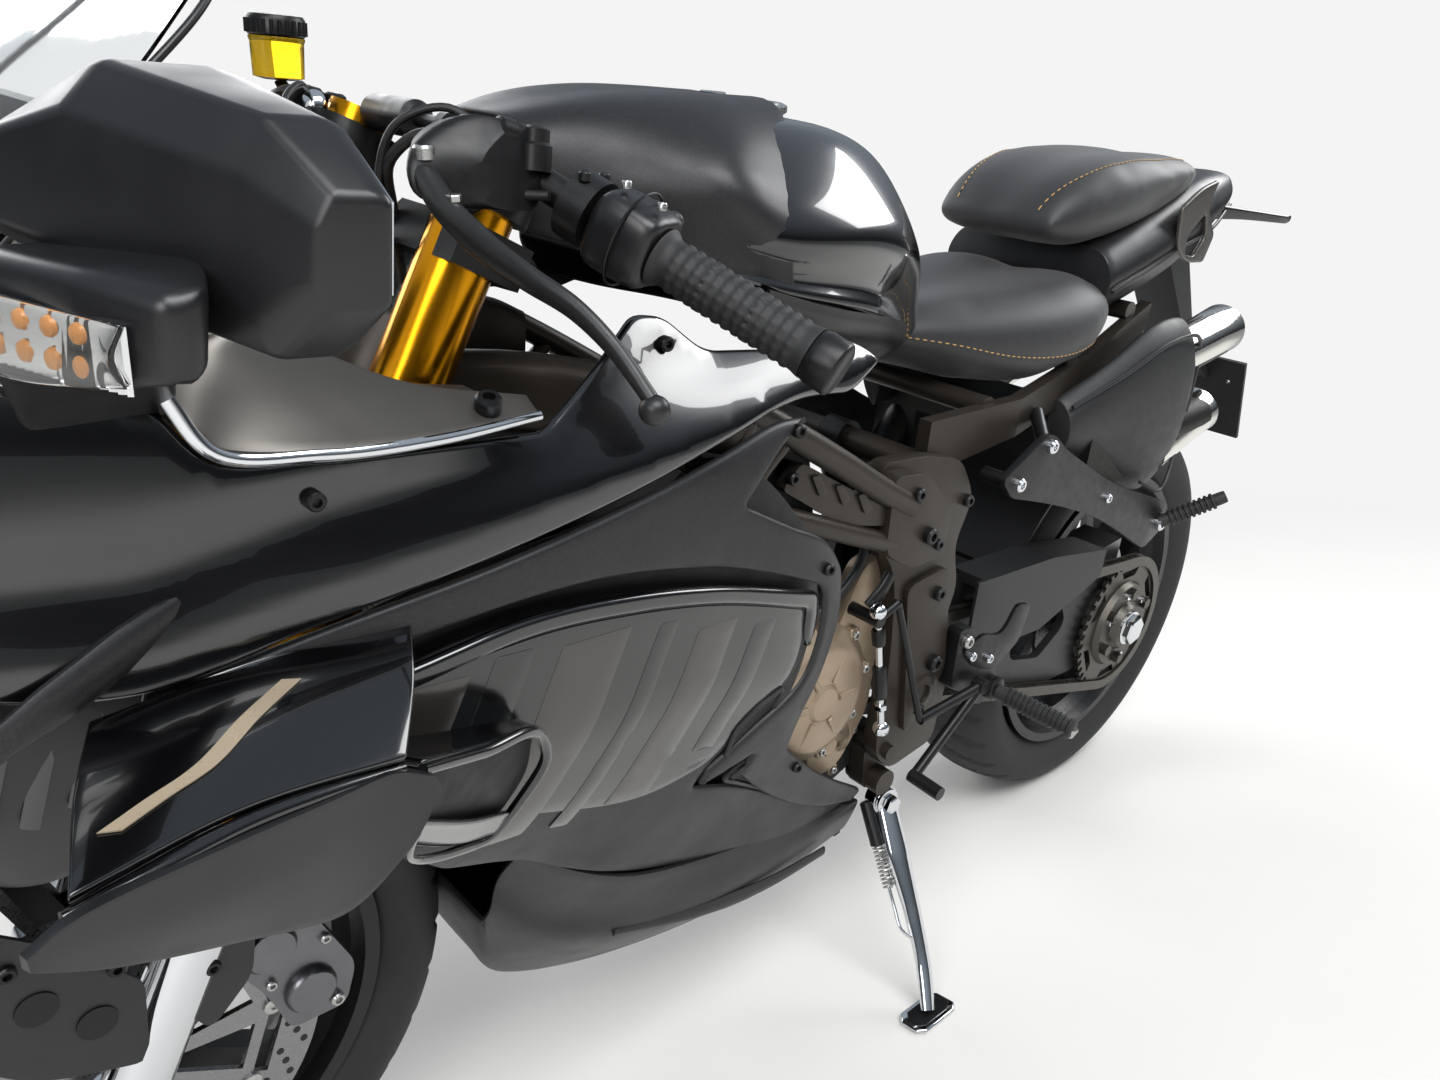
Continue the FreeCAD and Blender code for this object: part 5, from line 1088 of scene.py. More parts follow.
def fairing_shells():
    """Gloss upper fairings, the charcoal arches and side panels, and a near-black sheet behind them as
    painted shade in the recess.
    """
    upper = skin([outline(UPPER_EDGE)], lift=2.0, wall=4.0, roll=4.0, shape=shoulder)
    piece("gloss_upper_fairings", *both_sides(*upper), GLOSS, replaces=("upper_fairings",),
          slot="gloss_panel")
    arch = skin([outline(ARCH_EDGE)], lift=-3.0, wall=5.0, roll=4.5, grid=7.0, shape=arch_fold)
    arches = handed("arch_panel", arch, CHARCOAL, "matte_panel")
    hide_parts("side_fairing_left")
    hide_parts("side_fairing_right")
    lower = skin([outline(LOWER_EDGE)], lift=-9.0, wall=4.0, roll=5.0, shape=dished)
    handed("side_panel", lower, CHARCOAL, "matte_panel")
    # A near-black sheet deep in the recess: painted shade in the gap between the panels.
    recess_shade_skin = skin([outline(RECESS_EDGE)], lift=-24.0, wall=2.0, roll=1.0, grid=16.0)
    handed("recess_shade_sheet", recess_shade_skin, SHADE_BLACK, "matte_panel")


def side_vents():
    """Mesh mouths with rolled rims, behind the scoop and along the belly's edge."""
    vents = [outline(UPPER_VENT, 4.0), outline(LOWER_VENT, 5.0)]
    mouths = [skin([vent], lift=-8.0, wall=1.0, roll=0.8, grid=8.0, shape=dished) for vent in vents]
    handed("side_vent_mouths", joined(*mouths), MESH_BLACK, "matte_panel")
    rims = []
    for vent in vents:
        edge = on_form(vent, -8.0 + dished(vent))
        rims.append(swept(np.vstack([edge, edge[:1]]), 2.6, 8, 4.0))
    handed("side_vent_rims", joined(*rims), CHARCOAL, "matte_panel")


def side_film():
    """The gloss band over the side panel and the smoked film with its tonal bands."""
    band = skin([outline(BAND_EDGE)], lift=-4.0, wall=6.0, roll=4.5, grid=6.0)
    handed("gloss_band", band, GLOSS, "gloss_panel")
    film = skin([outline(FILM_EDGE)], lift=-8.2, wall=0.8, roll=0.4, grid=12.0, shape=dished)
    handed("side_film", film, FILM, "matte_panel")
    for tone, material in enumerate((FILM_DARK, FILM_LIGHT)):
        strips = []
        for x, width, fall in BANDS[tone::2]:
            top = float(np.interp(x, (182, 302, 384, 468, 558), (622, 662, 678, 686, 674)))
            drift = fall * 0.42
            strip = outline([(x, top, 3), (x + width, top + 2, 3),
                             (x + width + drift, top - fall, 3), (x + drift, top - fall - 6, 3)])
            strips.append(skin([strip], lift=-7.9, wall=0.4, roll=0.2, grid=14.0, shape=dished))
        handed("side_tonal_bands_%d" % tone, joined(*strips), material, "matte_panel")


def fairing_trim():
    """The raised edge at the arch's heel, and the fairings' socket screws."""
    heel = on_form(np.array([(40, 350), (100, 392), (150, 432), (196, 472), (228, 466)]), -3.5)
    handed("arch_heel_edge", swept(heel, 2.2, 8), CHARCOAL, "matte_panel")
    heads = np.array([(213, 790), (170, 668), (118, 424), (620, 716), (330, 862), (600, 812)])
    screws = [bolt(place, (0.1, 1, 0.05), 5.5) for place in on_form(heads, 1.5)]
    piece("fairing_screws", *both_sides(*joined(*screws)), BLACK_METAL, slot="black_metal")


def belly():
    """Tapered belly pan with a rolled seam, an open front and a long dent."""
    # Columns: x, rim height and half width, knuckle half width and height, floor half width and
    # height.
    rows = [(-61, 278, 150, 150, 250, 128, 224), (20, 292, 160, 160, 250, 126, 206),
            (107, 316, 172, 168, 256, 118, 192), (200, 338, 182, 172, 270, 104, 184),
            (300, 370, 190, 164, 290, 84, 186), (372, 412, 190, 148, 320, 66, 206),
            (416, 452, 186, 142, 372, 120, 330)]
    grid = []
    for x, rim_z, rim_y, mid_y, mid_z, low_y, low_z in rows:
        half = [(rim_y, rim_z), (mid_y + 6, mid_z + 24), (mid_y - 6, mid_z - 16),
                ((mid_y + low_y) / 2 - 4, (mid_z + low_z) / 2 - 14), (low_y, low_z),
                (low_y * 0.5, low_z - 2)]
        line = [(x, y, z) for y, z in half] + [(x, 0, low_z - 3)]
        grid.append(line + [(x, -y, z) for y, z in half[::-1]])
    piece("belly_pan_skin", *curved_sheet(grid, 4.0, 8, 5), CHARCOAL, replaces=("belly_pan",),
          slot="matte_panel", soft=(1.5, 50))
    dent = [(0, 240, 160), (90, 246, 166), (190, 262, 168), (300, 286, 160)]
    gill = swept([(x, y + 4.5, z) for x, z, y in dent], [(2.5, 6), (3, 9), (2, 4)], 10)
    piece("belly_crease", *both_sides(*gill), CHARCOAL, slot="matte_panel")


def winglets():
    """Winglet decks and hanging blades, their joint, and a foil stripe over the deck."""
    deck = [[(718, 260, 714), (740, 318, 712), (757, 374, 706)],
            [(634, 262, 725), (656, 304, 718), (678, 352, 704)],
            [(550, 264, 725), (568, 300, 712), (594, 338, 691)]]
    decks = handed("winglet_deck", curved_sheet(deck, 6.0, 10, 10), GLOSS, "gloss_panel", "winglets",
                   soft=(1.8, 50, 3))
    blade = [[(777, 385, 702), (777, 384.5, 699), (777, 384, 694)],
             [(753, 378, 708), (748, 373, 688), (743, 365, 664)],
             [(700, 364, 703), (697, 358, 668), (691, 345, 633)],
             [(640, 349, 696), (635, 341, 656), (628, 327, 604)],
             [(603, 341, 692), (599, 338, 662), (594, 334, 632)],
             [(578, 338, 679), (574, 337, 669), (577, 337, 659)]]
    handed("winglet_blade", curved_sheet(blade, 5.0, 8, 8), ABS_SMOOTH, "matte_panel",
           soft=(1.8, 50, 3))
    joint = swept([(760, 375, 703), (718, 366, 703), (678, 355, 701), (636, 346, 695),
                   (594, 338, 687)], [(3, 3), (5, 5), (5, 5), (4, 4)], 12)
    handed("winglet_joint", joint, GLOSS, "gloss_panel")
    stripe = [(634, 286), (662, 304), (694, 327), (716, 336), (738, 346)]
    for side, hand, top in ((1, "left", decks[0]), (-1, "right", decks[1])):
        line = found_on(top, [(x, side * y, 760) for x, y in stripe], (0, 0, -1), 1.2)
        back = found_on(top, [(x - 9, side * (y + 3), 760) for x, y in stripe], (0, 0, -1), 1.2)
        rows = [[tuple(line[i]), tuple(back[i])] for i in range(0, min(len(line), len(back)), 3)]
        piece("winglet_foil_stripe_" + hand, *curved_sheet(rows, 0.8, 2, 1), CHAMPAGNE_FOIL,
              slot="gloss_panel")


def scoops():
    """Air scoops behind the winglets: a shelf and a floor with a rolled lip, and a near-black sheet
    across the mouth as painted shade.
    """
    shelf = [[(592, 256, 652), (588, 300, 668), (582, 336, 681)],
             [(540, 254, 640), (536, 290, 650), (532, 312, 659)],
             [(478, 252, 630), (474, 270, 632), (470, 286, 633)]]
    floor = [[(576, 256, 584), (576, 296, 600), (580, 330, 640)],
             [(530, 254, 562), (530, 280, 570), (530, 300, 600)],
             [(490, 250, 548), (492, 264, 551), (486, 274, 572)]]
    mouth = [[(582, 330, 676), (580, 322, 640), (574, 296, 600)],
             [(532, 304, 654), (528, 292, 616), (530, 276, 574)],
             [(474, 276, 628), (476, 270, 596), (494, 258, 556)]]
    handed("scoop_shelf", curved_sheet(shelf, 5.0, 8, 8), GLOSS, "gloss_panel", soft=(1.8, 50, 3))
    handed("scoop_floor", curved_sheet(floor, 4.0, 8, 8), GLOSS, "gloss_panel", soft=(1.8, 50, 3))
    # Near-black sheet across the scoop's mouth: painted shade inside the duct.
    handed("scoop_mouth_shade", curved_sheet(mouth, 2.0, 8, 8), SHADE_BLACK, "matte_panel")
    lip = swept([(582, 337, 681), (532, 313, 659), (472, 286, 634), (464, 281, 612), (476, 274, 582),
                 (494, 262, 550), (530, 276, 562), (572, 300, 594), (580, 326, 636)],
                [(3.4, 3.4), (4.2, 4.2), (4, 4), (3.4, 3.4), (3, 3)], 12)
    handed("scoop_lip", lip, GLOSS, "gloss_panel")


def nose_cheeks():
    """Cheeks beside the nose with four louvres, and the strut under the upper fairing."""
    strut = swept([(662, 252, 772), (690, 257, 757), (724, 260, 738), (764, 256, 712)],
                  [(5, 7), (6, 12), (6, 12), (4, 8)], 14)
    handed("front_strut", strut, CHARCOAL, "matte_panel")
    cheek = [[(664, 250, 742), (706, 250, 736), (758, 244, 712), (800, 214, 706)],
             [(668, 246, 690), (712, 244, 684), (760, 232, 664), (806, 200, 660)],
             [(672, 226, 620), (708, 222, 612), (748, 212, 604), (784, 186, 610)]]
    handed("nose_cheek", curved_sheet(cheek, 4.0, 8, 8), ABS_SMOOTH, "matte_panel", soft=(1.5, 50))
    louvres = [swept([(690 + 22 * n, 252 - 2 * n, 724 - 6 * n), (704 + 22 * n, 248 - 3 * n, 668 - 5 * n)],
                     [(2, 5), (2, 5)], 10) for n in range(4)]
    handed("nose_cheek_louvres", joined(*louvres), GLOSS, "gloss_panel")


def mirrors():
    """Faceted mirror heads with their glass, on arms that carry the indicators."""
    # Columns: y, height of the glass edge, of the shoulder and of the nose above 1 m.
    rows = [(260, -6, -6, -14), (322, 18, 22, 4), (400, 6, 10, -10), (430, -14, -12, -24),
            (428, -50, -50, -42), (400, -70, -74, -56), (320, -62, -66, -46), (260, -50, -52, -38)]
    sections = []
    for share, column, grow in ((0.0, 1, 0), (0.22, 2, 0), (0.78, 2, -5), (1.0, 3, -8)):
        ring = []
        for row in rows:
            y, rise = row[0], row[column]
            reach = 636 + 0.06 * (430 - y)
            nose = 662 + 0.44 * (430 - y)
            inward = (y - 345) / 85 * grow
            ring.append((reach + (nose - reach) * share, y + inward * 0.6, 1000 + rise))
        sections.append(ring)
    head = closed_rings(np.array(sections, float), flat_ends=True)
    handed("mirror_head", head, ABS_SMOOTH, "matte_panel", "mirrors", soft=(9.0, 14, 5))
    glass = [(636 + 0.06 * (430 - y) - 2.2, 345 + (y - 345) * 0.93, 1000 + (rise + 22) * 0.9 - 22)
             for y, rise, _, _ in rows]
    back = [(x + 1.6, y, z) for x, y, z in glass]
    handed("mirror_glass", closed_rings(np.array([glass, back]), flat_ends=True), MIRROR, "chrome",
           smooth=False)
    arm = [[(655, 232, 905), (655, 232, 858), (722, 232, 858), (722, 232, 898)],
           [(672, 300, 956), (672, 300, 908), (740, 300, 906), (740, 300, 954)],
           [(680, 372, 960), (684, 372, 918), (726, 372, 914), (722, 372, 956)],
           [(690, 402, 956), (693, 402, 924), (704, 402, 920), (706, 402, 950)]]
    handed("mirror_arm", closed_rings(np.array(arm, float), flat_ends=True), ABS_SMOOTH,
           "matte_panel", soft=(7.0, 14, 4))


def mirror_indicators():
    """Clear indicator lenses in the mirror arms, over a pleated reflector with amber lamps."""
    lens = [[(753, 302, 944), (738, 350, 944), (717, 394, 942)],
            [(756, 302, 929), (742, 350, 930), (721, 394, 931)],
            [(753, 302, 913), (739, 350, 914), (717, 394, 920)]]
    handed("indicator_lens", curved_sheet(lens, 2.5, 6, 6), LENS, "lamp", soft=(1.0, 40, 3))
    pleats = [(303 + number * 2.2, 1.8 if number % 2 else 0) for number in range(41)]
    ribs = [[(751 - (y - 302) * 0.39 - fold, y, high) for y, fold in pleats]
            for high in (941, 930, 917)]
    handed("indicator_reflector", curved_sheet(ribs, 2.0, 1, 1), REFLECTOR, "chrome")
    beads = [turned([(0, 4), (1.6, 3.4), (2.4, 1.5)], (750.5 - (y - 302) * 0.39, y, z), (1, 0.4, 0), 14)
             for z in (924, 935) for y in (316, 330, 344, 358, 372)]
    handed("indicator_lamps", joined(*beads), AMBER, "lamp")


fairing_shells()
side_vents()
side_film()
fairing_trim()
belly()
winglets()
scoops()
nose_cheeks()
mirrors()
mirror_indicators()


# Bars, screen and tank


GRIP_END = Vector((301, 352, 873))
GRIP_RUN = Vector((-58, 135, -58)).normalized()


def on_bar(distance, out=0.0, up=0.0):
    """A point from the left bar end: how far inboard, how far forward and how far above."""
    ahead = GRIP_RUN.cross(Vector((0, 0, 1))).normalized()
    over = ahead.cross(GRIP_RUN).normalized()
    over = over if over.z > 0 else -over
    ahead = ahead if ahead.x > 0 else -ahead
    return GRIP_END - GRIP_RUN * distance + ahead * out + over * up


def steered(name, mesh, material, slot, *stands_for, **settings):
    """A left and a right piece that turn with the bars."""
    return handed(name, mesh, material, slot, *stands_for, body="steering", **settings)


def grips():
    """Rubber sleeve with raised diamonds between flanges, and a bar end weight."""
    weight = turned([(-22, 11), (-22, 17), (-16, 18.5), (-2, 18.5), (0, 15)], GRIP_END, GRIP_RUN, 40)
    steered("bar_end_weight", weight, BLACK_METAL, "black_metal", soft=(1.0,))
    count, rows = 48, 61
    length = 118.0
    start = GRIP_END - GRIP_RUN * (22 + length)
    side = GRIP_RUN.orthogonal().normalized()
    other = GRIP_RUN.cross(side)
    grid = []
    for row in range(rows):
        along = length * row / (rows - 1)
        flange = 4.2 * math.exp(-(along / 4.0)**2) + 1.6 * math.exp(-((along - length) / 5.0)**2)
        height = 1.3 if 10 < along < length - 10 else 0.0
        ring = []
        for i in range(count):
            turn = 2 * math.pi * i / count
            diamonds = math.sin(turn * 8 + along * 0.42) * math.sin(turn * 8 - along * 0.42)
            radius = 16.0 + flange + (height if diamonds > 0.12 else 0)
            ring.append(start + GRIP_RUN * along
                        + (side * math.cos(turn) + other * math.sin(turn)) * radius)
        grid.append([tuple(p) for p in ring])
    steered("ribbed_grip", closed_rings(np.array(grid)), RUBBER, "rubber", "grips")


def switch_housings():
    """Squared switch housings round the bars, with a seam, buttons and screws."""
    sections = []
    for distance, high, deep in ((141, 17, 17), (146, 27, 26), (176, 29, 28), (186, 25, 24),
                                 (190, 17, 17)):
        ring = []
        for number in range(16):
            turn = math.radians(22.5 * number)
            across, over = math.cos(turn), math.sin(turn)
            square = (abs(across)**4 + abs(over)**4)**-0.25 * 0.92
            ring.append(tuple(on_bar(distance, deep * across * square, high * over * square)))
        sections.append(ring)
    steered("switch_housing", lofted(sections, 48, 4), ABS_SMOOTH, "black_metal", "hand_controls")
    split = [tuple(on_bar(163, 31 * math.cos(a), 33 * math.sin(a))) for a in
             np.linspace(0, 2 * math.pi, 20)]
    steered("switch_housing_seam", swept(split, 1.0, 6), BLACK_METAL, "black_metal")
    buttons = []
    for inboard, out, up, wide in ((152, -24, 18, 6), (166, -24, 18, 6), (176, -22, 16, 4),
                                   (150, -28, 4, 5), (164, -29, 3, 7), (177, -27, 2, 4),
                                   (158, -27, -14, 8), (172, -25, -14, 6)):
        place = on_bar(inboard, out, up)
        way = on_bar(inboard, out * 1.5, up * 1.5) - place
        buttons.append(turned([(-4, wide), (2.5, wide), (4, wide * 0.8)], place, way, 14))
    steered("switch_buttons", joined(*buttons), BUTTON, "black_metal", soft=(0.7,))
    screws = [bolt(on_bar(inboard, 8, 31), UP, 3.2, 12) for inboard in (150, 178)]
    steered("switch_screws", joined(*screws), STEEL, "steel")


def hand_levers():
    """Levers on their perches and clamps, with pivots and silver adjusters."""
    perch = [[(446, 128, 995), (470, 124, 982), (466, 132, 960), (440, 140, 962)],
             [(432, 142, 1000), (474, 140, 978), (476, 146, 950), (430, 152, 952)],
             [(404, 152, 996), (438, 158, 978), (440, 160, 950), (400, 160, 948)]]
    steered("lever_perch", lofted(perch, 28, 6), BLACK_METAL, "black_metal", soft=(1.0,))
    clamp = turned([(0, 19), (0, 24), (20, 24), (20, 19)], on_bar(212), GRIP_RUN, 32)
    clamp_bolts = [bolt(on_bar(205, 12, 22), UP, 4), bolt(on_bar(205, -14, 20), UP, 4)]
    steered("perch_clamp", joined(clamp, *clamp_bolts), BLACK_METAL, "black_metal")
    mast = joined(turned([(0, 11), (16, 11), (18, 9), (26, 9), (28, 6)], (398, 152, 968),
                         (-0.1, -0.1, 1), 24),
                  turned([(0, 9), (10, 9), (11, 7)], (412, 146, 990), (0.9, 0, 0.2), 20))
    steered("lever_switch_mast", mast, BLACK_METAL, "black_metal")
    adjuster = joined(turned([(0, 5), (3, 9), (26, 9), (28, 6), (40, 5)], (428, 118, 992),
                             (-0.55, 0.75, -0.5), 20),
                      hexagon((405, 138, 978), (-0.5, 0.75, -0.4), 9, 7))
    steered("silver_adjuster", adjuster, CHROME, "chrome")
    lever = swept([(470, 138, 966), (470, 160, 950), (464, 196, 931), (456, 235, 917),
                   (444, 268, 904), (435, 293, 887), (429, 310, 871), (426, 319, 862)],
                  [(9, 8), (9, 9), (6, 11), (5, 9.5), (5, 8), (4.5, 7), (4.5, 6), (5, 5)], 16, 4.0)
    knob = ball(9, (425, 322, 856), (0.2, 0.6, -0.8), 24, 9.5)
    steered("hand_lever", joined(lever, knob), LEVER_BLACK, "black_metal")
    pins = [bolt((470, 140, 975), (0.1, 0, 1), 7), hexagon((468, 172, 952), (0.1, 0, 1), 5, 4)]
    steered("lever_pivot", joined(*pins), STEEL, "steel")


def fluid_reservoir():
    """Brake fluid pot with a ridged cap, on a bracket at the right bar."""
    x, y = 409, -230
    cup = turned([(0, 12), (2, 21), (30, 22), (32, 23), (34, 23)], (x, y, 1000), UP, 64)
    piece("reservoir_fluid", *cup, FLUID, body="steering", slot="lamp")
    cap = turned([(0, 22), (2, 24), (14, 24), (17, 22), (18, 15)], (x, y, 1034), UP, 40)
    ridges = [swept([(x + 24 * math.cos(a), y + 24 * math.sin(a), 1036),
                     (x + 24 * math.cos(a), y + 24 * math.sin(a), 1047)], 1.6, 6)
              for a in np.linspace(0, 2 * math.pi, 25)[:-1]]
    piece("reservoir_cap", *joined(cap, *ridges), BLACK_METAL, body="steering", slot="black_metal")
    bracket = swept([(x, -176, 966), (x, -206, 985), (x, -226, 998)], [(8, 3), (6, 3)], 10)
    piece("reservoir_bracket", *bracket, BLACK_METAL, body="steering", slot="black_metal")


def cables_and_damper():
    """Control cables from the bars to the head, and the damper across it."""
    hoses = [swept([(432, 128, 975), (452, 108, 985), (464, 84, 968), (452, 60, 930),
                    (440, 48, 880)], 4.0, 12),
             swept([(420, 140, 985), (440, 112, 1002), (462, 90, 990), (468, 72, 950),
                    (450, 66, 890)], 2.8, 10),
             swept([(398, 170, 955), (420, 140, 950), (436, 118, 930), (432, 92, 890)], 3.4, 10)]
    steered("control_cables", joined(*hoses), CABLE, "rubber")
    damper = joined(turned([(0, 12), (3, 14), (66, 14), (70, 10)], (399, -70, 987), LEFT, 32),
                    turned([(0, 5), (40, 5)], (399, 0, 987), LEFT, 18),
                    turned([(0, 9), (10, 9)], (399, 38, 987), LEFT, 24))
    piece("steering_damper", *damper, BLACK_METAL, body="steering", slot="black_metal")


def windscreen():
    """Clear screen, a smooth sheet of shallow arcs with a dark rim along its free edge."""
    # Columns: x, half width, height at the middle, drop at the sides.
    rows = [(800, 150, 884, 60), (720, 160, 985, 70), (640, 140, 1060, 62), (572, 101, 1111, 41)]
    grid = []
    for x, half, z, drop in rows:
        bend = (half**2 + drop**2) / (2 * drop)
        turn = math.atan2(half, bend - drop)
        grid.append([(x, bend * math.sin(t), z - bend + bend * math.cos(t))
                     for t in np.linspace(-turn, turn, 9)])
    piece("screen_sheet", *curved_sheet(grid, 3.5, 10, 6), CLEAR, replaces=("windscreen",),
          slot="clear_screen")
    right_edge = [grid[1][0], grid[2][0]]
    left_edge = [grid[2][8], grid[1][8]]
    rim = [(x, y, z - 2) for x, y, z in right_edge + grid[3][::2] + left_edge]
    piece("screen_rim", *swept(rim, 2.4, 10), ABS_SMOOTH, slot="matte_panel")


def trim_plates():
    """Satin grey plates along the cockpit edge, each with a socket screw."""
    rows = [[(666, 242, 874), (664, 236, 884), (650, 226, 890)],
            [(648, 248, 842), (630, 222, 874), (600, 194, 886)],
            [(596, 256, 834), (580, 226, 858), (562, 202, 868)],
            [(533, 260, 834), (530, 236, 848), (524, 224, 854)],
            [(462, 256, 838), (461, 246, 842), (460, 240, 844)]]
    lifted = [[(x, y + 3, z + 5) for x, y, z in row] for row in rows]
    handed("cockpit_trim_plate", curved_sheet(lifted, 6.0, 10, 6), TRIM, "steel", soft=(1.6, 40, 3))
    edge = swept([(x, y + 5, z + 3) for x, y, z in (row[0] for row in rows)], [(3, 4), (3, 3)], 10)
    handed("cockpit_trim_edge", edge, CHROME, "chrome")
    handed("cockpit_trim_screw", bolt((492, 252, 848), (0.1, 0.35, 1), 8, 24), BLACK_METAL,
           "black_metal")


def fuel_tank():
    """Tank: matte centre shroud over gloss sides with drawn-in knee recesses."""
    # Columns: x, floor half width and height, widest half width and height, shoulder width, top.
    rows = [(345, 42, 930, 60, 950, 44, 980), (305, 66, 922, 78, 948, 58, 994),
            (262, 118, 904, 138, 934, 82, 1003), (180, 160, 878, 184, 922, 112, 1010),
            (60, 158, 852, 180, 916, 112, 1006), (-30, 118, 822, 148, 888, 94, 974),
            (-96, 84, 794, 104, 838, 70, 898), (-128, 68, 788, 82, 812, 56, 846)]
    sections = []
    for x, floor_y, floor_z, wide_y, wide_z, deck_y, top in rows:
        side_z = (wide_z * 2 + top) / 3
        half = [(0, top), (deck_y * 0.6, top - 1), (deck_y, top - 9),
                ((deck_y + wide_y * 2) / 3 + 4, side_z + 6), (wide_y, wide_z),
                ((wide_y + floor_y) / 2 - 2, (wide_z + floor_z) / 2 - 4), (floor_y, floor_z)]
        ring = [(x, y, z) for y, z in half] + [(x, 0, floor_z - 4)]
        ring += [(x, -y, z) for y, z in half[:0:-1]]
        sections.append(ring)
    piece("tank_skin", *lofted(sections, 96, 8), GLOSS, replaces=("fuel_tank",), slot="gloss_panel")
    shroud = [[(352, 0, 992), (350, 50, 986), (346, 66, 950), (345, 62, 915)],
              [(300, 0, 1004), (300, 66, 1000), (296, 100, 962), (292, 104, 905)],
              [(240, 0, 1012), (246, 84, 1008), (256, 142, 962), (238, 146, 900)],
              [(170, 0, 1016), (190, 96, 1011), (226, 166, 958), (178, 164, 884)],
              [(100, 0, 1016), (110, 84, 1010), (176, 172, 938), (150, 164, 868)]]
    whole = [[(x, -y, z) for x, y, z in row[:0:-1]] + row for row in shroud]
    piece("tank_shroud", *curved_sheet(whole, 5.0, 8, 6), CHARCOAL, slot="matte_panel",
          soft=(2.0, 45, 3))
    crease = [(196, 180, 872), (120, 178, 853), (40, 164, 838), (-30, 138, 822), (-84, 104, 806)]
    lower = [[(x, y - 3, z + 14), (x, y - 6, z - 4), (x, y - 34, z - 26)] for x, y, z in crease]
    handed("tank_lower_trim", curved_sheet(lower, 3.0, 8, 5), ABS_SMOOTH, "matte_panel")
    collar = turned([(0, 46), (3, 50), (8, 50), (10, 46), (9, 44), (7, 42), (7, 0.5)], (86, 0, 1006),
                    (0.08, 0, 1), 64)
    piece("filler_collar", *collar, STEEL, slot="steel")
    cap_bolts = [bolt((86 + 36 * math.cos(a), 36 * math.sin(a), 1015), (0.05, 0, 1), 3.4, 12)
                 for a in np.linspace(0, 2 * math.pi, 8)[:-1]]
    lid = turned([(0, 27), (5, 27), (8, 22), (8, 0.5)], (86, 0, 1013), (0.05, 0, 1), 48)
    flap = slab(outline([(104, 1020, 6), (120, 1020, 3), (120, 1024, 3), (104, 1024, 2)]), -9, 9)
    piece("filler_cap", *joined(lid, flap, *cap_bolts), CHROME, slot="chrome")


grips()
switch_housings()
hand_levers()
fluid_reservoir()
cables_and_damper()
windscreen()
trim_plates()
fuel_tank()


# Frame, engine, exhaust and running gear


def across_frame(x, z, reach, radius, count):
    """A round bar from one side of the frame to the other."""
    return turned([(-reach, radius), (reach, radius)], (x, 0, z), LEFT, count)


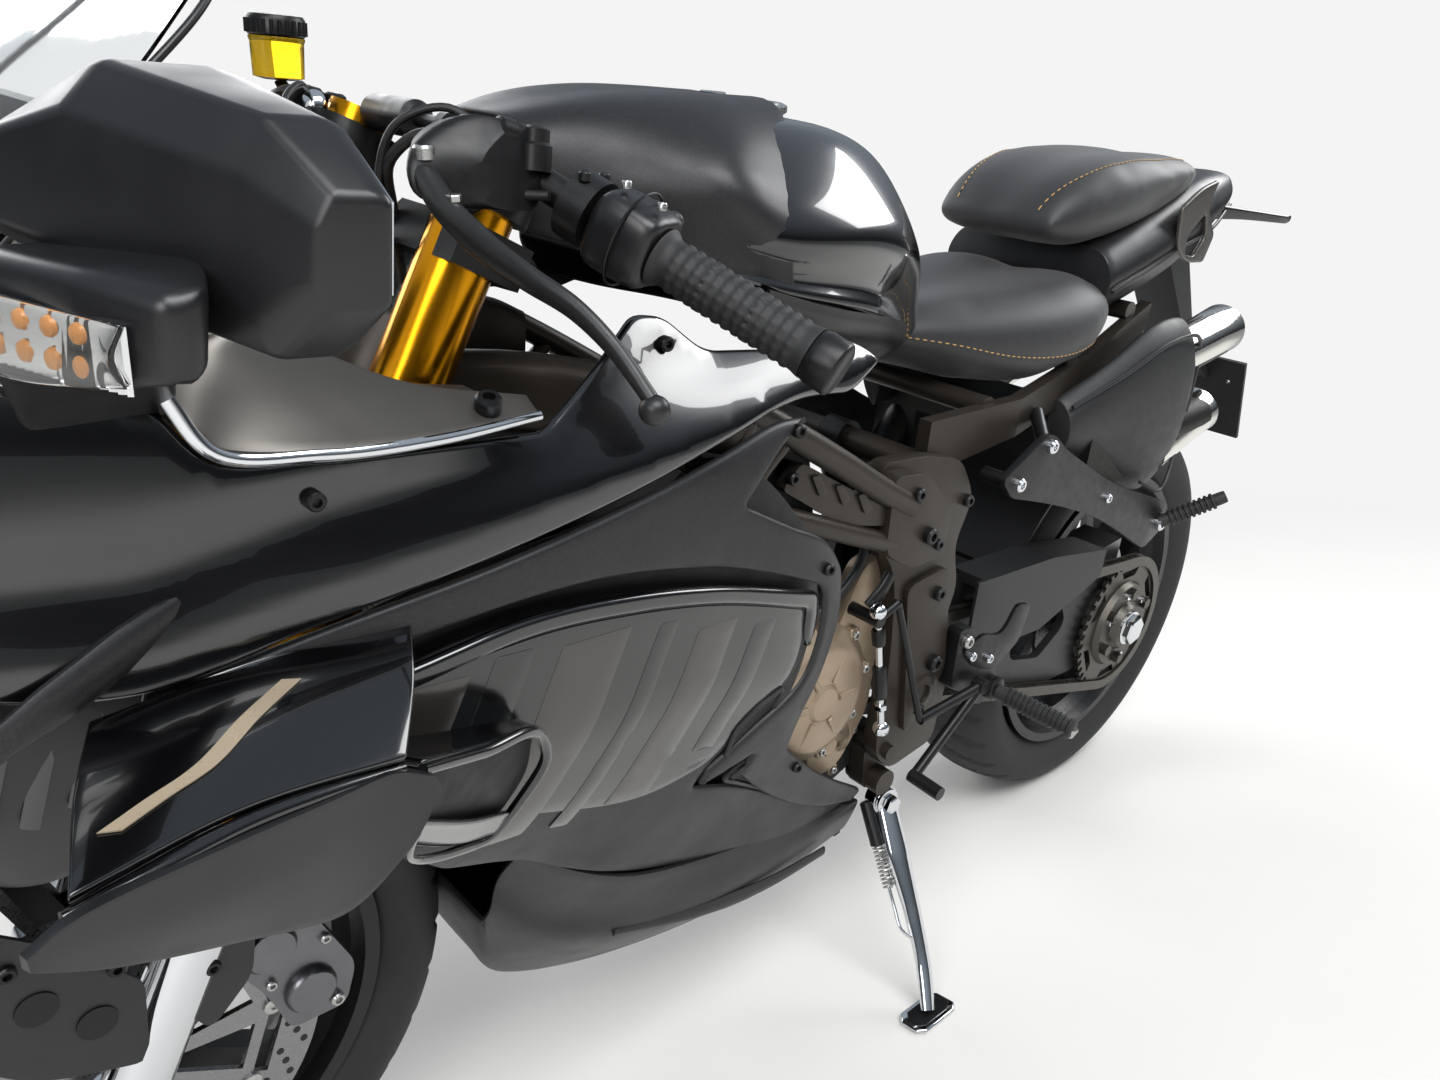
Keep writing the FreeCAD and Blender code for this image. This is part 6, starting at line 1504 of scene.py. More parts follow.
def frame_parts():
    """Tubular side frames on cast pivot plates, with the steering head and the stand's lug."""
    head_way = Vector((-0.4147, 0, 0.91))
    head_foot = Vector((804 - 0.4557 * 740, 0, 740))
    head = turned([(0, 36), (6, 40), (110, 40), (116, 36)], head_foot, head_way, 40)
    beam = lofted([[(455, 8, 818), (455, 34, 812), (455, 34, 764), (455, 8, 762)],
                   [(370, 60, 824), (372, 86, 818), (372, 86, 772), (370, 60, 768)],
                   [(318, 128, 826), (316, 156, 818), (316, 156, 776), (318, 128, 772)],
                   [(240, 160, 812), (236, 186, 806), (232, 186, 764), (240, 160, 758)],
                   [(196, 166, 794), (190, 190, 788), (190, 190, 752), (196, 166, 746)]], 28, 6)
    castings = [plate([(6, 706, 14), (-60, 704, 16), (-128, 690, 18), (-158, 640, 0), (-146, 590, 0),
                       (-160, 533, 0), (-152, 485, 0), (-180, 420, 16), (-170, 328, 14),
                       (-92, 316, 16), (-66, 345, 0), (-62, 420, 0), (-56, 500, 0), (-36, 585, 0),
                       (-4, 622, 14)], 150, 169),
                plate([(10, 700, 14), (-44, 696, 20), (-96, 644, 14), (-92, 596, 12), (-42, 592, 14),
                       (6, 618, 14)], 166, 190),
                plate([(-60, 560, 16), (-132, 570, 18), (-146, 500, 20), (-160, 430, 18),
                       (-100, 360, 18), (-80, 470, 20)], 166, 176)]
    tubes = [swept([(214, 183, 792), (168, 184, 769), (90, 184, 727), (12, 183, 683),
                    (-30, 182, 662)], 13.0, 20),
             swept([(216, 180, 706), (150, 182, 684), (60, 182, 650), (-10, 180, 624)], 10.5, 18),
             swept([(214, 180, 706), (220, 182, 740), (212, 183, 782)], 11.0, 16),
             swept([(156, 181, 762), (186, 181, 734), (208, 180, 706)], 8.5, 14)]
    inserts = [plate([(160, 712, 8), (138, 734, 6), (4, 664, 6), (-2, 646, 8), (60, 660, 0)],
                     172, 184)]
    for x, z in ((34, 668), (68, 683), (102, 698)):
        inserts.append(plate([(x, z + 4, 3), (x + 14, z + 22, 3), (x + 24, z + 22, 3),
                              (x + 10, z, 3)], 183, 187))
    pivot = turned([(0, 24), (8, 24), (11, 20), (11, 12), (6, 11)], (-120, 168, 412), LEFT, 36)
    stay = turned([(0, 9), (70, 9)], (300, 152, 772), LEFT, 18)
    bars = [across_frame(-125, 668, 168, 15, 24), across_frame(-82, 345, 176, 9, 18),
            across_frame(-120, 412, 150, 11, 20)]
    lug = [turned([(120, 16), (168, 16)], (-92, 0, 296), LEFT, 28),
           plate([(-120, 340, 10), (-66, 340, 10), (-74, 284, 10), (-110, 284, 10)], 128, 150)]
    piece("frame_head_and_bars", *joined(head, *bars, *lug), FRAME, replaces=("main_frame",),
          slot="frame_metal")
    rounded = (2.4, 40, 3)
    for name, parts, soft in (("frame_beams", [beam], None), ("frame_castings", castings, rounded),
                              ("frame_tubes", tubes, None), ("frame_inserts", inserts, rounded),
                              ("frame_stays", [stay, pivot], None)):
        piece(name, *both_sides(*joined(*parts)), FRAME, slot="frame_metal", soft=soft)
    # Columns: x, z, y of the face below the head, head radius.
    rows = [(-59, 626, 190, 9), (-30, 676, 190, 7), (-78, 612, 190, 6), (-116, 540, 176, 8),
            (-130, 450, 176, 10), (-118, 392, 176, 7), (-150, 640, 169, 7), (150, 722, 184, 6)]
    screws = [bolt((x, y, z), LEFT, radius) for x, z, y, radius in rows]
    piece("frame_screws", *both_sides(*joined(*screws)), BLACK_METAL, slot="black_metal")


def engine_parts():
    """Turned side covers with rim screws, a gearbox cover, fins and hoses behind the panels."""
    cover_hub, low_hub = (45, 0, 452), (0, 0, 372)
    cover = turned([(0, 80), (8, 82), (16, 78), (20, 70), (26, 66), (30, 56), (30, 22), (34, 18),
                    (34, 1)], (45, 140, 452), LEFT, 64)
    low = turned([(0, 42), (8, 44), (14, 38), (18, 34), (18, 12), (21, 10), (21, 1)],
                 (0, 132, 372), LEFT, 48)
    gear = plate([(-58, 402, 14), (-30, 352, 16), (12, 372, 16), (14, 520, 14), (-16, 588, 16),
                  (-48, 588, 12), (-60, 510, 16)], 128, 150)
    bosses, screws = [], []
    for x, z in places_round(cover_hub, 79, 9, math.radians(12)):
        bosses.append(turned([(0, 9), (16, 9), (18, 7)], (x, 140, z), LEFT, 20))
        screws.append(bolt((x, 156, z), LEFT, 5))
    for x, z in places_round(low_hub, 43, 5, math.radians(30)):
        bosses.append(turned([(0, 8), (14, 8), (15, 6)], (x, 132, z), LEFT, 18))
        screws.append(bolt((x, 146, z), LEFT, 4.5))
    ribs = [swept([(near[0], 171, near[1]), (far[0], 168, far[1])], [(3, 4), (2, 2)], 10)
            for near, far in zip(places_round(cover_hub, 24, 6), places_round(cover_hub, 56, 6))]
    piece("engine_side_covers", *both_sides(*joined(cover, low, gear, *bosses, *ribs)), CHAMPAGNE,
          replaces=("engine_covers",), slot="cover_metal", soft=(1.4, 40))
    piece("engine_cover_screws", *both_sides(*joined(*screws)), STEEL, slot="steel")
    hoses = [swept([(120, 128, 560), (60, 134, 600), (10, 130, 640), (-60, 120, 660)], 10, 16),
             swept([(210, 140, 560), (150, 142, 600), (110, 138, 660), (120, 120, 740)], 12, 16),
             swept([(80, 150, 540), (40, 156, 560), (-10, 150, 600), (-20, 140, 650)], 5, 12)]
    piece("coolant_hoses", *both_sides(*joined(*hoses)), CABLE, slot="rubber")
    clips = [turned([(0, 13), (7, 13)], (60, 134, 600), (-0.8, 0, 0.5), 24),
             turned([(0, 15), (7, 15)], (150, 142, 600), (-0.6, 0, 0.8), 24)]
    piece("hose_clips", *both_sides(*joined(*clips)), STEEL, slot="steel")
    fins = [plate([(66, z, 3), (236, z, 3), (236, z + 5, 2), (66, z + 5, 2)], 118, 132)
            for z in range(556, 653, 16)]
    piece("cylinder_ribs", *both_sides(*joined(*fins)), ENGINE, slot="engine_metal")


def shift_linkage():
    """Gear shift rod with its sleeves, nuts and ball joints, and the arm on the gearbox."""
    top, low = Vector((-4, 184, 551)), Vector((-40, 186, 400))
    way = (low - top).normalized()
    rod = turned([(0, 4), ((low - top).length, 4)], top, way, 14)
    nuts = [hexagon(top + way * 26, way, 7, 7), hexagon(low - way * 34, way, 7, 7)]
    joints = [ball(9, place, LEFT, 20, 9.5) for place in (top, low)]
    sleeves = [turned([(22, 6), (24, 7.5), (40, 7.5), (42, 6)], top, way, 20),
               turned([(70, 6), (72, 7.5), (110, 7.5), (112, 6)], top, way, 20)]
    arm = swept([(-4, 172, 551), (-20, 174, 570), (-30, 172, 582)], [(5, 9), (5, 7)], 14)
    piece("shift_rod", *joined(rod, *nuts, *joints), CHROME, slot="chrome")
    piece("shift_rod_sleeves", *joined(*sleeves, arm), BLACK_METAL, slot="black_metal")


def ridges(count, pitch, root, crest, flank, flat):
    """Profile of a peg's moulded ridges, from 14 mm out."""
    steps = ((0, root), (flank, crest), (flank + flat, crest), (2 * flank + flat, root))
    return [(14 + number * pitch + step, radius) for number in range(count)
            for step, radius in steps]


def rider_pegs():
    """Ridged rider pegs on their hangers, with heel guards, on both sides."""
    start, end = Vector((-248, 196, 383)), Vector((-262, 292, 376))
    profile = [(0, 10)] + ridges(12, 6.4, 9.5, 12, 0.8, 2.6) + [(94, 9.5), (96, 13), (100, 13), (102, 9)]
    sleeve = turned(profile, start, end - start, 28)
    handed("rider_peg_sleeve", sleeve, RUBBER, "rubber", "foot_pegs")
    hanger = plate([(-158, 486, 8), (-186, 484, 8), (-196, 456, 0), (-240, 430, 14), (-262, 384, 16),
                    (-228, 362, 16), (-196, 392, 0), (-160, 410, 10)], 170, 188)
    knuckle = turned([(0, 15), (16, 15), (18, 12)], (-246, 182, 386), LEFT, 26)
    handed("rider_peg_hanger", joined(knuckle, hanger), BLACK_METAL, "black_metal", soft=(2.2, 40, 3))
    tips = [turned([(0, 9), (3, 9), (12, 4), (13, 1)], end, (0, 0.1, -1), 16),
            bolt((-172, 188, 470), LEFT, 8)]
    handed("rider_peg_tips", joined(*tips), STEEL, "steel")
    guard = plate([(-168, 458, 8), (-196, 430, 0), (-240, 412, 10), (-288, 440, 12), (-296, 486, 10),
                   (-268, 492, 8), (-244, 462, 0), (-204, 470, 8)], 186, 191)
    handed("heel_guard", guard, BLACK_METAL, "black_metal", soft=(1.2,))
    screws = joined(bolt((-184, 191, 448), LEFT, 6), bolt((-222, 191, 434), LEFT, 6))
    handed("heel_guard_screws", screws, CHROME, "chrome")


def exhaust_parts():
    """Polished outlets stacked in pairs on each side, and the moulded heat cover before them."""
    tips = []
    for base, end in (((-556, 150, 748), (-726, 152, 781)), ((-586, 150, 622), (-712, 152, 668))):
        way = Vector(end) - Vector(base)
        length = way.length
        tips.append(turned([(0, 30), (length * 0.7, 31), (length - 5, 33), (length, 31),
                            (length - 1, 28), (length - 50, 26), (length - 52, 1)], base, way, 56))
    piece("exhaust_tips", *both_sides(*joined(*tips)), POLISHED, slot="exhaust_metal")
    cover = [[(-352, 132, 716), (-352, 158, 704), (-352, 160, 668), (-352, 134, 640)],
             [(-430, 146, 752), (-432, 172, 738), (-432, 176, 680), (-430, 150, 634)],
             [(-510, 146, 786), (-512, 182, 762), (-514, 184, 640), (-512, 148, 596)],
             [(-580, 144, 792), (-584, 182, 764), (-588, 184, 640), (-584, 146, 574)],
             [(-622, 140, 776), (-626, 170, 752), (-628, 170, 650), (-624, 142, 590)]]
    handed("muffler_cover", lofted(cover, 40, 6), MUFFLER_COVER, "matte_panel", soft=(1.5,))
    edge = swept([(-350, 160, 716), (-434, 176, 752), (-512, 184, 784), (-584, 184, 786),
                  (-628, 172, 752), (-630, 172, 650), (-588, 184, 578), (-520, 184, 600)], 2.6, 8)
    handed("muffler_cover_edge", edge, MUFFLER_COVER, "matte_panel")


def pillion_pegs():
    """Long plate brackets with their mounts, screws and ridged pillion pegs."""
    bracket = plate([(-176, 664, 10), (-200, 640, 10), (-232, 632, 0), (-400, 578, 0),
                     (-560, 500, 10), (-600, 520, 12), (-600, 560, 10), (-420, 622, 0),
                     (-300, 680, 10), (-262, 706, 12), (-240, 700, 10)], 184, 193)
    handed("pillion_peg_bracket", bracket, BLACK_METAL, "black_metal", soft=(2.2, 40, 3))
    mounts = joined(swept([(-292, 148, 714), (-272, 170, 700), (-256, 186, 692)],
                          [(8, 8), (8, 8)], 14),
                    swept([(-205, 150, 655), (-205, 186, 655)], 9, 14))
    handed("pillion_bracket_mounts", mounts, BLACK_METAL, "black_metal")
    screws = [bolt((x, 193, z), LEFT, radius) for x, z, radius in
              ((-206, 656, 8), (-258, 692, 8), (-585, 532, 9), (-420, 600, 6))]
    handed("pillion_bracket_screws", joined(*screws), CHROME, "chrome")
    start, end = Vector((-585, 194, 534)), Vector((-640, 262, 590))
    profile = [(0, 9)] + ridges(9, 7, 8.5, 11, 1, 3) + [(84, 8.5), (90, 8)]
    handed("pillion_peg", turned(profile, start, end - start, 26), RUBBER, "rubber")


def sprocket_nuts():
    """Chromed nuts on the sprocket's studs, and the wheel's centre nut on its washer."""
    node = frame["nodes"]["rear_sprocket"]
    reach = max((LEAN.inverted() @ (node.matrix_world @ v.co)).y for v in node.data.vertices)
    nuts = []
    for x, z in places_round(REAR_HUB, 52, 6, math.radians(20)):
        nuts.append(hexagon((x, 120, z), LEFT, 9.5, 10))
        nuts.append(turned([(0, 5), (14, 5), (15, 4)], (x, 120, z), LEFT, 16))
    centre = (REAR_HUB.x, reach - 1, REAR_HUB.z)
    nuts.append(hexagon(centre, LEFT, 24, 14))
    nuts.append(turned([(0, 27), (3, 27), (4, 25)], centre, LEFT, 40))
    piece("sprocket_nuts", *joined(*nuts), CHROME, body="rear_wheel", slot="chrome")


# The stand's foot plate, as shares of its half length and half width.
FOOT_OUTLINE = ((-1, -0.6), (-0.8, -1), (0.7, -1), (1, -0.5), (1, 0.6), (0.75, 1), (-0.7, 1), (-1, 0.6))


def side_stand_parts():
    """Forged chrome leg on its foot plate, with the return spring and hooked rod beside it."""
    def stand_piece(name, mesh, material, slot, **settings):
        """A piece that swings with the stand."""
        piece(name, *mesh, material, body="side_stand", slot=slot, **settings)

    pivot = LEAN.inverted() @ Vector(JOINTS["side_stand_fold"]["pos_m"])
    node = frame["nodes"]["side_stand"]
    spots = [node.matrix_world @ vertex.co for vertex in node.data.vertices]
    low = [spot for spot in spots if spot.z < 0.0065]
    foot = LEAN.inverted() @ (sum(low, Vector()) / len(low))
    start = pivot + Vector((-2, 8, -8))
    way = foot - start
    bow = Vector((-7, 2, 0))
    path = [start, start + way * 0.25 + bow * 0.4, start + way * 0.55 + bow, start + way * 0.8 + bow,
            foot + Vector((0, 0, 4))]
    leg = swept(path, [(14, 9), (16, 9), (12, 7.5), (10, 7), (9, 6.5)], 20)
    eye = turned([(-8, 12), (-8, 18), (8, 18), (8, 12)], pivot, (0.15, 1, 0.1), 32)
    stand_piece("stand_leg", joined(leg, eye), CHROME, "chrome", replaces=("side_stand",))

    floor_way = (LEAN.to_3x3().inverted() @ Vector(UP)).normalized()
    ahead = Vector((1, 0, 0))
    across = floor_way.cross(ahead).normalized()

    def foot_rings(sizes):
        """The foot's outline at heights, each with its half length and half width."""
        return np.array([[tuple(foot + floor_way * high + ahead * x * far + across * y * wide)
                          for x, y in FOOT_OUTLINE] for high, far, wide in sizes])

    rim = closed_rings(foot_rings(((-2.6, 34, 19), (-0.2, 35.5, 20.5), (2.3, 34, 19))))
    stand_piece("stand_foot_rim", rim, CHROME, "chrome", soft=(1.0,))
    pad = closed_rings(foot_rings(((2.0, 27, 14), (3.4, 27, 14))))
    stand_piece("stand_foot_pad", pad, BLACK_METAL, "black_metal")

    hook = start + way * 0.5 + Vector((12, -8, 0))
    top = pivot + Vector((14, -10, -6))
    down = (hook - top).normalized()
    side = down.orthogonal().normalized()
    other = down.cross(side)
    length = (hook - top).length
    # The spring takes the middle of the run: t is the share of its own length.
    coil = [top + down * (length * (0.42 + 0.4 * t))
            + (side * math.cos(t * 70) + other * math.sin(t * 70)) * 6.0
            for t in np.linspace(0, 1, 130)]
    stand_piece("stand_spring", swept(coil, 1.5, 8, 2.4), STEEL, "steel")
    sleeve = turned([(0, 5), (2, 8.5), (length * 0.42, 8.5), (length * 0.43, 5)], top, down, 22)
    stand_piece("stand_spring_sleeve", sleeve, BLACK_METAL, "black_metal")
    rod = swept([top + down * length * 0.8, hook, hook + down * 26 + Vector((0, 4, 0)),
                 hook + down * 34 + Vector((-8, 6, 0))], 2.2, 10)
    stand_piece("stand_spring_hook", rod, CHROME, "chrome")
    heads = joined(hexagon(pivot + Vector((0, 14, 0)), (0.1, 1, 0), 11, 9),
                   turned([(0, 16), (4, 16), (5, 13)], pivot + Vector((0, 8, 0)), (0.1, 1, 0), 30))
    stand_piece("stand_pivot_bolt", heads, CHROME, "chrome")


TYRE_BEAD = 219.0
GROOVE_DEPTH = 3.5


def tyre_skin(name, hub, radius, half, body, blocks):
    """A tyre with a rounded crown and swept grooves cut into its tread."""
    # Columns: share of the half width, share of the way from the bead to the crown.
    section = [(-0.62, 0.0), (-0.84, 0.16), (-0.985, 0.42), (-0.97, 0.62), (-0.82, 0.8),
               (-0.5, 0.93), (0, 1.0), (0.5, 0.93), (0.82, 0.8), (0.97, 0.62), (0.985, 0.42),
               (0.84, 0.16), (0.62, 0.0)]
    columns, turns = 45, 420
    curve = smooth_values(np.arange(len(section)), section, np.linspace(0, len(section) - 1, columns))
    points = []
    for row in range(turns):
        turn = 2 * math.pi * row / turns
        for share_y, share_r in curve:
            away = TYRE_BEAD + (radius - TYRE_BEAD) * share_r
            sideways = abs(share_y)
            swing = (turn * blocks / (2 * math.pi) + sideways * 0.9) % 1.0
            long_groove = 0.06 < sideways < 0.88 and swing < 0.17
            short_groove = 0.3 < sideways < 0.7 and (swing + 0.45 - sideways) % 1.0 < 0.1
            if share_r > 0.7 and (long_groove or short_groove):
                away -= GROOVE_DEPTH
            points.append((hub.x + away * math.cos(turn), share_y * half,
                           hub.z + away * math.sin(turn)))
    piece(name + "_skin", points, ring_faces(turns, columns, endless=True), TYRE, body=body,
          replaces=(name,), slot="tyre")


def ring_band(hub, y, inner, outer, thick):
    """A thin flat ring round an axle."""
    profile = [(y, inner), (y + thick, inner), (y + thick, outer), (y, outer)]
    count = 160
    turns = np.linspace(0, 2 * math.pi, count, endpoint=False)
    points = [(hub.x + r * math.cos(t), y, hub.z + r * math.sin(t)) for t in turns
              for y, r in profile]
    return points, ring_faces(count, len(profile), endless=True)


def wheels():
    """Tyres with cut tread, pinstriped rims, and the front discs' buttons and drillings, the drillings
    drawn as thin near-black discs of painted shade.
    """
    tyre_skin("front_tyre", FRONT_HUB, 300, 60, "front_wheel", 34)
    tyre_skin("rear_tyre", REAR_HUB, 315, 90, "rear_wheel", 30)
    for name, hub, y in (("front", FRONT_HUB, 46), ("rear", REAR_HUB, 72)):
        bands = [ring_band(hub, side * y, 214, 218.5, side * 1.2) for side in (1, -1)]
        piece(name + "_rim_pinstripe", *joined(*bands), PINSTRIPE, body=name + "_wheel",
              slot="rim_metal")
    holes, buttons = [], []
    for side in (1, -1):
        for radius, first in ((134, 0.0), (143, 0.07), (152, 0.14)):
            for x, z in places_round(FRONT_HUB, radius, 30, first):
                # Each drilling is a thin near-black disc on the disc face: painted shade standing in for
                # the hole.
                holes.append(turned([(0, 3.1), (0.35, 3.1), (0.36, 2.6)], (x, side * 74.6, z),
                                    (0, side, 0), 12))
        for x, z in places_round(FRONT_HUB, 120, 10):
            buttons.append(turned([(-1, 8), (5, 8), (6, 6.5), (6, 3), (4.5, 2.5)], (x, side * 72, z),
                                  (0, side, 0), 22))
    piece("front_disc_hole_shade", *joined(*holes), SHADE_BLACK, body="front_wheel", slot="disc_steel")
    piece("front_disc_buttons", *joined(*buttons), STEEL, body="front_wheel", slot="steel")


def front_brakes():
    """Radial calipers with two round pistons a side, with their screws and hoses."""
    body = slab(outline(polar(FRONT_HUB, [(126, 122, 10), (126, 168, 8), (140, 182, 10),
                                          (168, 182, 12), (180, 168, 10), (180, 122, 10),
                                          (154, 114, 0)])), 80, 108)
    pistons = [turned([(0, 21), (5, 21), (9, 18), (9, 12), (8, 1)], (x, 107, z), LEFT, 36)
               for x, z, _ in polar(FRONT_HUB, [(140, 143, 0), (166, 143, 0)])]
    bridge = slab(outline(polar(FRONT_HUB, [(136, 170, 5), (136, 182, 5), (170, 182, 5),
                                            (170, 170, 5)])), 62, 84)
    steered("radial_caliper", joined(body, bridge, *pistons), CALIPER, "caliper_metal",
            "front_calipers", soft=(2.4, 40, 3))
    # Columns: angle, distance from the hub, head radius.
    heads = polar(FRONT_HUB, [(130, 160, 6), (176, 160, 6), (153, 172, 4.5), (153, 122, 4.5)])
    screws = [bolt((x, 108, z), LEFT, radius) for x, z, radius in heads]
    x, z, _ = polar(FRONT_HUB, [(146, 178, 0)])[0]
    screws.append(turned([(0, 7), (5, 7), (6, 4), (14, 4), (15, 2)], (x, 96, z), (-0.5, 0.4, 0.7), 16))
    steered("caliper_screws", joined(*screws), STEEL, "steel")
    hose = swept([(x, 98, z + 8), (x + 6, 110, z + 60), (624, 104, 520), (604, 84, 600),
                  (590, 60, 690)], 4.0, 12)
    steered("brake_hose", hose, CABLE, "rubber")


def fork_guards():
    """Flat plastic guards on the fork feet, with pads and screws."""
    guard = plate([(776, 520, 14), (720, 470, 0), (684, 424, 8), (688, 352, 14), (760, 384, 0),
                   (812, 450, 16)], 121, 125)
    rear_guard = plate([(654, 456, 12), (606, 438, 12), (612, 388, 12), (646, 352, 14),
                        (668, 398, 10)], 119, 123)
    steered("fork_guard", joined(guard, rear_guard), ABS, "matte_panel", soft=(2.0, 40, 3))
    pads = [turned([(0, 13), (1.5, 13), (1.6, 9)], (x, 125, z), LEFT, 28)
            for x, z in ((748, 440), (716, 408))]
    heads = [bolt(place, LEFT, 6) for place in ((700, 125, 448), (640, 123, 412), (760, 125, 478))]
    steered("fork_guard_screws", joined(*pads, *heads), BLACK_METAL, "black_metal")


def on_tail(flat, lift):
    """Side view points set on the tail's flank, lifted off it sideways."""
    x, z = flat[:, 0], flat[:, 1]
    wide = np.interp(x, (-880, -800, -700, -560, -448), (48, 85, 107, 119, 121))
    return np.column_stack([x, wide + 1.5 + lift, z])


def tail_parts():
    """Tail shell with silver side vents over near-black sheets of painted shade, smoked indicators and a
    slim lamp.
    """
    rows = [(-446, 88, 794, 120, 838, 887), (-560, 84, 816, 117, 868, 924),
            (-700, 72, 853, 105, 908, 964), (-800, 50, 891, 83, 936, 976),
            (-878, 20, 939, 45, 954, 972)]
    piece("tail_shell", *lofted(seat_rings(rows, 0), 72, 8), ABS_SMOOTH, replaces=("tail_fairing",),
          slot="matte_panel", soft=(1.2, 45))
    vent = outline([(-588, 936, 8), (-640, 958, 0), (-694, 970, 8), (-680, 940, 0), (-734, 896, 10),
                    (-706, 862, 10), (-640, 868, 0), (-602, 884, 12)])
    hole = outline([(-626, 900, 8), (-672, 928, 8), (-692, 896, 8), (-666, 872, 8), (-632, 876, 8)])
    panel = skin([vent, hole], lift=4.0, wall=5.0, roll=2.2, grid=8.0, surface=on_tail)
    handed("tail_vent", panel, TRIM, "steel")
    # Near-black sheet behind the vent's hole: painted shade inside the tail.
    dark = skin([inset(hole, -2.0)], lift=-2.0, wall=1.0, roll=0.5, grid=10.0, surface=on_tail)
    handed("tail_vent_mouth_shade", dark, SHADE_BLACK, "matte_panel")
    fold = on_tail(np.array([(-452, 838), (-540, 862), (-600, 880), (-720, 906), (-820, 934)]), 1.0)
    handed("tail_crease", swept(fold, 2.4, 8), ABS_SMOOTH, "matte_panel")
    stalk = [[(-782, 80, 934), (-784, 78, 920), (-770, 76, 914), (-766, 80, 930)],
             [(-850, 98, 929), (-852, 97, 919), (-836, 94, 915), (-830, 98, 927)],
             [(-934, 122, 923), (-935, 121, 915), (-922, 119, 912), (-918, 122, 921)]]
    handed("rear_indicator", lofted(stalk, 28, 6), SMOKED_LENS, "lamp", "tail_lights", soft=(1.2,))
    lamp = [[(-874, -30, 930), (-874, 0, 934), (-874, 30, 930)],
            [(-868, -32, 914), (-870, 0, 916), (-868, 32, 914)],
            [(-846, -28, 898), (-850, 0, 898), (-846, 28, 898)]]
    piece("tail_lamp", *curved_sheet(lamp, 5.0, 6, 6), RED_LENS, slot="lamp")


side_stand_parts()
wheels()
front_brakes()
fork_guards()
tail_parts()
frame_parts()
engine_parts()
shift_linkage()
rider_pegs()
exhaust_parts()
pillion_pegs()
sprocket_nuts()


# Stage, light and camera


# Camera in the frame, in metres, from the photograph's own perspective.
CAMERA_PLACE = (0.8353, 0.7788, 0.8521)
CAMERA_YAW = 48.46
CAMERA_PITCH = 14.03
CAMERA_ROLL = -2.98
CAMERA_LENS = 27.4


def camera():
    """The camera that sees the motorcycle as the photograph does."""
    yaw, pitch, roll = (math.radians(v) for v in (CAMERA_YAW, CAMERA_PITCH, CAMERA_ROLL))
    look = Vector((-math.cos(yaw) * math.cos(pitch), -math.sin(yaw) * math.cos(pitch),
                   -math.sin(pitch)))
    right = look.cross(Vector((0, 0, 1))).normalized()
    up = right.cross(look)
    tilted_right = right * math.cos(roll) + up * math.sin(roll)
    tilted_up = up * math.cos(roll) - right * math.sin(roll)
    data = bpy.data.cameras.new("camera")
    data.lens = CAMERA_LENS
    data.sensor_width = 36
    data.clip_start = 0.02
    item = bpy.data.objects.new("camera", data)
    turn = Matrix((tilted_right, tilted_up, -look)).transposed()
    item.matrix_world = Matrix.Translation(CAMERA_PLACE) @ turn.to_4x4()
    bpy.context.scene.collection.objects.link(item)
    bpy.context.scene.camera = item


def soft_lamp(name, place, target, size, power):
    """A large soft box aimed at a place, in metres and watts."""
    data = bpy.data.lights.new(name, "AREA")
    data.shape = "RECTANGLE"
    data.size, data.size_y = size
    data.energy = power
    item = bpy.data.objects.new(name, data)
    item.location = place
    item.rotation_euler = (Vector(target) - Vector(place)).to_track_quat("-Z", "Y").to_euler()
    bpy.context.scene.collection.objects.link(item)


def floor_plane():
    """Pale floor that keeps the shadow and fades into the white backdrop."""
    mesh = bpy.data.meshes.new("floor")
    reach = 14.0
    mesh.from_pydata([(-reach, -reach, 0), (reach, -reach, 0), (reach, reach, 0),
                      (-reach, reach, 0)], [], [(0, 1, 2, 3)])
    floor = bpy.data.objects.new("floor", mesh)
    bpy.context.scene.collection.objects.link(floor)
    material, shader, place = finish_of("pale_floor", "#DAD9D6", Roughness=0.9)
    vary(material, shader, place, "Base Color", "#D6D5D2", "#DEDDDA", 400)
    away = add(material, "VectorMath", {"Vector": place}, operation="LENGTH")
    fade = add(material, "MapRange", {"Value": away.outputs["Value"], "From Min": 1.5,
                                      "From Max": 3.2, "To Min": 0.0, "To Max": 1.0})
    path = add(material, "LightPath", {})
    seen = add(material, "Math", {0: fade.outputs["Result"], 1: path.outputs["Is Camera Ray"]},
               operation="MULTIPLY")
    white = add(material, "Emission", {"Color": linear("#F4F4F4"), "Strength": 1.0})
    mixed = add(material, "MixShader", {0: seen.outputs["Value"], 1: shader.outputs["BSDF"],
                                        2: white.outputs["Emission"]})
    tree = material.node_tree
    end = next(node for node in tree.nodes if node.type == "OUTPUT_MATERIAL")
    tree.links.new(mixed.outputs["Shader"], end.inputs["Surface"])
    mesh.materials.append(material)


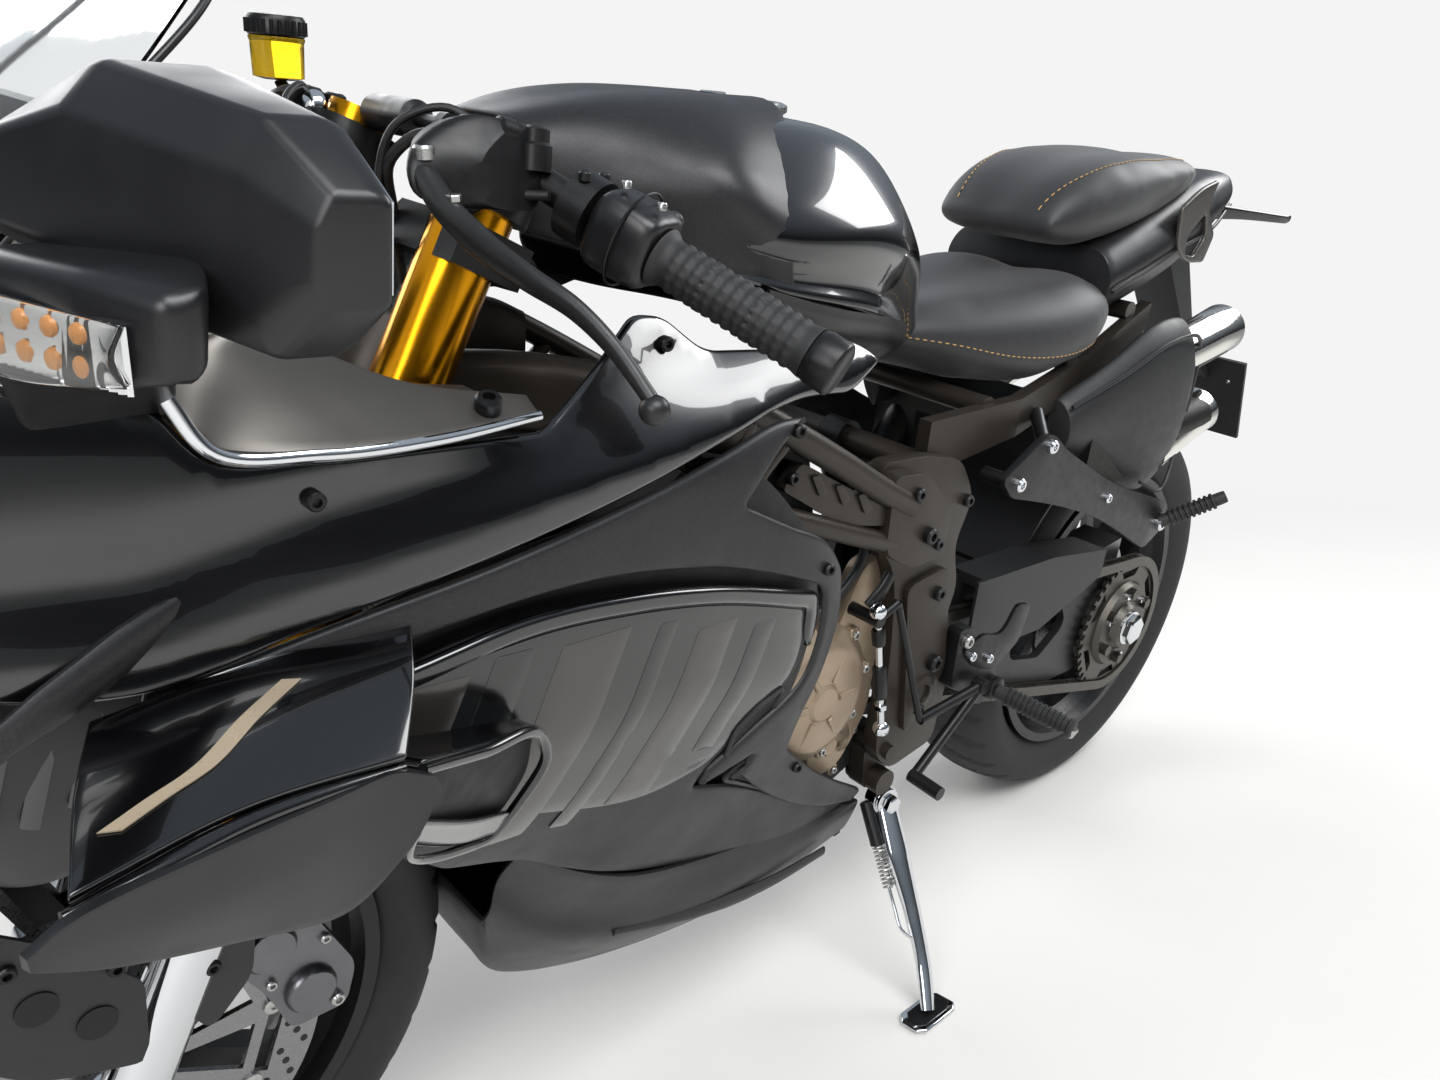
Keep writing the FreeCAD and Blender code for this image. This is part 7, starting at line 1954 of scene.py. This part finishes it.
def studio_sky():
    """White to the camera, a grey to pale blue sky to reflections, and an even light."""
    world = bpy.data.worlds.new("studio")
    bpy.context.scene.world = world
    world.use_nodes = True
    tree = world.node_tree
    tree.nodes.clear()
    output = add(world, "OutputWorld", {})
    way = add(world, "TexCoord", {})
    split = add(world, "SeparateXYZ", {"Vector": way.outputs["Generated"]})
    height = add(world, "MapRange", {"Value": split.outputs["Z"], "From Min": 0.02, "From Max": 0.5,
                                     "To Min": 0.0, "To Max": 1.0})
    sky = add(world, "MixRGB", {"Fac": height.outputs["Result"], "Color1": linear("#3C3D40"),
                                "Color2": linear("#B9C4D0")})
    seen_sky = add(world, "Background", {"Color": sky.outputs["Color"], "Strength": 0.75})
    light = add(world, "Background", {"Color": linear("#D5D9DE"), "Strength": 0.62})
    backdrop = add(world, "Background", {"Color": linear("#F4F4F4"), "Strength": 1.0})
    path = add(world, "LightPath", {})
    mirrored = add(world, "MixShader", {0: path.outputs["Is Glossy Ray"],
                                        1: light.outputs["Background"],
                                        2: seen_sky.outputs["Background"]})
    clear = add(world, "Math", {0: path.outputs["Is Camera Ray"],
                                1: path.outputs["Is Transmission Ray"]}, operation="MAXIMUM")
    final = add(world, "MixShader", {0: clear.outputs["Value"], 1: mirrored.outputs["Shader"],
                                     2: backdrop.outputs["Background"]})
    tree.links.new(final.outputs["Shader"], output.inputs["Surface"])


def lamps():
    """Four plain soft boxes: over the left side, behind, ahead and to the right."""
    soft_lamp("sky_lamp", (0.8, 2.4, 3.2), (0.1, 0, 0.5), (2.6, 1.5), 120)
    soft_lamp("rear_lamp", (-3.0, 0.8, 2.4), (0, 0, 0.7), (2.0, 1.4), 70)
    soft_lamp("front_lamp", (3.0, 1.8, 1.9), (0.4, 0, 0.7), (1.2, 1.6), 45)
    soft_lamp("right_lamp", (0.2, -3.0, 2.4), (0, 0, 0.5), (3.0, 1.6), 60)


camera()
floor_plane()
studio_sky()
lamps()
bpy.context.scene.view_settings.view_transform = "Standard"
